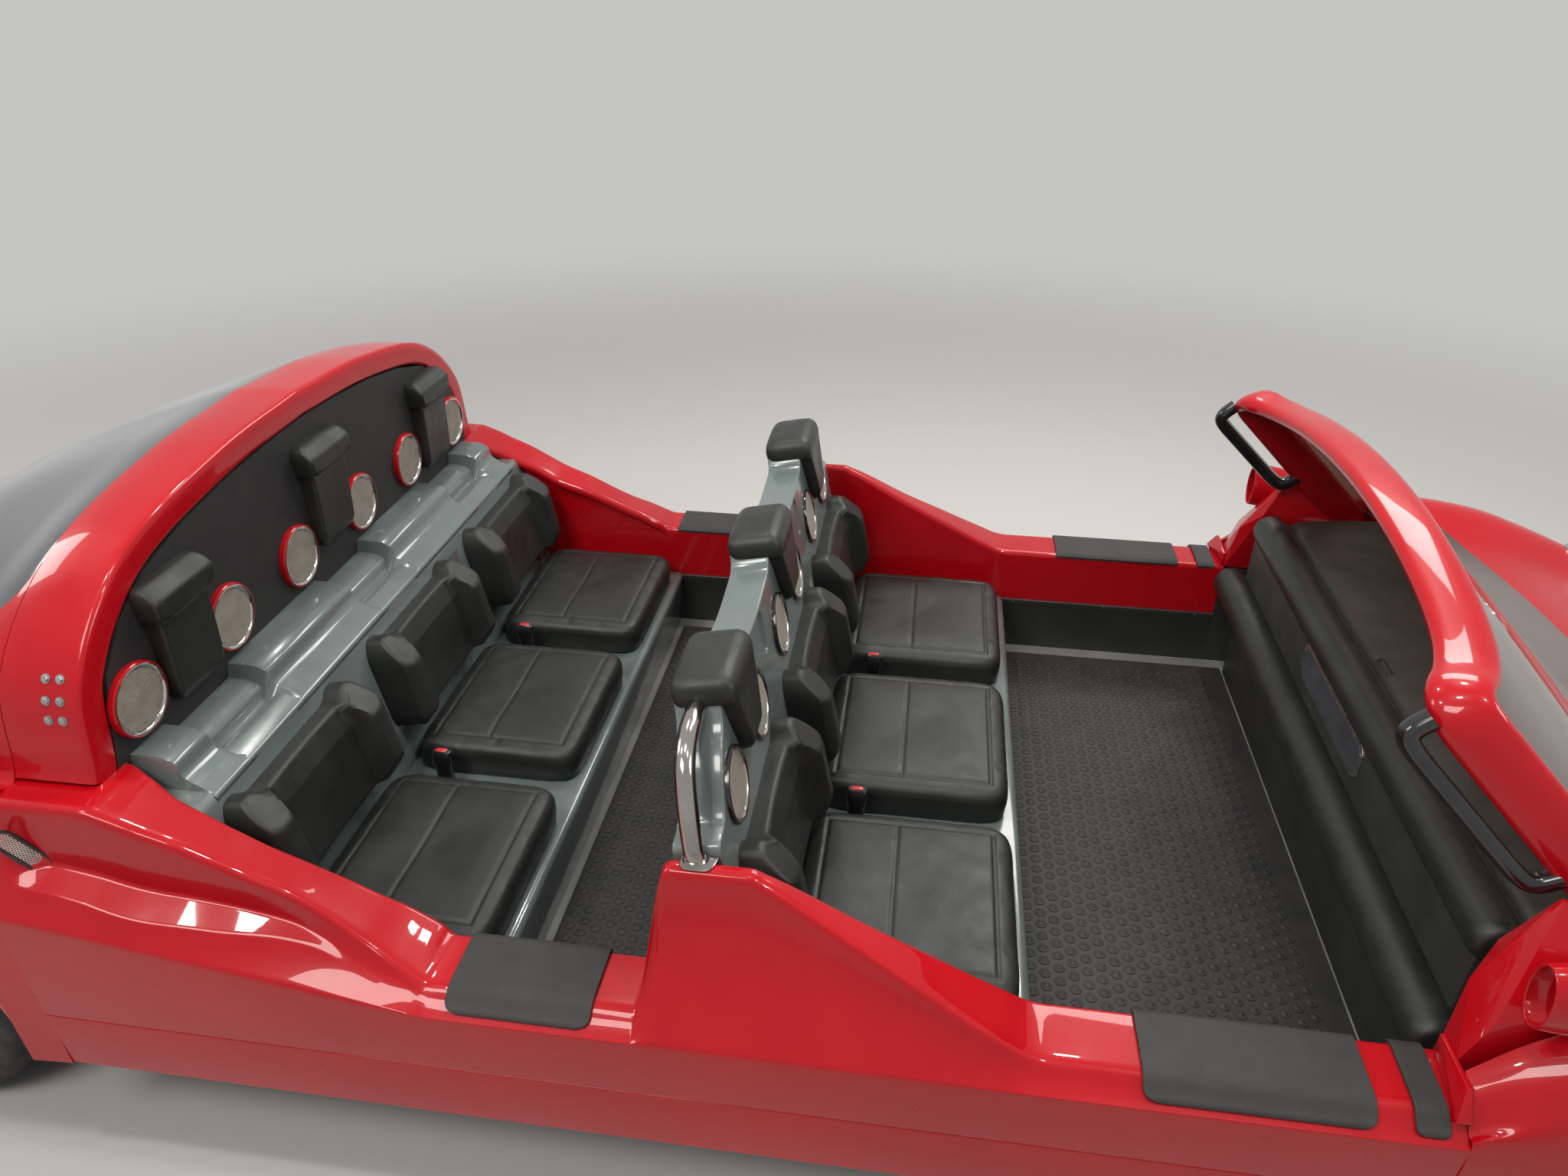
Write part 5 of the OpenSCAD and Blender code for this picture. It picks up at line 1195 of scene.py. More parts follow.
def hulled(name, boxes, material, edge):
    """The tight skin round some small boxes, each a low corner and a size, with its edges rounded."""
    shape = bmesh.new()
    for low, size in boxes:
        for k in range(8):
            shape.verts.new([(low[i] + size[i] * ((k >> i) & 1)) * MM for i in range(3)])
    result = bmesh.ops.convex_hull(shape, input=shape.verts)
    inner = [v for v in result["geom_interior"] + result["geom_unused"] if isinstance(v, bmesh.types.BMVert)]
    bmesh.ops.delete(shape, geom=list(set(inner)), context="VERTS")
    bmesh.ops.dissolve_limit(shape, angle_limit=math.radians(3), verts=shape.verts, edges=shape.edges)
    mesh = bpy.data.meshes.new(name)
    shape.to_mesh(mesh)
    shape.free()
    mesh.materials.append(material)
    return soften(mend(placed(name, mesh)), edge, 3, 12)


# Low corner and size of the small boxes that a block's skin is drawn round, on the left side of the car
PILLAR_BLOCK = [
    ((SIDE_FRONT, CABIN_HALF + 2, SILL_Z + 0.3), (1, BASE_OUT - CABIN_HALF - 2, 40)),
    ((DASH_X - 29, CABIN_HALF - 18, 698), (4, 4, 2)), ((DASH_X - 15, BASE_OUT - 4, 682), (4, 4, 4)),
    ((DASH_X + 12, CABIN_HALF - 54, 752), (4, 4, 4)), ((DASH_X + 61, CABIN_HALF - 40, 862), (4, 8, 4)),
    ((1560, CABIN_HALF - 34, 700), (30, 30, 62)), ((1560, BASE_OUT - 10, 700), (30, 10, 52)),
    ((1500, CABIN_HALF + 2, SILL_Z), (30, BASE_OUT - CABIN_HALF - 2, 10))]
SILL_BLOCK = [
    ((SIDE_FRONT - 8, CABIN_HALF + 8, SILL_Z + 0.3), (7.7, 20, 40)),
    ((SIDE_FRONT - 22, 950, SILL_Z + 0.3), (21.7, 12, 2)), ((SIDE_FRONT - 8, 924, SILL_Z + 44), (7.7, 8, 2))]
for side, sign in SIDES:
    blocks = []
    for boxes, edge in ((PILLAR_BLOCK, 5), (SILL_BLOCK, 2)):
        boxes = [((x, y if sign > 0 else -y - size[1], z), size) for (x, y, z), size in boxes]
        blocks.append(hulled("block", boxes, red_gloss, edge))
    hang(joined(f"pillar_base_{side}", blocks), CAR, ["pillar_bases"])

# Grab handles: glossy black arches screwed to the pillars' rear edges, oval in section where a hand closes.
# Each is moulded in one piece, and its feet run into the pillar.
HANDLE_D = 34.0
gloss_black = new_finish("handle_plastic", (0.012, 0.012, 0.013), 0.14, coat=0.5)
blotch(gloss_black, 20.0, (0.008, 0.008, 0.009), (0.018, 0.018, 0.019))
uneven_gloss(gloss_black, 60.0, 0.1, 0.24)
relief(gloss_black, 600.0, 0.03)


def eased_path(points, reach, steps=8):
    """A run of straight lengths with each corner bent to a curve."""
    points = [np.array(p, float) for p in points]
    made = [points[0]]
    for before, p, after in zip(points, points[1:], points[2:]):
        a = p + (before - p) * min(0.5, reach / np.linalg.norm(before - p))
        b = p + (after - p) * min(0.5, reach / np.linalg.norm(after - p))
        made += curve(a, p, b, steps + 1)
    made.append(points[-1])
    thinned = [made[0]]
    for p in made[1:]:
        if np.linalg.norm(p - thinned[-1]) > 1.0:
            thinned.append(p)
    return thinned


grip_out = -(22 + HANDLE_D / 2) * PILLAR_BROAD
pillar_rear = -HEADER_W / 2 * PILLAR_BROAD
grip_top = pillar_point(0.03) + pillar_rear
grip_low = pillar_point(0.56) + pillar_rear
grip_points = [
    grip_top - grip_out * 0.3, grip_top + grip_out * 0.75, grip_top + grip_out + np.array([12, 6, -14]),
    grip_low + grip_out + np.array([-12, -2, 12]), grip_low + grip_out * 0.85 + np.array([10, 0, -6]),
    grip_low - grip_out * 0.3 + np.array([12, 4, -12])]
for side, sign in SIDES:
    path = [p * np.array([1, sign, 1]) for p in eased_path(grip_points, 34)]
    grip = swept(f"pillar_grip_{side}", path, [(0.3, sign, 0.2)], HANDLE_D, HANDLE_D - 3, gloss_black, 2.7)
    hang(grip, CAR, ["arch_handles"])

# Mirror pods: hollow red horns on the pillar bases, open to the rear over a rolled rim.
# The mirror glass is set back inside.
POD = np.array([DASH_X + 2, BASE_OUT + 27, 787.0])
POD_ROWS = [(0, 58, 34, 0), (40, 62, 38, 0), (110, 52, 36, 4), (190, 34, 28, 10), (270, 12, 12, 20)]
POD_WALL = 5.0
POD_DEPTH = 40.0
POD_LIP = 2.5
POD_TIP = 262.0
MIRROR_W = 65.0
MIRROR_H = 113.0
mirror_silver = new_finish("mirror_plate", (0.82, 0.84, 0.85), 0.03, metallic=1.0)
uneven_gloss(mirror_silver, 20.0, 0.02, 0.06)
blotch(mirror_silver, 5.0, (0.78, 0.8, 0.81), (0.86, 0.88, 0.89))


def pod_ring(ahead, shrink, sign, drawn=None):
    height, width, drop = (bent(POD_ROWS, c, max(ahead, 0)) for c in (1, 2, 3))
    x = POD[0] + (ahead if drawn is None else drawn)
    return [(x, sign * (POD[1] + (width - shrink) * c), POD[2] - drop + (height - shrink) * s)
            for c, s in directions(48)]


for side, sign in SIDES:
    rings = [pod_ring(POD_DEPTH, POD_WALL, sign), pod_ring(POD_DEPTH / 2, POD_WALL, sign),
             pod_ring(0, POD_WALL, sign, POD_LIP)]
    for a in np.linspace(0, math.pi, 7):
        rings.append(pod_ring(0, POD_WALL / 2 * (1 + math.cos(a)), sign, POD_LIP - POD_LIP * math.sin(a)))
    rings += [pod_ring(d, 0, sign) for d in np.linspace(8, POD_TIP, 32)]
    rings += [pod_ring(POD_TIP + 8, 12 * (1 - math.cos(a)), sign, POD_TIP + 8 * math.sin(a))
              for a in np.linspace(0.2, 1.5, 5)]
    hang(lofted(f"mirror_pod_{side}", rings, red_gloss, 60), CAR, ["mirror_pods"])
    outline = [(sign * (POD[1] + MIRROR_W / 2 * c), POD[2] + MIRROR_H / 2 * s) for c, s in directions(48)]
    glass = slab(f"mirror_glass_{side}", outline, POD[0] + 33, POD[0] + 38, "x", mirror_silver)
    hang(soften(glass, 1.5, 2), CAR, ["mirrors"])

# Dash: a charcoal panel and a top pad of coarse-grained vinyl over foam, with a groove where they meet.
# A blank dark plate with a silver rim sits between the knee rolls, held by four small screws.
DASH_HALF = CABIN_HALF - 70
FLOOR_TOP = 237.0
LOWER_ROLL = (DASH_X - 25, 530.0, 96.0, CABIN_HALF - 20)
UPPER_ROLL = (DASH_X + 30, 724.0, 88.0, CABIN_HALF - 62)
dash_charcoal = new_finish("dash_skin", (0.028, 0.029, 0.025), 0.5)
blotch(dash_charcoal, 6.0, (0.024, 0.025, 0.021), (0.033, 0.034, 0.03))
uneven_gloss(dash_charcoal, 16.0, 0.42, 0.6)
relief(dash_charcoal, 330.0, 0.35, detail=2.0, cells=True)
relief(dash_charcoal, 1100.0, 0.08)
panel_outline = [
    (DASH_X, FLOOR_TOP + 0.3), (DASH_X, 700), (DASH_X + 30, 745), (DASH_X + 78, 745), (DASH_X + 78, 690),
    (DASH_X + 40, 640), (DASH_X + 20, 600), (DASH_X + 20, FLOOR_TOP + 0.3)]
panel = slab("dash_front", panel_outline, -DASH_HALF, DASH_HALF, "y", dash_charcoal)
hang(soften(panel, 6, 3), CAR, ["dash_panel"])
TOP_REAR = DASH_X + 78.3
top_heights = [
    (TOP_REAR, 741.0), (TOP_REAR + 22, 755.0), (1480, 765.0), (1569, 771.0), (1640, 767.0), (1800, 711.0),
    (COWL_X, 671.0)]
TOP_EDGE_R = 9.0
pad_rows = []
for t in np.linspace(0, 1, 61):
    row = []
    for v in np.linspace(-1, 1, 61):
        s = 2.2 * abs(v)
        front_x = cowl_line(s) - 22
        front_y = min(DASH_HALF, nose_point(cowl_line(s), s)[1])
        x = TOP_REAR + (front_x - TOP_REAR) * t
        y = DASH_HALF * abs(v) * (1 - t) + front_y * t
        edge = max(0.0, 1 - (DASH_HALF - abs(y)) / 18) if t < 0.85 else 0.0
        rear = max(0.0, 1 - (x - TOP_REAR) / 14)
        z = bent(top_heights, 1, x) - TOP_EDGE_R * (rounding(min(1, edge)) + rounding(rear))
        row.append(np.array([x, math.copysign(y, v), z]))
    pad_rows.append(row)
top_pad = shell_piece("top_pad", pad_rows, 18, dash_charcoal, crisp=50)
TRAY_Y = 20.0
TRAY_HALF = 34.0
tray_outline = rectangle(TOP_REAR - 20, TOP_REAR + 26, TRAY_Y - TRAY_HALF, TRAY_Y + TRAY_HALF)
tray = soften(slab("cutter", tray_outline, 744, 790, "z", dash_charcoal), 5, 3)
hang(cut(top_pad, [tray]), CAR, ["dash_top"])

pad_black = new_finish("pad_skin", (0.017, 0.019, 0.017), 0.38)
surface_of(pad_black).inputs["Specular IOR Level"].default_value = 0.4
blotch(pad_black, 7.0, (0.014, 0.016, 0.014), (0.021, 0.023, 0.021))
uneven_gloss(pad_black, 22.0, 0.32, 0.5)
relief(pad_black, 620.0, 0.16, detail=2.0, cells=True)
relief(pad_black, 30.0, 0.5, 0.35)


def knee_roll(name, x, z, d, half):
    """A foam roll, full in the middle of its length, its ends turned in and its skin slightly uneven."""
    sections = []
    for t in np.linspace(-1, 1, 97):
        y = half * math.copysign(1 - (1 - abs(t)) ** 1.5, t)
        into = max(0.0, 1 - (half - abs(y)) / 26)
        uneven = 1 - 0.012 * (1 + math.sin(y / 57) * math.cos(y / 23))
        r = d / 2 * uneven - 16 * rounding(into)
        sections.append([(x + r * c, y, z + r * s) for c, s in directions(48)])
    return lofted(name, sections, pad_black, 50)


for level, (x, z, d, half) in (("lower", LOWER_ROLL), ("upper", UPPER_ROLL)):
    roll = knee_roll(f"knee_roll_{level}", x, z, d, half)
    hang(roll, CAR, ["knee_rolls"])

PLATE_Y = (-214.0, 210.0)
PLATE_Z = (603.0, 695.0)
plate_face = new_finish("plate_face", (0.05, 0.052, 0.06), 0.3, coat=0.3)
blotch(plate_face, 12.0, (0.04, 0.042, 0.05), (0.062, 0.064, 0.072))
uneven_gloss(plate_face, 40.0, 0.22, 0.42)


def plate_outline(inset):
    a, b = PLATE_Y[0] + inset, PLATE_Y[1] - inset
    low, high = PLATE_Z[0] + inset, PLATE_Z[1] - inset
    corners = [(a, low + 20), (a + 34, low), (b - 34, low), (b, low + 20), (b, high - 14), (b - 16, high),
               (a + 16, high), (a, high - 14)]
    return rounded(corners, [6] * len(corners), 3)


PLATE_FRONT = DASH_X - 3.2
plate_parts = [soften(slab("back", plate_outline(0), PLATE_FRONT, DASH_X + 0.5, "x", plate_steel), 1.2, 2)]
screw_profile = [(4.2, -1), (4.2, 0.8), (2.6, 1.6), (0, 1.8)]
for y in (PLATE_Y[0] + 12, PLATE_Y[1] - 12):
    for z in (PLATE_Z[0] + 30, PLATE_Z[1] - 22):
        plate_parts.append(turned("screw", screw_profile, (PLATE_FRONT, y, z), (-1, 0, 0), plate_steel, 16))
hang(joined("blank_plate_rim", plate_parts), CAR)
blank_face = slab("blank_plate_face", plate_outline(7), DASH_X - 4.0, DASH_X - 2.8, "x", plate_face)
hang(soften(blank_face, 0.4, 1), CAR)

# Kick panels: thin black moulded boards that close each side from the body down to the floor pan.
# A raised lip runs along the top of each, with a row of round-headed screws through it.
KICK_IN = CABIN_HALF - 4.8
KICK_OUT = CABIN_HALF - 0.7
KICK_LOW_Z = FLOOR_TOP + 0.4
KICK_LIP_Z = 402.0
KICK_SECTION = [
    (KICK_IN, KICK_LOW_Z), (KICK_IN, 384), (KICK_IN - 2, 387), (KICK_IN - 2, KICK_LIP_Z - 2),
    (KICK_IN, KICK_LIP_Z), (KICK_OUT, KICK_LIP_Z), (KICK_OUT, KICK_LOW_Z)]
end_outline = rectangle(SIDE_FRONT, DASH_X + 58, KICK_LOW_Z, SILL_Z - 4)
screw_profile = [(6, 0), (5.4, 1.6), (3.6, 2.6), (0, 3)]
kick_parts = []
for sign in (1, -1):
    sections = [[(x, sign * y, z) for y, z in KICK_SECTION] for x in (BULKHEAD_X + 1, SIDE_FRONT)]
    kick_parts.append(lofted("board", sections, dash_charcoal, 30))
    low, high = sorted((sign * KICK_IN, sign * KICK_OUT))
    kick_parts.append(slab("end_board", end_outline, low, high, "y", dash_charcoal))
    for x in np.linspace(BULKHEAD_X + 60, SIDE_FRONT - 50, 9):
        place = (x, sign * (KICK_IN - 2), KICK_LIP_Z - 9)
        kick_parts.append(turned("screw", screw_profile, place, (0, -sign, 0), dash_charcoal, 16))
hang(joined("kick_panels", kick_parts), CAR)

# Front seat shell: one grey moulding for three seats, its back with a horn under each headrest.
# The gelcoat is glossy, every edge has a full radius, and shallow dishes stiffen the panel between the seats.
SEAT_Z = 410.0
BACK_LEAN = math.radians(11)
FRONT_FOOT = 162.0
FRONT_PITCH = 540.0
SEAT_NUMBERS = (-1, 0, 1)
SEAT_NAMES = {-1: "right", 0: "middle", 1: "left"}
BACK_T = 85.0
BACK_HALF = CABIN_HALF - 6
HORN_TOP = 598.0
HEADREST_HALF = 88.0
SPEAKER_D = 142.0
FRONT_SPEAKER = (120.0, 428.0)
shell_grey = new_finish("seat_shell", (0.13, 0.16, 0.155), 0.22, coat=0.5)
blotch(shell_grey, 5.0, (0.12, 0.149, 0.144), (0.14, 0.171, 0.166))
uneven_gloss(shell_grey, 18.0, 0.14, 0.28)
relief(shell_grey, 24.0, 0.35, 0.3)


def leaned(foot, x, y, z):
    return np.array([foot + x * math.cos(BACK_LEAN) - z * math.sin(BACK_LEAN), y,
                     SEAT_Z + x * math.sin(BACK_LEAN) + z * math.cos(BACK_LEAN)])


def shifted(obj, x, y, z):
    obj.data.transform(Matrix.Translation(Vector((x, y, z)) * MM))
    return obj


def lean_back(obj, foot, y=0.0):
    """Moves a piece from a seat's own coordinates to its place in the car."""
    obj.data.transform(Matrix.Rotation(-BACK_LEAN, 4, "Y"))
    return shifted(obj, foot, y, SEAT_Z)


HORN_HALF = HEADREST_HALF - 3
horn_in, horn_out = FRONT_PITCH - HORN_HALF, FRONT_PITCH + HORN_HALF
back_half_outline = [
    (HORN_HALF, HORN_TOP), (HORN_HALF + 18, 562), (FRONT_PITCH / 2, 550), (horn_in - 18, 562),
    (horn_in, HORN_TOP), (horn_out, HORN_TOP), (horn_out + 16, 546), (700, 510), (748, 440), (764, 428),
    (BACK_HALF, 424), (BACK_HALF, 24)]
back_reach = [14, 30, 60, 30, 14, 24, 30, 40, 30, 12, 16, 6]
back_outline = rounded(back_half_outline + [(-a, b) for a, b in reversed(back_half_outline)],
                       back_reach + back_reach[::-1], 5)
front_back = soften(slab("front_back", back_outline, -BACK_T, 0, "x", shell_grey), 13, 4, 40, 40)
speaker_hole = [(0, -6), (SPEAKER_D / 2 + 0.3, -6), (SPEAKER_D / 2 + 0.3, 30), (0, 30)]


def beside_seats(pitch, out, up):
    """Places on both sides of each seat of a row, as (across, up)."""
    return [(k * pitch + s * out, up) for k in SEAT_NUMBERS for s in (-1, 1)]


hollows = []
for y, z in beside_seats(FRONT_PITCH, *FRONT_SPEAKER):
    hollows.append(turned("cutter", speaker_hole, (0, y, z), (1, 0, 0), shell_grey, 64))
DISH_TOP = (520.0, 26.0)
DISH_FOOT = (462.0, 12.0)
for sign in (-1, 1):
    rings = []
    for depth, grow in ((8, 6), (0, 0), (-3, -3), (-6, -7), (-8, -11)):
        ring = []
        for c, s in directions(40):
            height, radius = DISH_TOP if s > 0 else DISH_FOOT
            radius = max(radius + grow, 1)
            ring.append((depth, sign * FRONT_PITCH / 2 + radius * c, height + radius * s))
        rings.append(ring)
    hollows.append(lofted("cutter", rings, shell_grey, 60))
cut(front_back, hollows)
lean_back(front_back, FRONT_FOOT)
FRONT_SHELL_BACK = FRONT_FOOT - BACK_T - 12
FRONT_BASE_FRONT = FRONT_FOOT + 440 + 38
base_corners = [
    (FRONT_SHELL_BACK, FLOOR_TOP + 0.3), (FRONT_SHELL_BACK, SEAT_Z - 20), (FRONT_FOOT - BACK_T, SEAT_Z + 16),
    (FRONT_FOOT - 6, SEAT_Z + 30), (FRONT_FOOT, SEAT_Z), (FRONT_BASE_FRONT - 10, SEAT_Z),
    (FRONT_BASE_FRONT, SEAT_Z - 10), (FRONT_BASE_FRONT - 12, FLOOR_TOP + 0.3)]
base_outline = rounded(base_corners, [0, 16, 10, 4, 0, 10, 10, 0])
front_base = soften(slab("front_base", base_outline, -BACK_HALF, BACK_HALF, "y", shell_grey), 3, 3, 40)
hang(joined("front_shell", [front_back, front_base]), CAR, ["front_seat_shell"])

# Rear seat shell: the same moulding against the bulkhead, with raised ledges between the headrests.
# The ledges' ends slope down to the hollows that clear the headrests' feet.
REAR_FOOT = -792.0
REAR_PITCH = 553.0
LEDGE_Z = 840.0
LEDGE_X = BULKHEAD_X + 84
BACK_TOP_Z = 770.0
REAR_BASE_FRONT = REAR_FOOT + 400 + 32
back_top_x = REAR_FOOT - math.tan(BACK_LEAN) * (BACK_TOP_Z - SEAT_Z)
SHELL_REAR_X = BULKHEAD_X + 0.3
rear_corners = [
    (SHELL_REAR_X, FLOOR_TOP + 0.3), (SHELL_REAR_X, BACK_TOP_Z + 4), (back_top_x, BACK_TOP_Z),
    (REAR_FOOT, SEAT_Z), (REAR_BASE_FRONT - 10, SEAT_Z), (REAR_BASE_FRONT, SEAT_Z - 10),
    (REAR_BASE_FRONT - 12, FLOOR_TOP + 0.3)]
rear_outline = rounded(rear_corners, [0, 0, 18, 0, 10, 10, 0])
rear_base = slab("rear_base", rear_outline, -BACK_HALF, BACK_HALF, "y", shell_grey)
rear_parts = [soften(rear_base, 3, 3, 40)]


def ledge(name, low, high, top, reach_x, slope_low, slope_high):
    """A raised ledge whose ends slope down over their last few centimetres."""
    full = [(SHELL_REAR_X, BACK_TOP_Z - 30), (SHELL_REAR_X, top), (reach_x - 26, top), (reach_x, top - 12),
            (reach_x + 6, top - 44), (reach_x + 34, BACK_TOP_Z + 12), (back_top_x + 2, BACK_TOP_Z - 4),
            (back_top_x + 4, BACK_TOP_Z - 30)]
    flat = [(x - (6 if 0 < k < 6 else 0), min(z, BACK_TOP_Z - 2)) for k, (x, z) in enumerate(full)]
    reach = [0, 0, 14, 8, 14, 10, 6, 0]
    rise = ((0, 0), (0.15, 0.04), (0.85, 0.96), (1, 1))
    stations = [(low + slope_low * along, t) for along, t in rise]
    stations += [(high - slope_high * along, t) for along, t in reversed(rise)]
    sections = []
    for y, t in stations:
        pairs = zip(rounded(flat, reach), rounded(full, reach))
        sections.append([(a[0] * (1 - t) + b[0] * t, y, a[1] * (1 - t) + b[1] * t) for a, b in pairs])
    return lofted(name, sections, shell_grey, 30)


LEDGE_END = CABIN_HALF - 63
LEDGE_GAP = 74.0
rear_parts.append(ledge("low_ledge", -LEDGE_END, LEDGE_END, LEDGE_Z - 30, LEDGE_X - 14, 10, 10))
ledge_spans = [(-LEDGE_END, -REAR_PITCH - LEDGE_GAP), (-REAR_PITCH + LEDGE_GAP, -LEDGE_GAP),
               (LEDGE_GAP, REAR_PITCH - LEDGE_GAP), (REAR_PITCH + LEDGE_GAP, LEDGE_END)]
for low, high in ledge_spans:
    slopes = (34 if low > -LEDGE_END else 6, 34 if high < LEDGE_END else 6)
    rear_parts.append(ledge("high_ledge", low, high, LEDGE_Z, LEDGE_X, *slopes))
hang(joined("rear_shell", rear_parts), CAR, ["rear_seat_shell"])

# Seat cushions: moulded foam under a black skin, crowned, with a pressed channel round the top and one
# across it. They lie loose in the shells on hook tape.
CUSHION_HALF = 235.0
CUSHION_FACES_KEPT = 0.2
CHANNEL_IN = 46.0
OFF_THE_TOP = 999.0


def oval_ring(a, b, x0, y0, z, fullness, count):
    return [(x0 + x, y0 + y, z) for x, y in oval(a, b, fullness, count)]


def puffed(obj, most):
    """Swells a pad with a short pressure simulation, no point moving further than most millimetres."""
    voxels = obj.modifiers.new("Voxels", "REMESH")
    voxels.mode = "VOXEL"
    voxels.voxel_size = 6 * MM
    settle(obj, 180)
    rest = np.array([v.co for v in obj.data.vertices])
    cloth = obj.modifiers.new("Skin", "CLOTH")
    cloth.settings.use_pressure = True
    cloth.settings.uniform_pressure_force = 4
    cloth.settings.effector_weights.gravity = 0
    cloth.point_cache.frame_start = 1
    cloth.point_cache.frame_end = 20
    for step in range(1, 21):
        bpy.context.scene.frame_set(step)
    swollen = obj.evaluated_get(bpy.context.evaluated_depsgraph_get()).data
    moved = np.array([v.co for v in swollen.vertices]) - rest
    reach = np.linalg.norm(moved, axis=1, keepdims=True)
    moved *= np.minimum(1.0, most * MM / np.maximum(reach, 1e-9))
    moved[rest[:, 2] < rest[:, 2].min() + 8 * MM] *= 0.0
    obj.modifiers.clear()
    bpy.context.scene.frame_set(1)
    obj.data.vertices.foreach_set("co", (rest + moved).ravel())
    fine = obj.modifiers.new("Fine", "SUBSURF")
    fine.levels = 1
    return settle(obj, 180)


def pressed_channel(obj, off_line, depth, width):
    """Draws the skin in along a line. off_line gives a point's distance from it in millimetres."""
    normals = [tuple(v.normal) for v in obj.data.vertices]
    for v, n in zip(obj.data.vertices, normals):
        off = off_line(v.co / MM)
        if off < width * 3:
            v.co -= Vector(n) * depth * MM * math.exp(-((off / width) ** 2))
    obj.data.update()


def cushion(name, back_x, length):
    a, b = length / 2, CUSHION_HALF
    x0 = back_x + a
    rings = [oval_ring(a * f, b * f, x0, 0, SEAT_Z + 0.3, 5, 120) for f in (0.3, 0.6, 0.8, 0.9)]
    wall = ((14, 0.3), (8, 2), (4, 8), (1.5, 18), (0, 32), (0, 46), (1, 58), (4, 68), (9, 75), (16, 80))
    for inset, z in wall:
        rings.append(oval_ring(a - inset, b - inset, x0, 0, SEAT_Z + z, 9, 120))
    for t in np.linspace(0.12, 1, 26):
        z = SEAT_Z + 80 + 9.5 * math.sin(math.pi / 2 * min(1, t * 1.9)) - 7 * t * t
        share = 1 - t * 0.96
        rings.append(oval_ring((a - 16) * share, (b - 16) * share, x0, 0, z, 9 - 6.5 * t, 120))
    obj = puffed(lofted(name, rings, pad_black, 60), 4)
    obj.data.materials.clear()
    obj.data.materials.append(pad_black)

    def from_edge(c):
        return min(a - abs(c[0] - x0), b - abs(c[1]))

    def off_edge_line(c):
        return abs(from_edge(c) - CHANNEL_IN) if c[2] >= SEAT_Z + 60 else OFF_THE_TOP

    def off_cross_line(c):
        inside = from_edge(c) > CHANNEL_IN and c[2] > SEAT_Z + 60
        return abs(c[0] - x0 + a * 0.12) if inside else OFF_THE_TOP

    pressed_channel(obj, off_edge_line, 3.2, 4.5)
    pressed_channel(obj, off_cross_line, 2.6, 4.5)
    thinned = obj.modifiers.new("Thinned", "DECIMATE")
    thinned.ratio = CUSHION_FACES_KEPT
    return settle(obj, 180)


SEAT_ROWS = (("front", FRONT_FOOT, FRONT_PITCH), ("rear", REAR_FOOT, REAR_PITCH))
CUSHION_LENGTHS = {"front": 440.0, "rear": 400.0}
for row, foot, pitch in SEAT_ROWS:
    first = cushion(f"cushion_{row}_middle", foot + 14, CUSHION_LENGTHS[row])
    for k in SEAT_NUMBERS:
        pad = first
        if k:
            pad = placed(f"cushion_{row}_{SEAT_NAMES[k]}", first.data.copy())
            shifted(pad, 0, k * pitch, 0)
        hang(pad, CAR, ["seat_cushions"])

# Backrests: low pads with a bolster at each side, cut off in flat facets that meet in crisp creases.
# Moulded foam under the same black skin, screwed on from behind.
REST_FOOT = 106.0
REST_TOP = REST_FOOT + 235.0
PAD_BACK = 0.3
right_half = [(220, REST_FOOT + 26), (220, REST_TOP - 56), (214, REST_TOP - 26), (198, REST_TOP),
              (168, REST_TOP), (146, REST_TOP - 22)]
rest_corners = [(-208, REST_FOOT), (208, REST_FOOT)] + right_half + [(-y, z) for y, z in reversed(right_half)]
rest_outline = rounded(rest_corners, [16, 16, 14, 16, 16, 12, 12, 18, 18, 12, 12, 16, 16, 14])


def soft_least(values, blend):
    """The least of some heights, with the crease between them rounded over a blend."""
    values = np.array(values)
    low = values.min()
    return low - blend * math.log(np.exp(-(values - low) / blend).sum()) + blend * 0.3


def rest_height(y, z):
    side = abs(y)
    middle = 49 + 6 * (side / 150) ** 2 - max(0, z - (REST_TOP - 75)) * 0.28
    wing = soft_least([96, 55 + (side - 138) * 1.9, 96 - (z - (REST_TOP - 72)) * 0.78,
                       72 + (z - REST_FOOT) * 0.7, 96 - (side - 196) * 0.5], 1.3)
    return max(middle, wing) + 0.8 * math.exp(-((wing - middle) / 4) ** 2)


def relief_pad(name, outline, height, edge, rings):
    """A pad whose front follows a height over its outline, given as (across, up), with its edge rounded."""
    outline = [np.array(q, float) for q in outline]
    spread = []
    for a, b in zip(outline, outline[1:] + outline[:1]):
        steps = max(1, int(np.linalg.norm(b - a) / 7))
        spread += [a + (b - a) * k / steps for k in range(steps)]
    centre = sum(spread) / len(spread)
    inward = []
    for before, after in zip(spread[-1:] + spread[:-1], spread[1:] + spread[:1]):
        run = after - before
        inward.append(np.array([-run[1], run[0]]) / max(np.linalg.norm(run), 1e-6))

    def front(p):
        return max(height(p[0], p[1]), PAD_BACK + edge + 1)

    sections = [[(PAD_BACK, q[0], q[1]) for q in spread]]
    for a in np.linspace(0, math.pi / 2, 6):
        ring = [q + n * edge * (1 - math.cos(a)) for q, n in zip(spread, inward)]
        sections.append([(front(p) - edge + edge * math.sin(a), p[0], p[1]) for p in ring])
    for t in np.linspace(0, 1, rings)[1:]:
        ring = [(q + n * edge) * (1 - t * 0.985) + centre * t * 0.985 for q, n in zip(spread, inward)]
        sections.append([(front(p), p[0], p[1]) for p in ring])
    return lofted(name, sections, pad_black, 50)


for row, foot, pitch in SEAT_ROWS:
    for k in SEAT_NUMBERS:
        rest = relief_pad(f"backrest_{row}_{SEAT_NAMES[k]}", rest_outline, rest_height, 9, 40)
        hang(lean_back(rest, foot, k * pitch), CAR, ["backrests"])

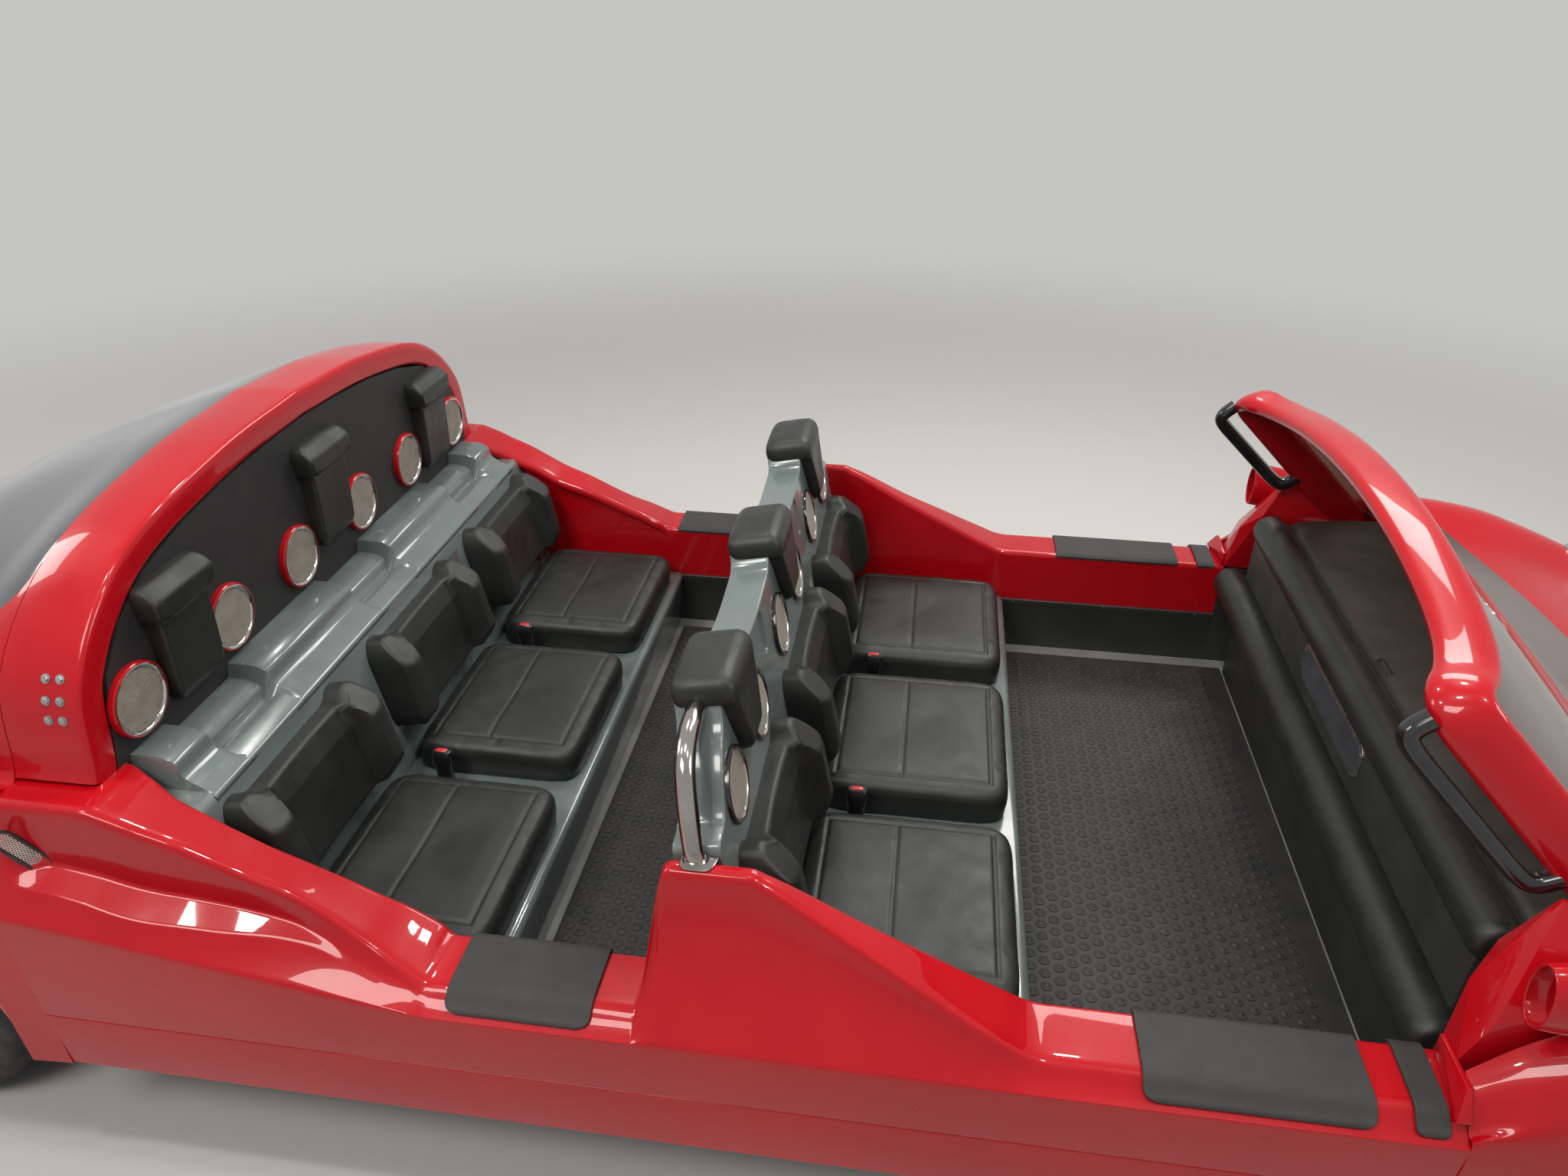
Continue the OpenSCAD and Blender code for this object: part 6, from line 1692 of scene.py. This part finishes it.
# Headrests: firm pads, the front ones capped over the shell's horns with a tongue that narrows down the back,
# the rear ones flat on the bulkhead under a thicker brow. The middle rear one sits higher.
tongue_corners = [(-30, 434), (30, 434), (44, 452), (HEADREST_HALF - 13, 540), (HEADREST_HALF + 1, 600),
                  (-HEADREST_HALF - 1, 600), (-HEADREST_HALF + 13, 540), (-44, 452)]
tongue_outline = rounded(tongue_corners, [14, 14, 20, 30, 8, 8, 30, 20])


def tongue_height(y, z):
    return soft_least([30, 13 + (z - 434) * 0.7, 30 - max(0, abs(y) - 60) * 0.12], 2.5) + 2 * (y / 90) ** 2


CAP_X = -29.0


def capped(ring, bowed):
    """A cap's ring with its front edge drawn down, and its top bowed across where that is asked for."""
    made = []
    for x, y, z in ring:
        bow = 4 * math.cos(math.pi * y / 190) - 2 if bowed else 0
        made.append((x, y, z + bow - max(0, x - 8) * 0.16))
    return made


def cap_block(name):
    """The cap over a horn, full and round on top, thinner at its front edge."""
    rings = []
    for z, inset in ((574, 8), (575, 3), (580, 0), (600, -1), (612, 1), (620, 5), (625, 11), (628, 19)):
        ring = oval_ring(61 - inset, HEADREST_HALF + 6 - inset, CAP_X, 0, z, 7, 96)
        rings.append(capped(ring, z > 600))
    for t in np.linspace(0.1, 1, 12):
        share = 1 - t * 0.97
        ring = oval_ring(42 * share, (HEADREST_HALF - 13) * share, CAP_X, 0, 629 + 2.5 * t, 7 - 4 * t, 96)
        rings.append(capped(ring, True))
    return lofted(name, rings, pad_black, 60)


BROW_Z = 1046.0
head_half = [(62, 864), (70, 884), (72, 1038), (82, 1048), (88, 1092), (80, 1114)]
head_reach = [10, 10, 6, 6, 12, 14]
head_outline = rounded([(-62, 864)] + head_half + [(-y, z) for y, z in reversed(head_half[1:])],
                       head_reach[:1] + head_reach + head_reach[:0:-1])


def rear_head_height(y, z):
    arc = BROW_Z + 7 * (y / 80) ** 2 - 5
    tongue = soft_least([34, 20 + (z - 862) * 0.5, 31 + (z - 900) * 0.03], 2.0)
    brow = soft_least([47, 34 + (z - arc) * 1.6, 47 - (z - 1088) * 0.9], 1.5)
    groove = 2.5 * math.exp(-((z - arc + 3) / 2.5) ** 2)
    return (brow if z > arc else tongue) - groove + 1.5 * (y / 80) ** 2


for k in SEAT_NUMBERS:
    tongue = relief_pad("tongue", tongue_outline, tongue_height, 8, 24)
    head = joined(f"headrest_front_{SEAT_NAMES[k]}", [tongue, cap_block("cap")])
    hang(lean_back(head, FRONT_FOOT, k * FRONT_PITCH), CAR, ["headrests"])
    rear_head = relief_pad(f"headrest_rear_{SEAT_NAMES[k]}", head_outline, rear_head_height, 8, 56)
    shifted(rear_head, BULKHEAD_X, k * REAR_PITCH, 42 if k == 0 else 0)
    hang(rear_head, CAR, ["headrests"])

# Speakers: a corrugated tan grille in a bright ring, screwed over a hole behind a wider flange.
# The flanges are red on the bulkhead and dark on the grey shell.
REAR_SPEAKER = (144.0, 925.0)
mesh_tan = new_finish("speaker_mesh", (0.2, 0.18, 0.15), 0.5, metallic=0.4)
blotch(mesh_tan, 30.0, (0.17, 0.15, 0.125), (0.22, 0.195, 0.16))
relief(mesh_tan, 420.0, 0.6, detail=2.0, cells=True)
CORRUGATION = 4.0
GRILLE_R = SPEAKER_D / 2 - 12
SPEAKER_R = SPEAKER_D / 2
ring_profile = [(SPEAKER_R - 13, 6), (SPEAKER_R - 12, 9.5), (SPEAKER_R - 9, 12.5), (SPEAKER_R - 6, 13.6),
                (SPEAKER_R - 4.5, 13)]
flange_profile = [(SPEAKER_R - 6.5, 8), (SPEAKER_R - 5, 13), (SPEAKER_R - 2.5, 12.6), (SPEAKER_R - 0.4, 10.5),
                  (SPEAKER_R, 7), (SPEAKER_R, 0.2)]


def speaker_set(row, places, flange_finish, flange_slot):
    sheets, bright_rings, flanges = [], [], []
    for y, z in places:
        points, faces = [], []
        count = int(2 * GRILLE_R / (CORRUGATION / 4))
        for k in range(count + 1):
            up = -GRILLE_R + 2 * GRILLE_R * k / count
            reach = math.sqrt(max(0.0, GRILLE_R**2 - up**2))
            out = 9.4 + 0.9 * math.sin(2 * math.pi * up / CORRUGATION)
            points += [(out, y - reach, z + up), (out + 1.0, y, z + up), (out, y + reach, z + up)]
        for k in range(count):
            a = 3 * k
            faces += [(a, a + 1, a + 4, a + 3), (a + 1, a + 2, a + 5, a + 4)]
        sheets.append(thicken(piece("grille", points, faces, mesh_tan, 60), 0.8, 60))
        bright_rings.append(turned("ring", ring_profile, (0, y, z), (1, 0, 0), bright_steel, 64, 50, True))
        flanges.append(turned("flange", flange_profile, (0, y, z), (1, 0, 0), flange_finish, 64, 50, True))
    for name, parts, slot, nodes in (("speaker_grilles", sheets, "speaker_mesh", ["speakers"]),
                                     ("speaker_rings", bright_rings, "bright_steel", []),
                                     ("speaker_flanges", flanges, flange_slot, [])):
        whole = joined(f"{name}_{row}", parts)
        if row == "rear":
            shifted(whole, SHELL_REAR_X, 0, 0)
        else:
            lean_back(shifted(whole, -5.7, 0, 0), FRONT_FOOT)
        hang(whole, CAR, nodes)


speaker_set("rear", beside_seats(REAR_PITCH, *REAR_SPEAKER), red_gloss, "red_body")
speaker_set("front", beside_seats(FRONT_PITCH, *FRONT_SPEAKER), gloss_black, "handle_plastic")

# Grab bars: bright stainless tube bent in one piece and welded to a flange at its foot.
# A hex screw holds the flange on the hump.
BAR_D = 36.0
bar_in = BACK_T / 2
BAR_FOOT_Y = CABIN_HALF + 5
FLANGE_TOP = HUMP_Z + 5.3
bar_rise = (HUMP_Z + 0.3 - SEAT_Z + bar_in * math.sin(BACK_LEAN)) / math.cos(BACK_LEAN)
bar_bends = [(0, 3), (2, 18), (6, 31), (26, 84), (52, 131), (78, 156), (116, 170), (160, 174),
             (BAR_FOOT_Y - horn_out + 6, 170)]
dark_chrome = new_finish("dark_chrome", (0.42, 0.39, 0.36), 0.09, metallic=1.0)
blotch(dark_chrome, 12.0, (0.34, 0.32, 0.3), (0.5, 0.47, 0.44))
uneven_gloss(dark_chrome, 60.0, 0.06, 0.18, detail=5.0, stretch=(1, 1, 0.2))
for side, sign in SIDES:
    path = [leaned(FRONT_FOOT, -bar_in, sign * (BAR_FOOT_Y - inboard), bar_rise + up)
            for inboard, up in bar_bends]
    tube = swept("tube", eased_path(path, 26, 6), [(1, 0, 0.2)], BAR_D, BAR_D, dark_chrome, 2.0, 40)
    foot_x = leaned(FRONT_FOOT, -bar_in, 0, bar_rise)[0]
    corners = [(-24, 24), (24, 24), (34, 12), (44, -44), (30, -50), (-24, -10)]
    corners = [(foot_x + a, sign * (BAR_FOOT_Y + b)) for a, b in corners]
    outline = rounded(corners, [12, 10, 12, 12, 12, 16])
    plate = soften(slab("plate", outline, HUMP_Z + 0.3, FLANGE_TOP, "z", dark_chrome), 1.2, 2)
    weld = turned("weld", [(BAR_D / 2 + 4, 0), (BAR_D / 2 + 2.5, 3), (BAR_D / 2 - 0.5, 5.5)],
                  (foot_x, sign * BAR_FOOT_Y, FLANGE_TOP - 0.3), (0, 0, 1), dark_chrome, 40)
    screw_at = (foot_x + 31, sign * (BAR_FOOT_Y - 34), FLANGE_TOP)
    screw = hex_screw("screw", screw_at, (0, 0, 1), 13, 8, dark_chrome)
    hang(joined(f"grab_bar_{side}", [tube, plate, weld] + screw), CAR, ["grab_bars"])

# Belts as they hang when nobody rides: woven lap webbing down each back's outer side, with a steel tongue
# in a coloured sleeve, and plastic receivers with red buttons that stand beside the cushions.
BELT_W = 46.0
BELT_LOW = 96.0
BELT_HIGH = 320.0
# Height over the seat, half length and half width of a receiver and of its button
STALK_ROWS = [(0.3, 20, 9), (4, 21, 9.5), (40, 19, 9), (62, 20, 10.5), (70, 23, 12), (96, 23, 12),
              (103, 21.5, 10.5), (106, 18, 8)]
BUTTON_ROWS = [(104, 14, 6), (107, 14, 6), (108, 12.5, 5), (108.2, 2, 1)]
webbing = new_finish("webbing", (0.02, 0.02, 0.021), 0.7)
surface_of(webbing).inputs["Sheen Weight"].default_value = 0.3
blotch(webbing, 500.0, (0.012, 0.012, 0.013), (0.035, 0.035, 0.037), detail=1.0, stretch=(1, 1, 0.3))
relief(webbing, 700.0, 0.5, detail=1.0, stretch=(1, 1, 0.25))
button_red = new_finish("button_red", (0.55, 0.02, 0.02), 0.3, coat=0.2)
blotch(button_red, 30.0, (0.48, 0.015, 0.015), (0.6, 0.03, 0.03))
sleeve_lime = new_finish("sleeve_lime", (0.5, 0.55, 0.08), 0.45)
blotch(sleeve_lime, 40.0, (0.44, 0.49, 0.06), (0.56, 0.6, 0.1))
for row, foot, pitch in SEAT_ROWS:
    straps, tongues, sleeves, stalks, buttons = [], [], [], [], []
    for k in SEAT_NUMBERS:
        y = pitch / 2 if k == 0 else k * (pitch + CUSHION_HALF + 9)
        half = BELT_W / 2 if k == 0 or row == "rear" else 20.0
        y += k * 1 - k * (BELT_W / 2 - half)
        sections = []
        for t in np.linspace(0, 1, 41):
            z = BELT_LOW + (BELT_HIGH - BELT_LOW) * t
            out = 0.4 + 0.4 * (2.0 + 1.2 * math.sin(t * 9 + k) * t * (1 - t) * 2)
            outline = [(out + 1.1 - 0.5 * b**4, y + b * half, z) for b in np.linspace(-1, 1, 9)]
            outline += [(out - 0.5 + 0.4 * b**4, y + b * half, z) for b in np.linspace(1, -1, 9)]
            sections.append([tuple(leaned(foot, *q)) for q in outline])
        straps.append(lofted("strap", sections, webbing, 60))
        corners = [(y - 17, 150), (y + 17, 150), (y + 17, 178), (y + 9, 196), (y - 9, 196), (y - 17, 178)]
        tongue = slab("tongue", rounded(corners, [4, 4, 6, 5, 5, 6], 3), 3.6, 5.8, "x", bright_steel)
        tongues.append(lean_back(soften(tongue, 0.6, 2), foot))
        sleeve_outline = rounded(rectangle(y - 20, y + 20, 128, 156), [5] * 4, 3)
        sleeve = slab("sleeve", sleeve_outline, 2.6, 9.0, "x", sleeve_lime)
        sleeves.append(lean_back(soften(sleeve, 1.6, 3), foot))
    for s in (-1, 1):
        x, y = foot + 113, s * pitch / 2
        rings = [oval_ring(a, b, x, y, SEAT_Z + z, 4, 48) for z, a, b in STALK_ROWS]
        stalks.append(lofted("stalk", rings, gloss_black, 35))
        rings = [oval_ring(a, b, x, y, SEAT_Z + z, 4, 32) for z, a, b in BUTTON_ROWS]
        buttons.append(lofted("button", rings, button_red, 35))
    hang(joined(f"belt_webbing_{row}", straps), CAR, ["belts"])
    hang(joined(f"belt_tongues_{row}", tongues), CAR, ["belts"])
    for name, parts in (("sleeves", sleeves), ("receivers", stalks), ("buttons", buttons)):
        hang(joined(f"belt_{name}_{row}", parts), CAR, ["belts"])

# Hoop screws: six plated hex screws through each foot of the hoop, in two columns of three.
# Each has a thin washer under its head.
for side, sign in SIDES:
    screws = []
    for x in (-1046.0, -1072.0):
        for z in (962.0, 996.0, 1030.0):
            s = min(np.linspace(2.2, 4.0, 91), key=lambda q: abs(tail_point(x, q)[2] - z))
            along = tail_point(x, s + 0.02) - tail_point(x, s - 0.02)
            out = np.array([0, -along[2], along[1]]) / np.linalg.norm(along)
            turn = np.array([1, sign, 1])
            screws += hex_screw("screw", tail_point(x, s) * turn, out * turn, 11, 4, nut_steel, 1.0)
    hang(joined(f"hoop_screws_{side}", screws), CAR)

# Studio: a plain pale floor, soft lamps overhead with a few small ones for the glints in the lacquer,
# and the camera at a standing person's height beside the car's right side, as it was seen.
FLOOR_HALF = 30.0
floor_mesh = bpy.data.meshes.new("studio_floor")
floor_corners = [(x, y, 0) for x, y in rectangle(-FLOOR_HALF, FLOOR_HALF, -FLOOR_HALF, FLOOR_HALF)]
floor_mesh.from_pydata(floor_corners, [], [(0, 1, 2, 3)])
studio_floor = placed("studio_floor", floor_mesh)
floor_pale = new_finish("studio_floor", (0.55, 0.54, 0.52), 0.8)
uneven_gloss(floor_pale, 2.0, 0.7, 0.85)
BACKDROP = (0.56, 0.555, 0.55, 1.0)
FADE_FROM = 2.6
FADE_TO = 7.5


def seen_directly(tree):
    """1 for what the eye sees straight, in gloss or through glass, and 0 for light on a surface."""
    path = tree.nodes.new("ShaderNodeLightPath")
    seen = path.outputs["Is Camera Ray"]
    for kind in ("Is Glossy Ray", "Is Transmission Ray"):
        either = tree.nodes.new("ShaderNodeMath")
        either.operation = "MAXIMUM"
        tree.links.new(seen, either.inputs[0])
        tree.links.new(path.outputs[kind], either.inputs[1])
        seen = either.outputs[0]
    return seen


floor_tree = floor_pale.node_tree
floor_place = floor_tree.nodes.new("ShaderNodeTexCoord")
from_middle = floor_tree.nodes.new("ShaderNodeVectorMath")
from_middle.operation = "LENGTH"
fade = floor_tree.nodes.new("ShaderNodeMapRange")
fade.interpolation_type = "SMOOTHSTEP"
fade.inputs["From Min"].default_value = FADE_FROM
fade.inputs["From Max"].default_value = FADE_TO
fade_seen = floor_tree.nodes.new("ShaderNodeMath")
fade_seen.operation = "MULTIPLY"
far_floor = floor_tree.nodes.new("ShaderNodeEmission")
far_floor.inputs["Color"].default_value = BACKDROP
floor_mix = floor_tree.nodes.new("ShaderNodeMixShader")
floor_tree.links.new(floor_place.outputs["Object"], from_middle.inputs[0])
floor_tree.links.new(from_middle.outputs["Value"], fade.inputs["Value"])
floor_tree.links.new(fade.outputs["Result"], fade_seen.inputs[0])
floor_tree.links.new(seen_directly(floor_tree), fade_seen.inputs[1])
floor_tree.links.new(fade_seen.outputs[0], floor_mix.inputs[0])
floor_tree.links.new(surface_of(floor_pale).outputs[0], floor_mix.inputs[1])
floor_tree.links.new(far_floor.outputs[0], floor_mix.inputs[2])
floor_tree.links.new(floor_mix.outputs[0], floor_tree.nodes["Material Output"].inputs["Surface"])
studio_floor.data.materials.append(floor_pale)
studio_floor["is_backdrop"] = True

world = bpy.data.worlds.new("studio")
bpy.context.scene.world = world
world.use_nodes = True
sky = world.node_tree
sky.nodes["Background"].inputs["Color"].default_value = (0.74, 0.75, 0.77, 1.0)
sky.nodes["Background"].inputs["Strength"].default_value = 0.34
backdrop = sky.nodes.new("ShaderNodeBackground")
backdrop.inputs["Color"].default_value = BACKDROP
sky_mix = sky.nodes.new("ShaderNodeMixShader")
sky.links.new(seen_directly(sky), sky_mix.inputs[0])
sky.links.new(sky.nodes["Background"].outputs[0], sky_mix.inputs[1])
sky.links.new(backdrop.outputs[0], sky_mix.inputs[2])
sky.links.new(sky_mix.outputs[0], sky.nodes["World Output"].inputs["Surface"])
# Columns: name, place, point it faces, width, length, watts, all in metres
LAMPS = [
    ("main_panel", (-1.6, -3.4, 4.6), (0.0, 0.0, 0.6), 2.2, 1.4, 120.0),
    ("far_panel", (1.8, 3.6, 4.4), (0.2, 0.0, 0.6), 2.4, 1.2, 95.0),
    ("front_panel", (5.2, -0.8, 3.4), (1.4, 0.0, 0.6), 1.6, 1.6, 70.0),
    ("rear_panel", (-5.2, 0.4, 3.6), (-1.4, 0.0, 0.7), 1.6, 1.6, 70.0),
    ("spot_a", (-1.9, -1.2, 4.2), (-1.0, -0.6, 0.7), 0.22, 0.22, 26.0),
    ("spot_b", (0.2, -0.9, 4.2), (0.2, -0.4, 0.7), 0.22, 0.22, 26.0),
    ("spot_c", (1.9, -1.2, 4.2), (1.6, -0.5, 0.8), 0.22, 0.22, 26.0),
    ("spot_d", (-0.8, 1.4, 4.2), (-0.8, 0.4, 0.9), 0.22, 0.22, 26.0),
    ("spot_e", (1.3, 1.5, 4.2), (1.3, 0.4, 0.9), 0.22, 0.22, 26.0)]
for name, place, faced, width, length, watts in LAMPS:
    lamp = bpy.data.lights.new(name, "AREA")
    lamp.shape = "RECTANGLE"
    lamp.size = width
    lamp.size_y = length
    lamp.energy = watts
    lamp.color = (1.0, 0.97, 0.93)
    holder = placed(name, lamp)
    holder.location = place
    holder.rotation_mode = "QUATERNION"
    holder.rotation_quaternion = (Vector(faced) - Vector(place)).to_track_quat("-Z", "Y")

CAMERA_PLACE = Vector((0.3624, -2.1101, 2.0755))
CAMERA_TURN = math.radians(7.8)
CAMERA_DOWN = math.radians(29.88)
CAMERA_ROLL = math.radians(0.38)
FOCAL_PIXELS = 1410.5
IMAGE_WIDTH = 2048
eye = bpy.data.cameras.new("eye")
eye.sensor_width = 36.0
eye.lens = FOCAL_PIXELS / IMAGE_WIDTH * eye.sensor_width
eye.clip_end = 200.0
camera = placed("eye", eye)
ahead = Vector((-math.sin(CAMERA_TURN) * math.cos(CAMERA_DOWN), math.cos(CAMERA_TURN) * math.cos(CAMERA_DOWN),
                -math.sin(CAMERA_DOWN)))
level = Vector((math.cos(CAMERA_TURN), math.sin(CAMERA_TURN), 0))
above = level.cross(ahead)
right = level * math.cos(CAMERA_ROLL) + above * math.sin(CAMERA_ROLL)
up = above * math.cos(CAMERA_ROLL) - level * math.sin(CAMERA_ROLL)
camera.matrix_world = Matrix((right, up, -ahead)).transposed().to_4x4()
camera.location = CAMERA_PLACE
bpy.context.scene.camera = camera
bpy.context.scene.view_settings.view_transform = "Standard"

low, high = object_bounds()
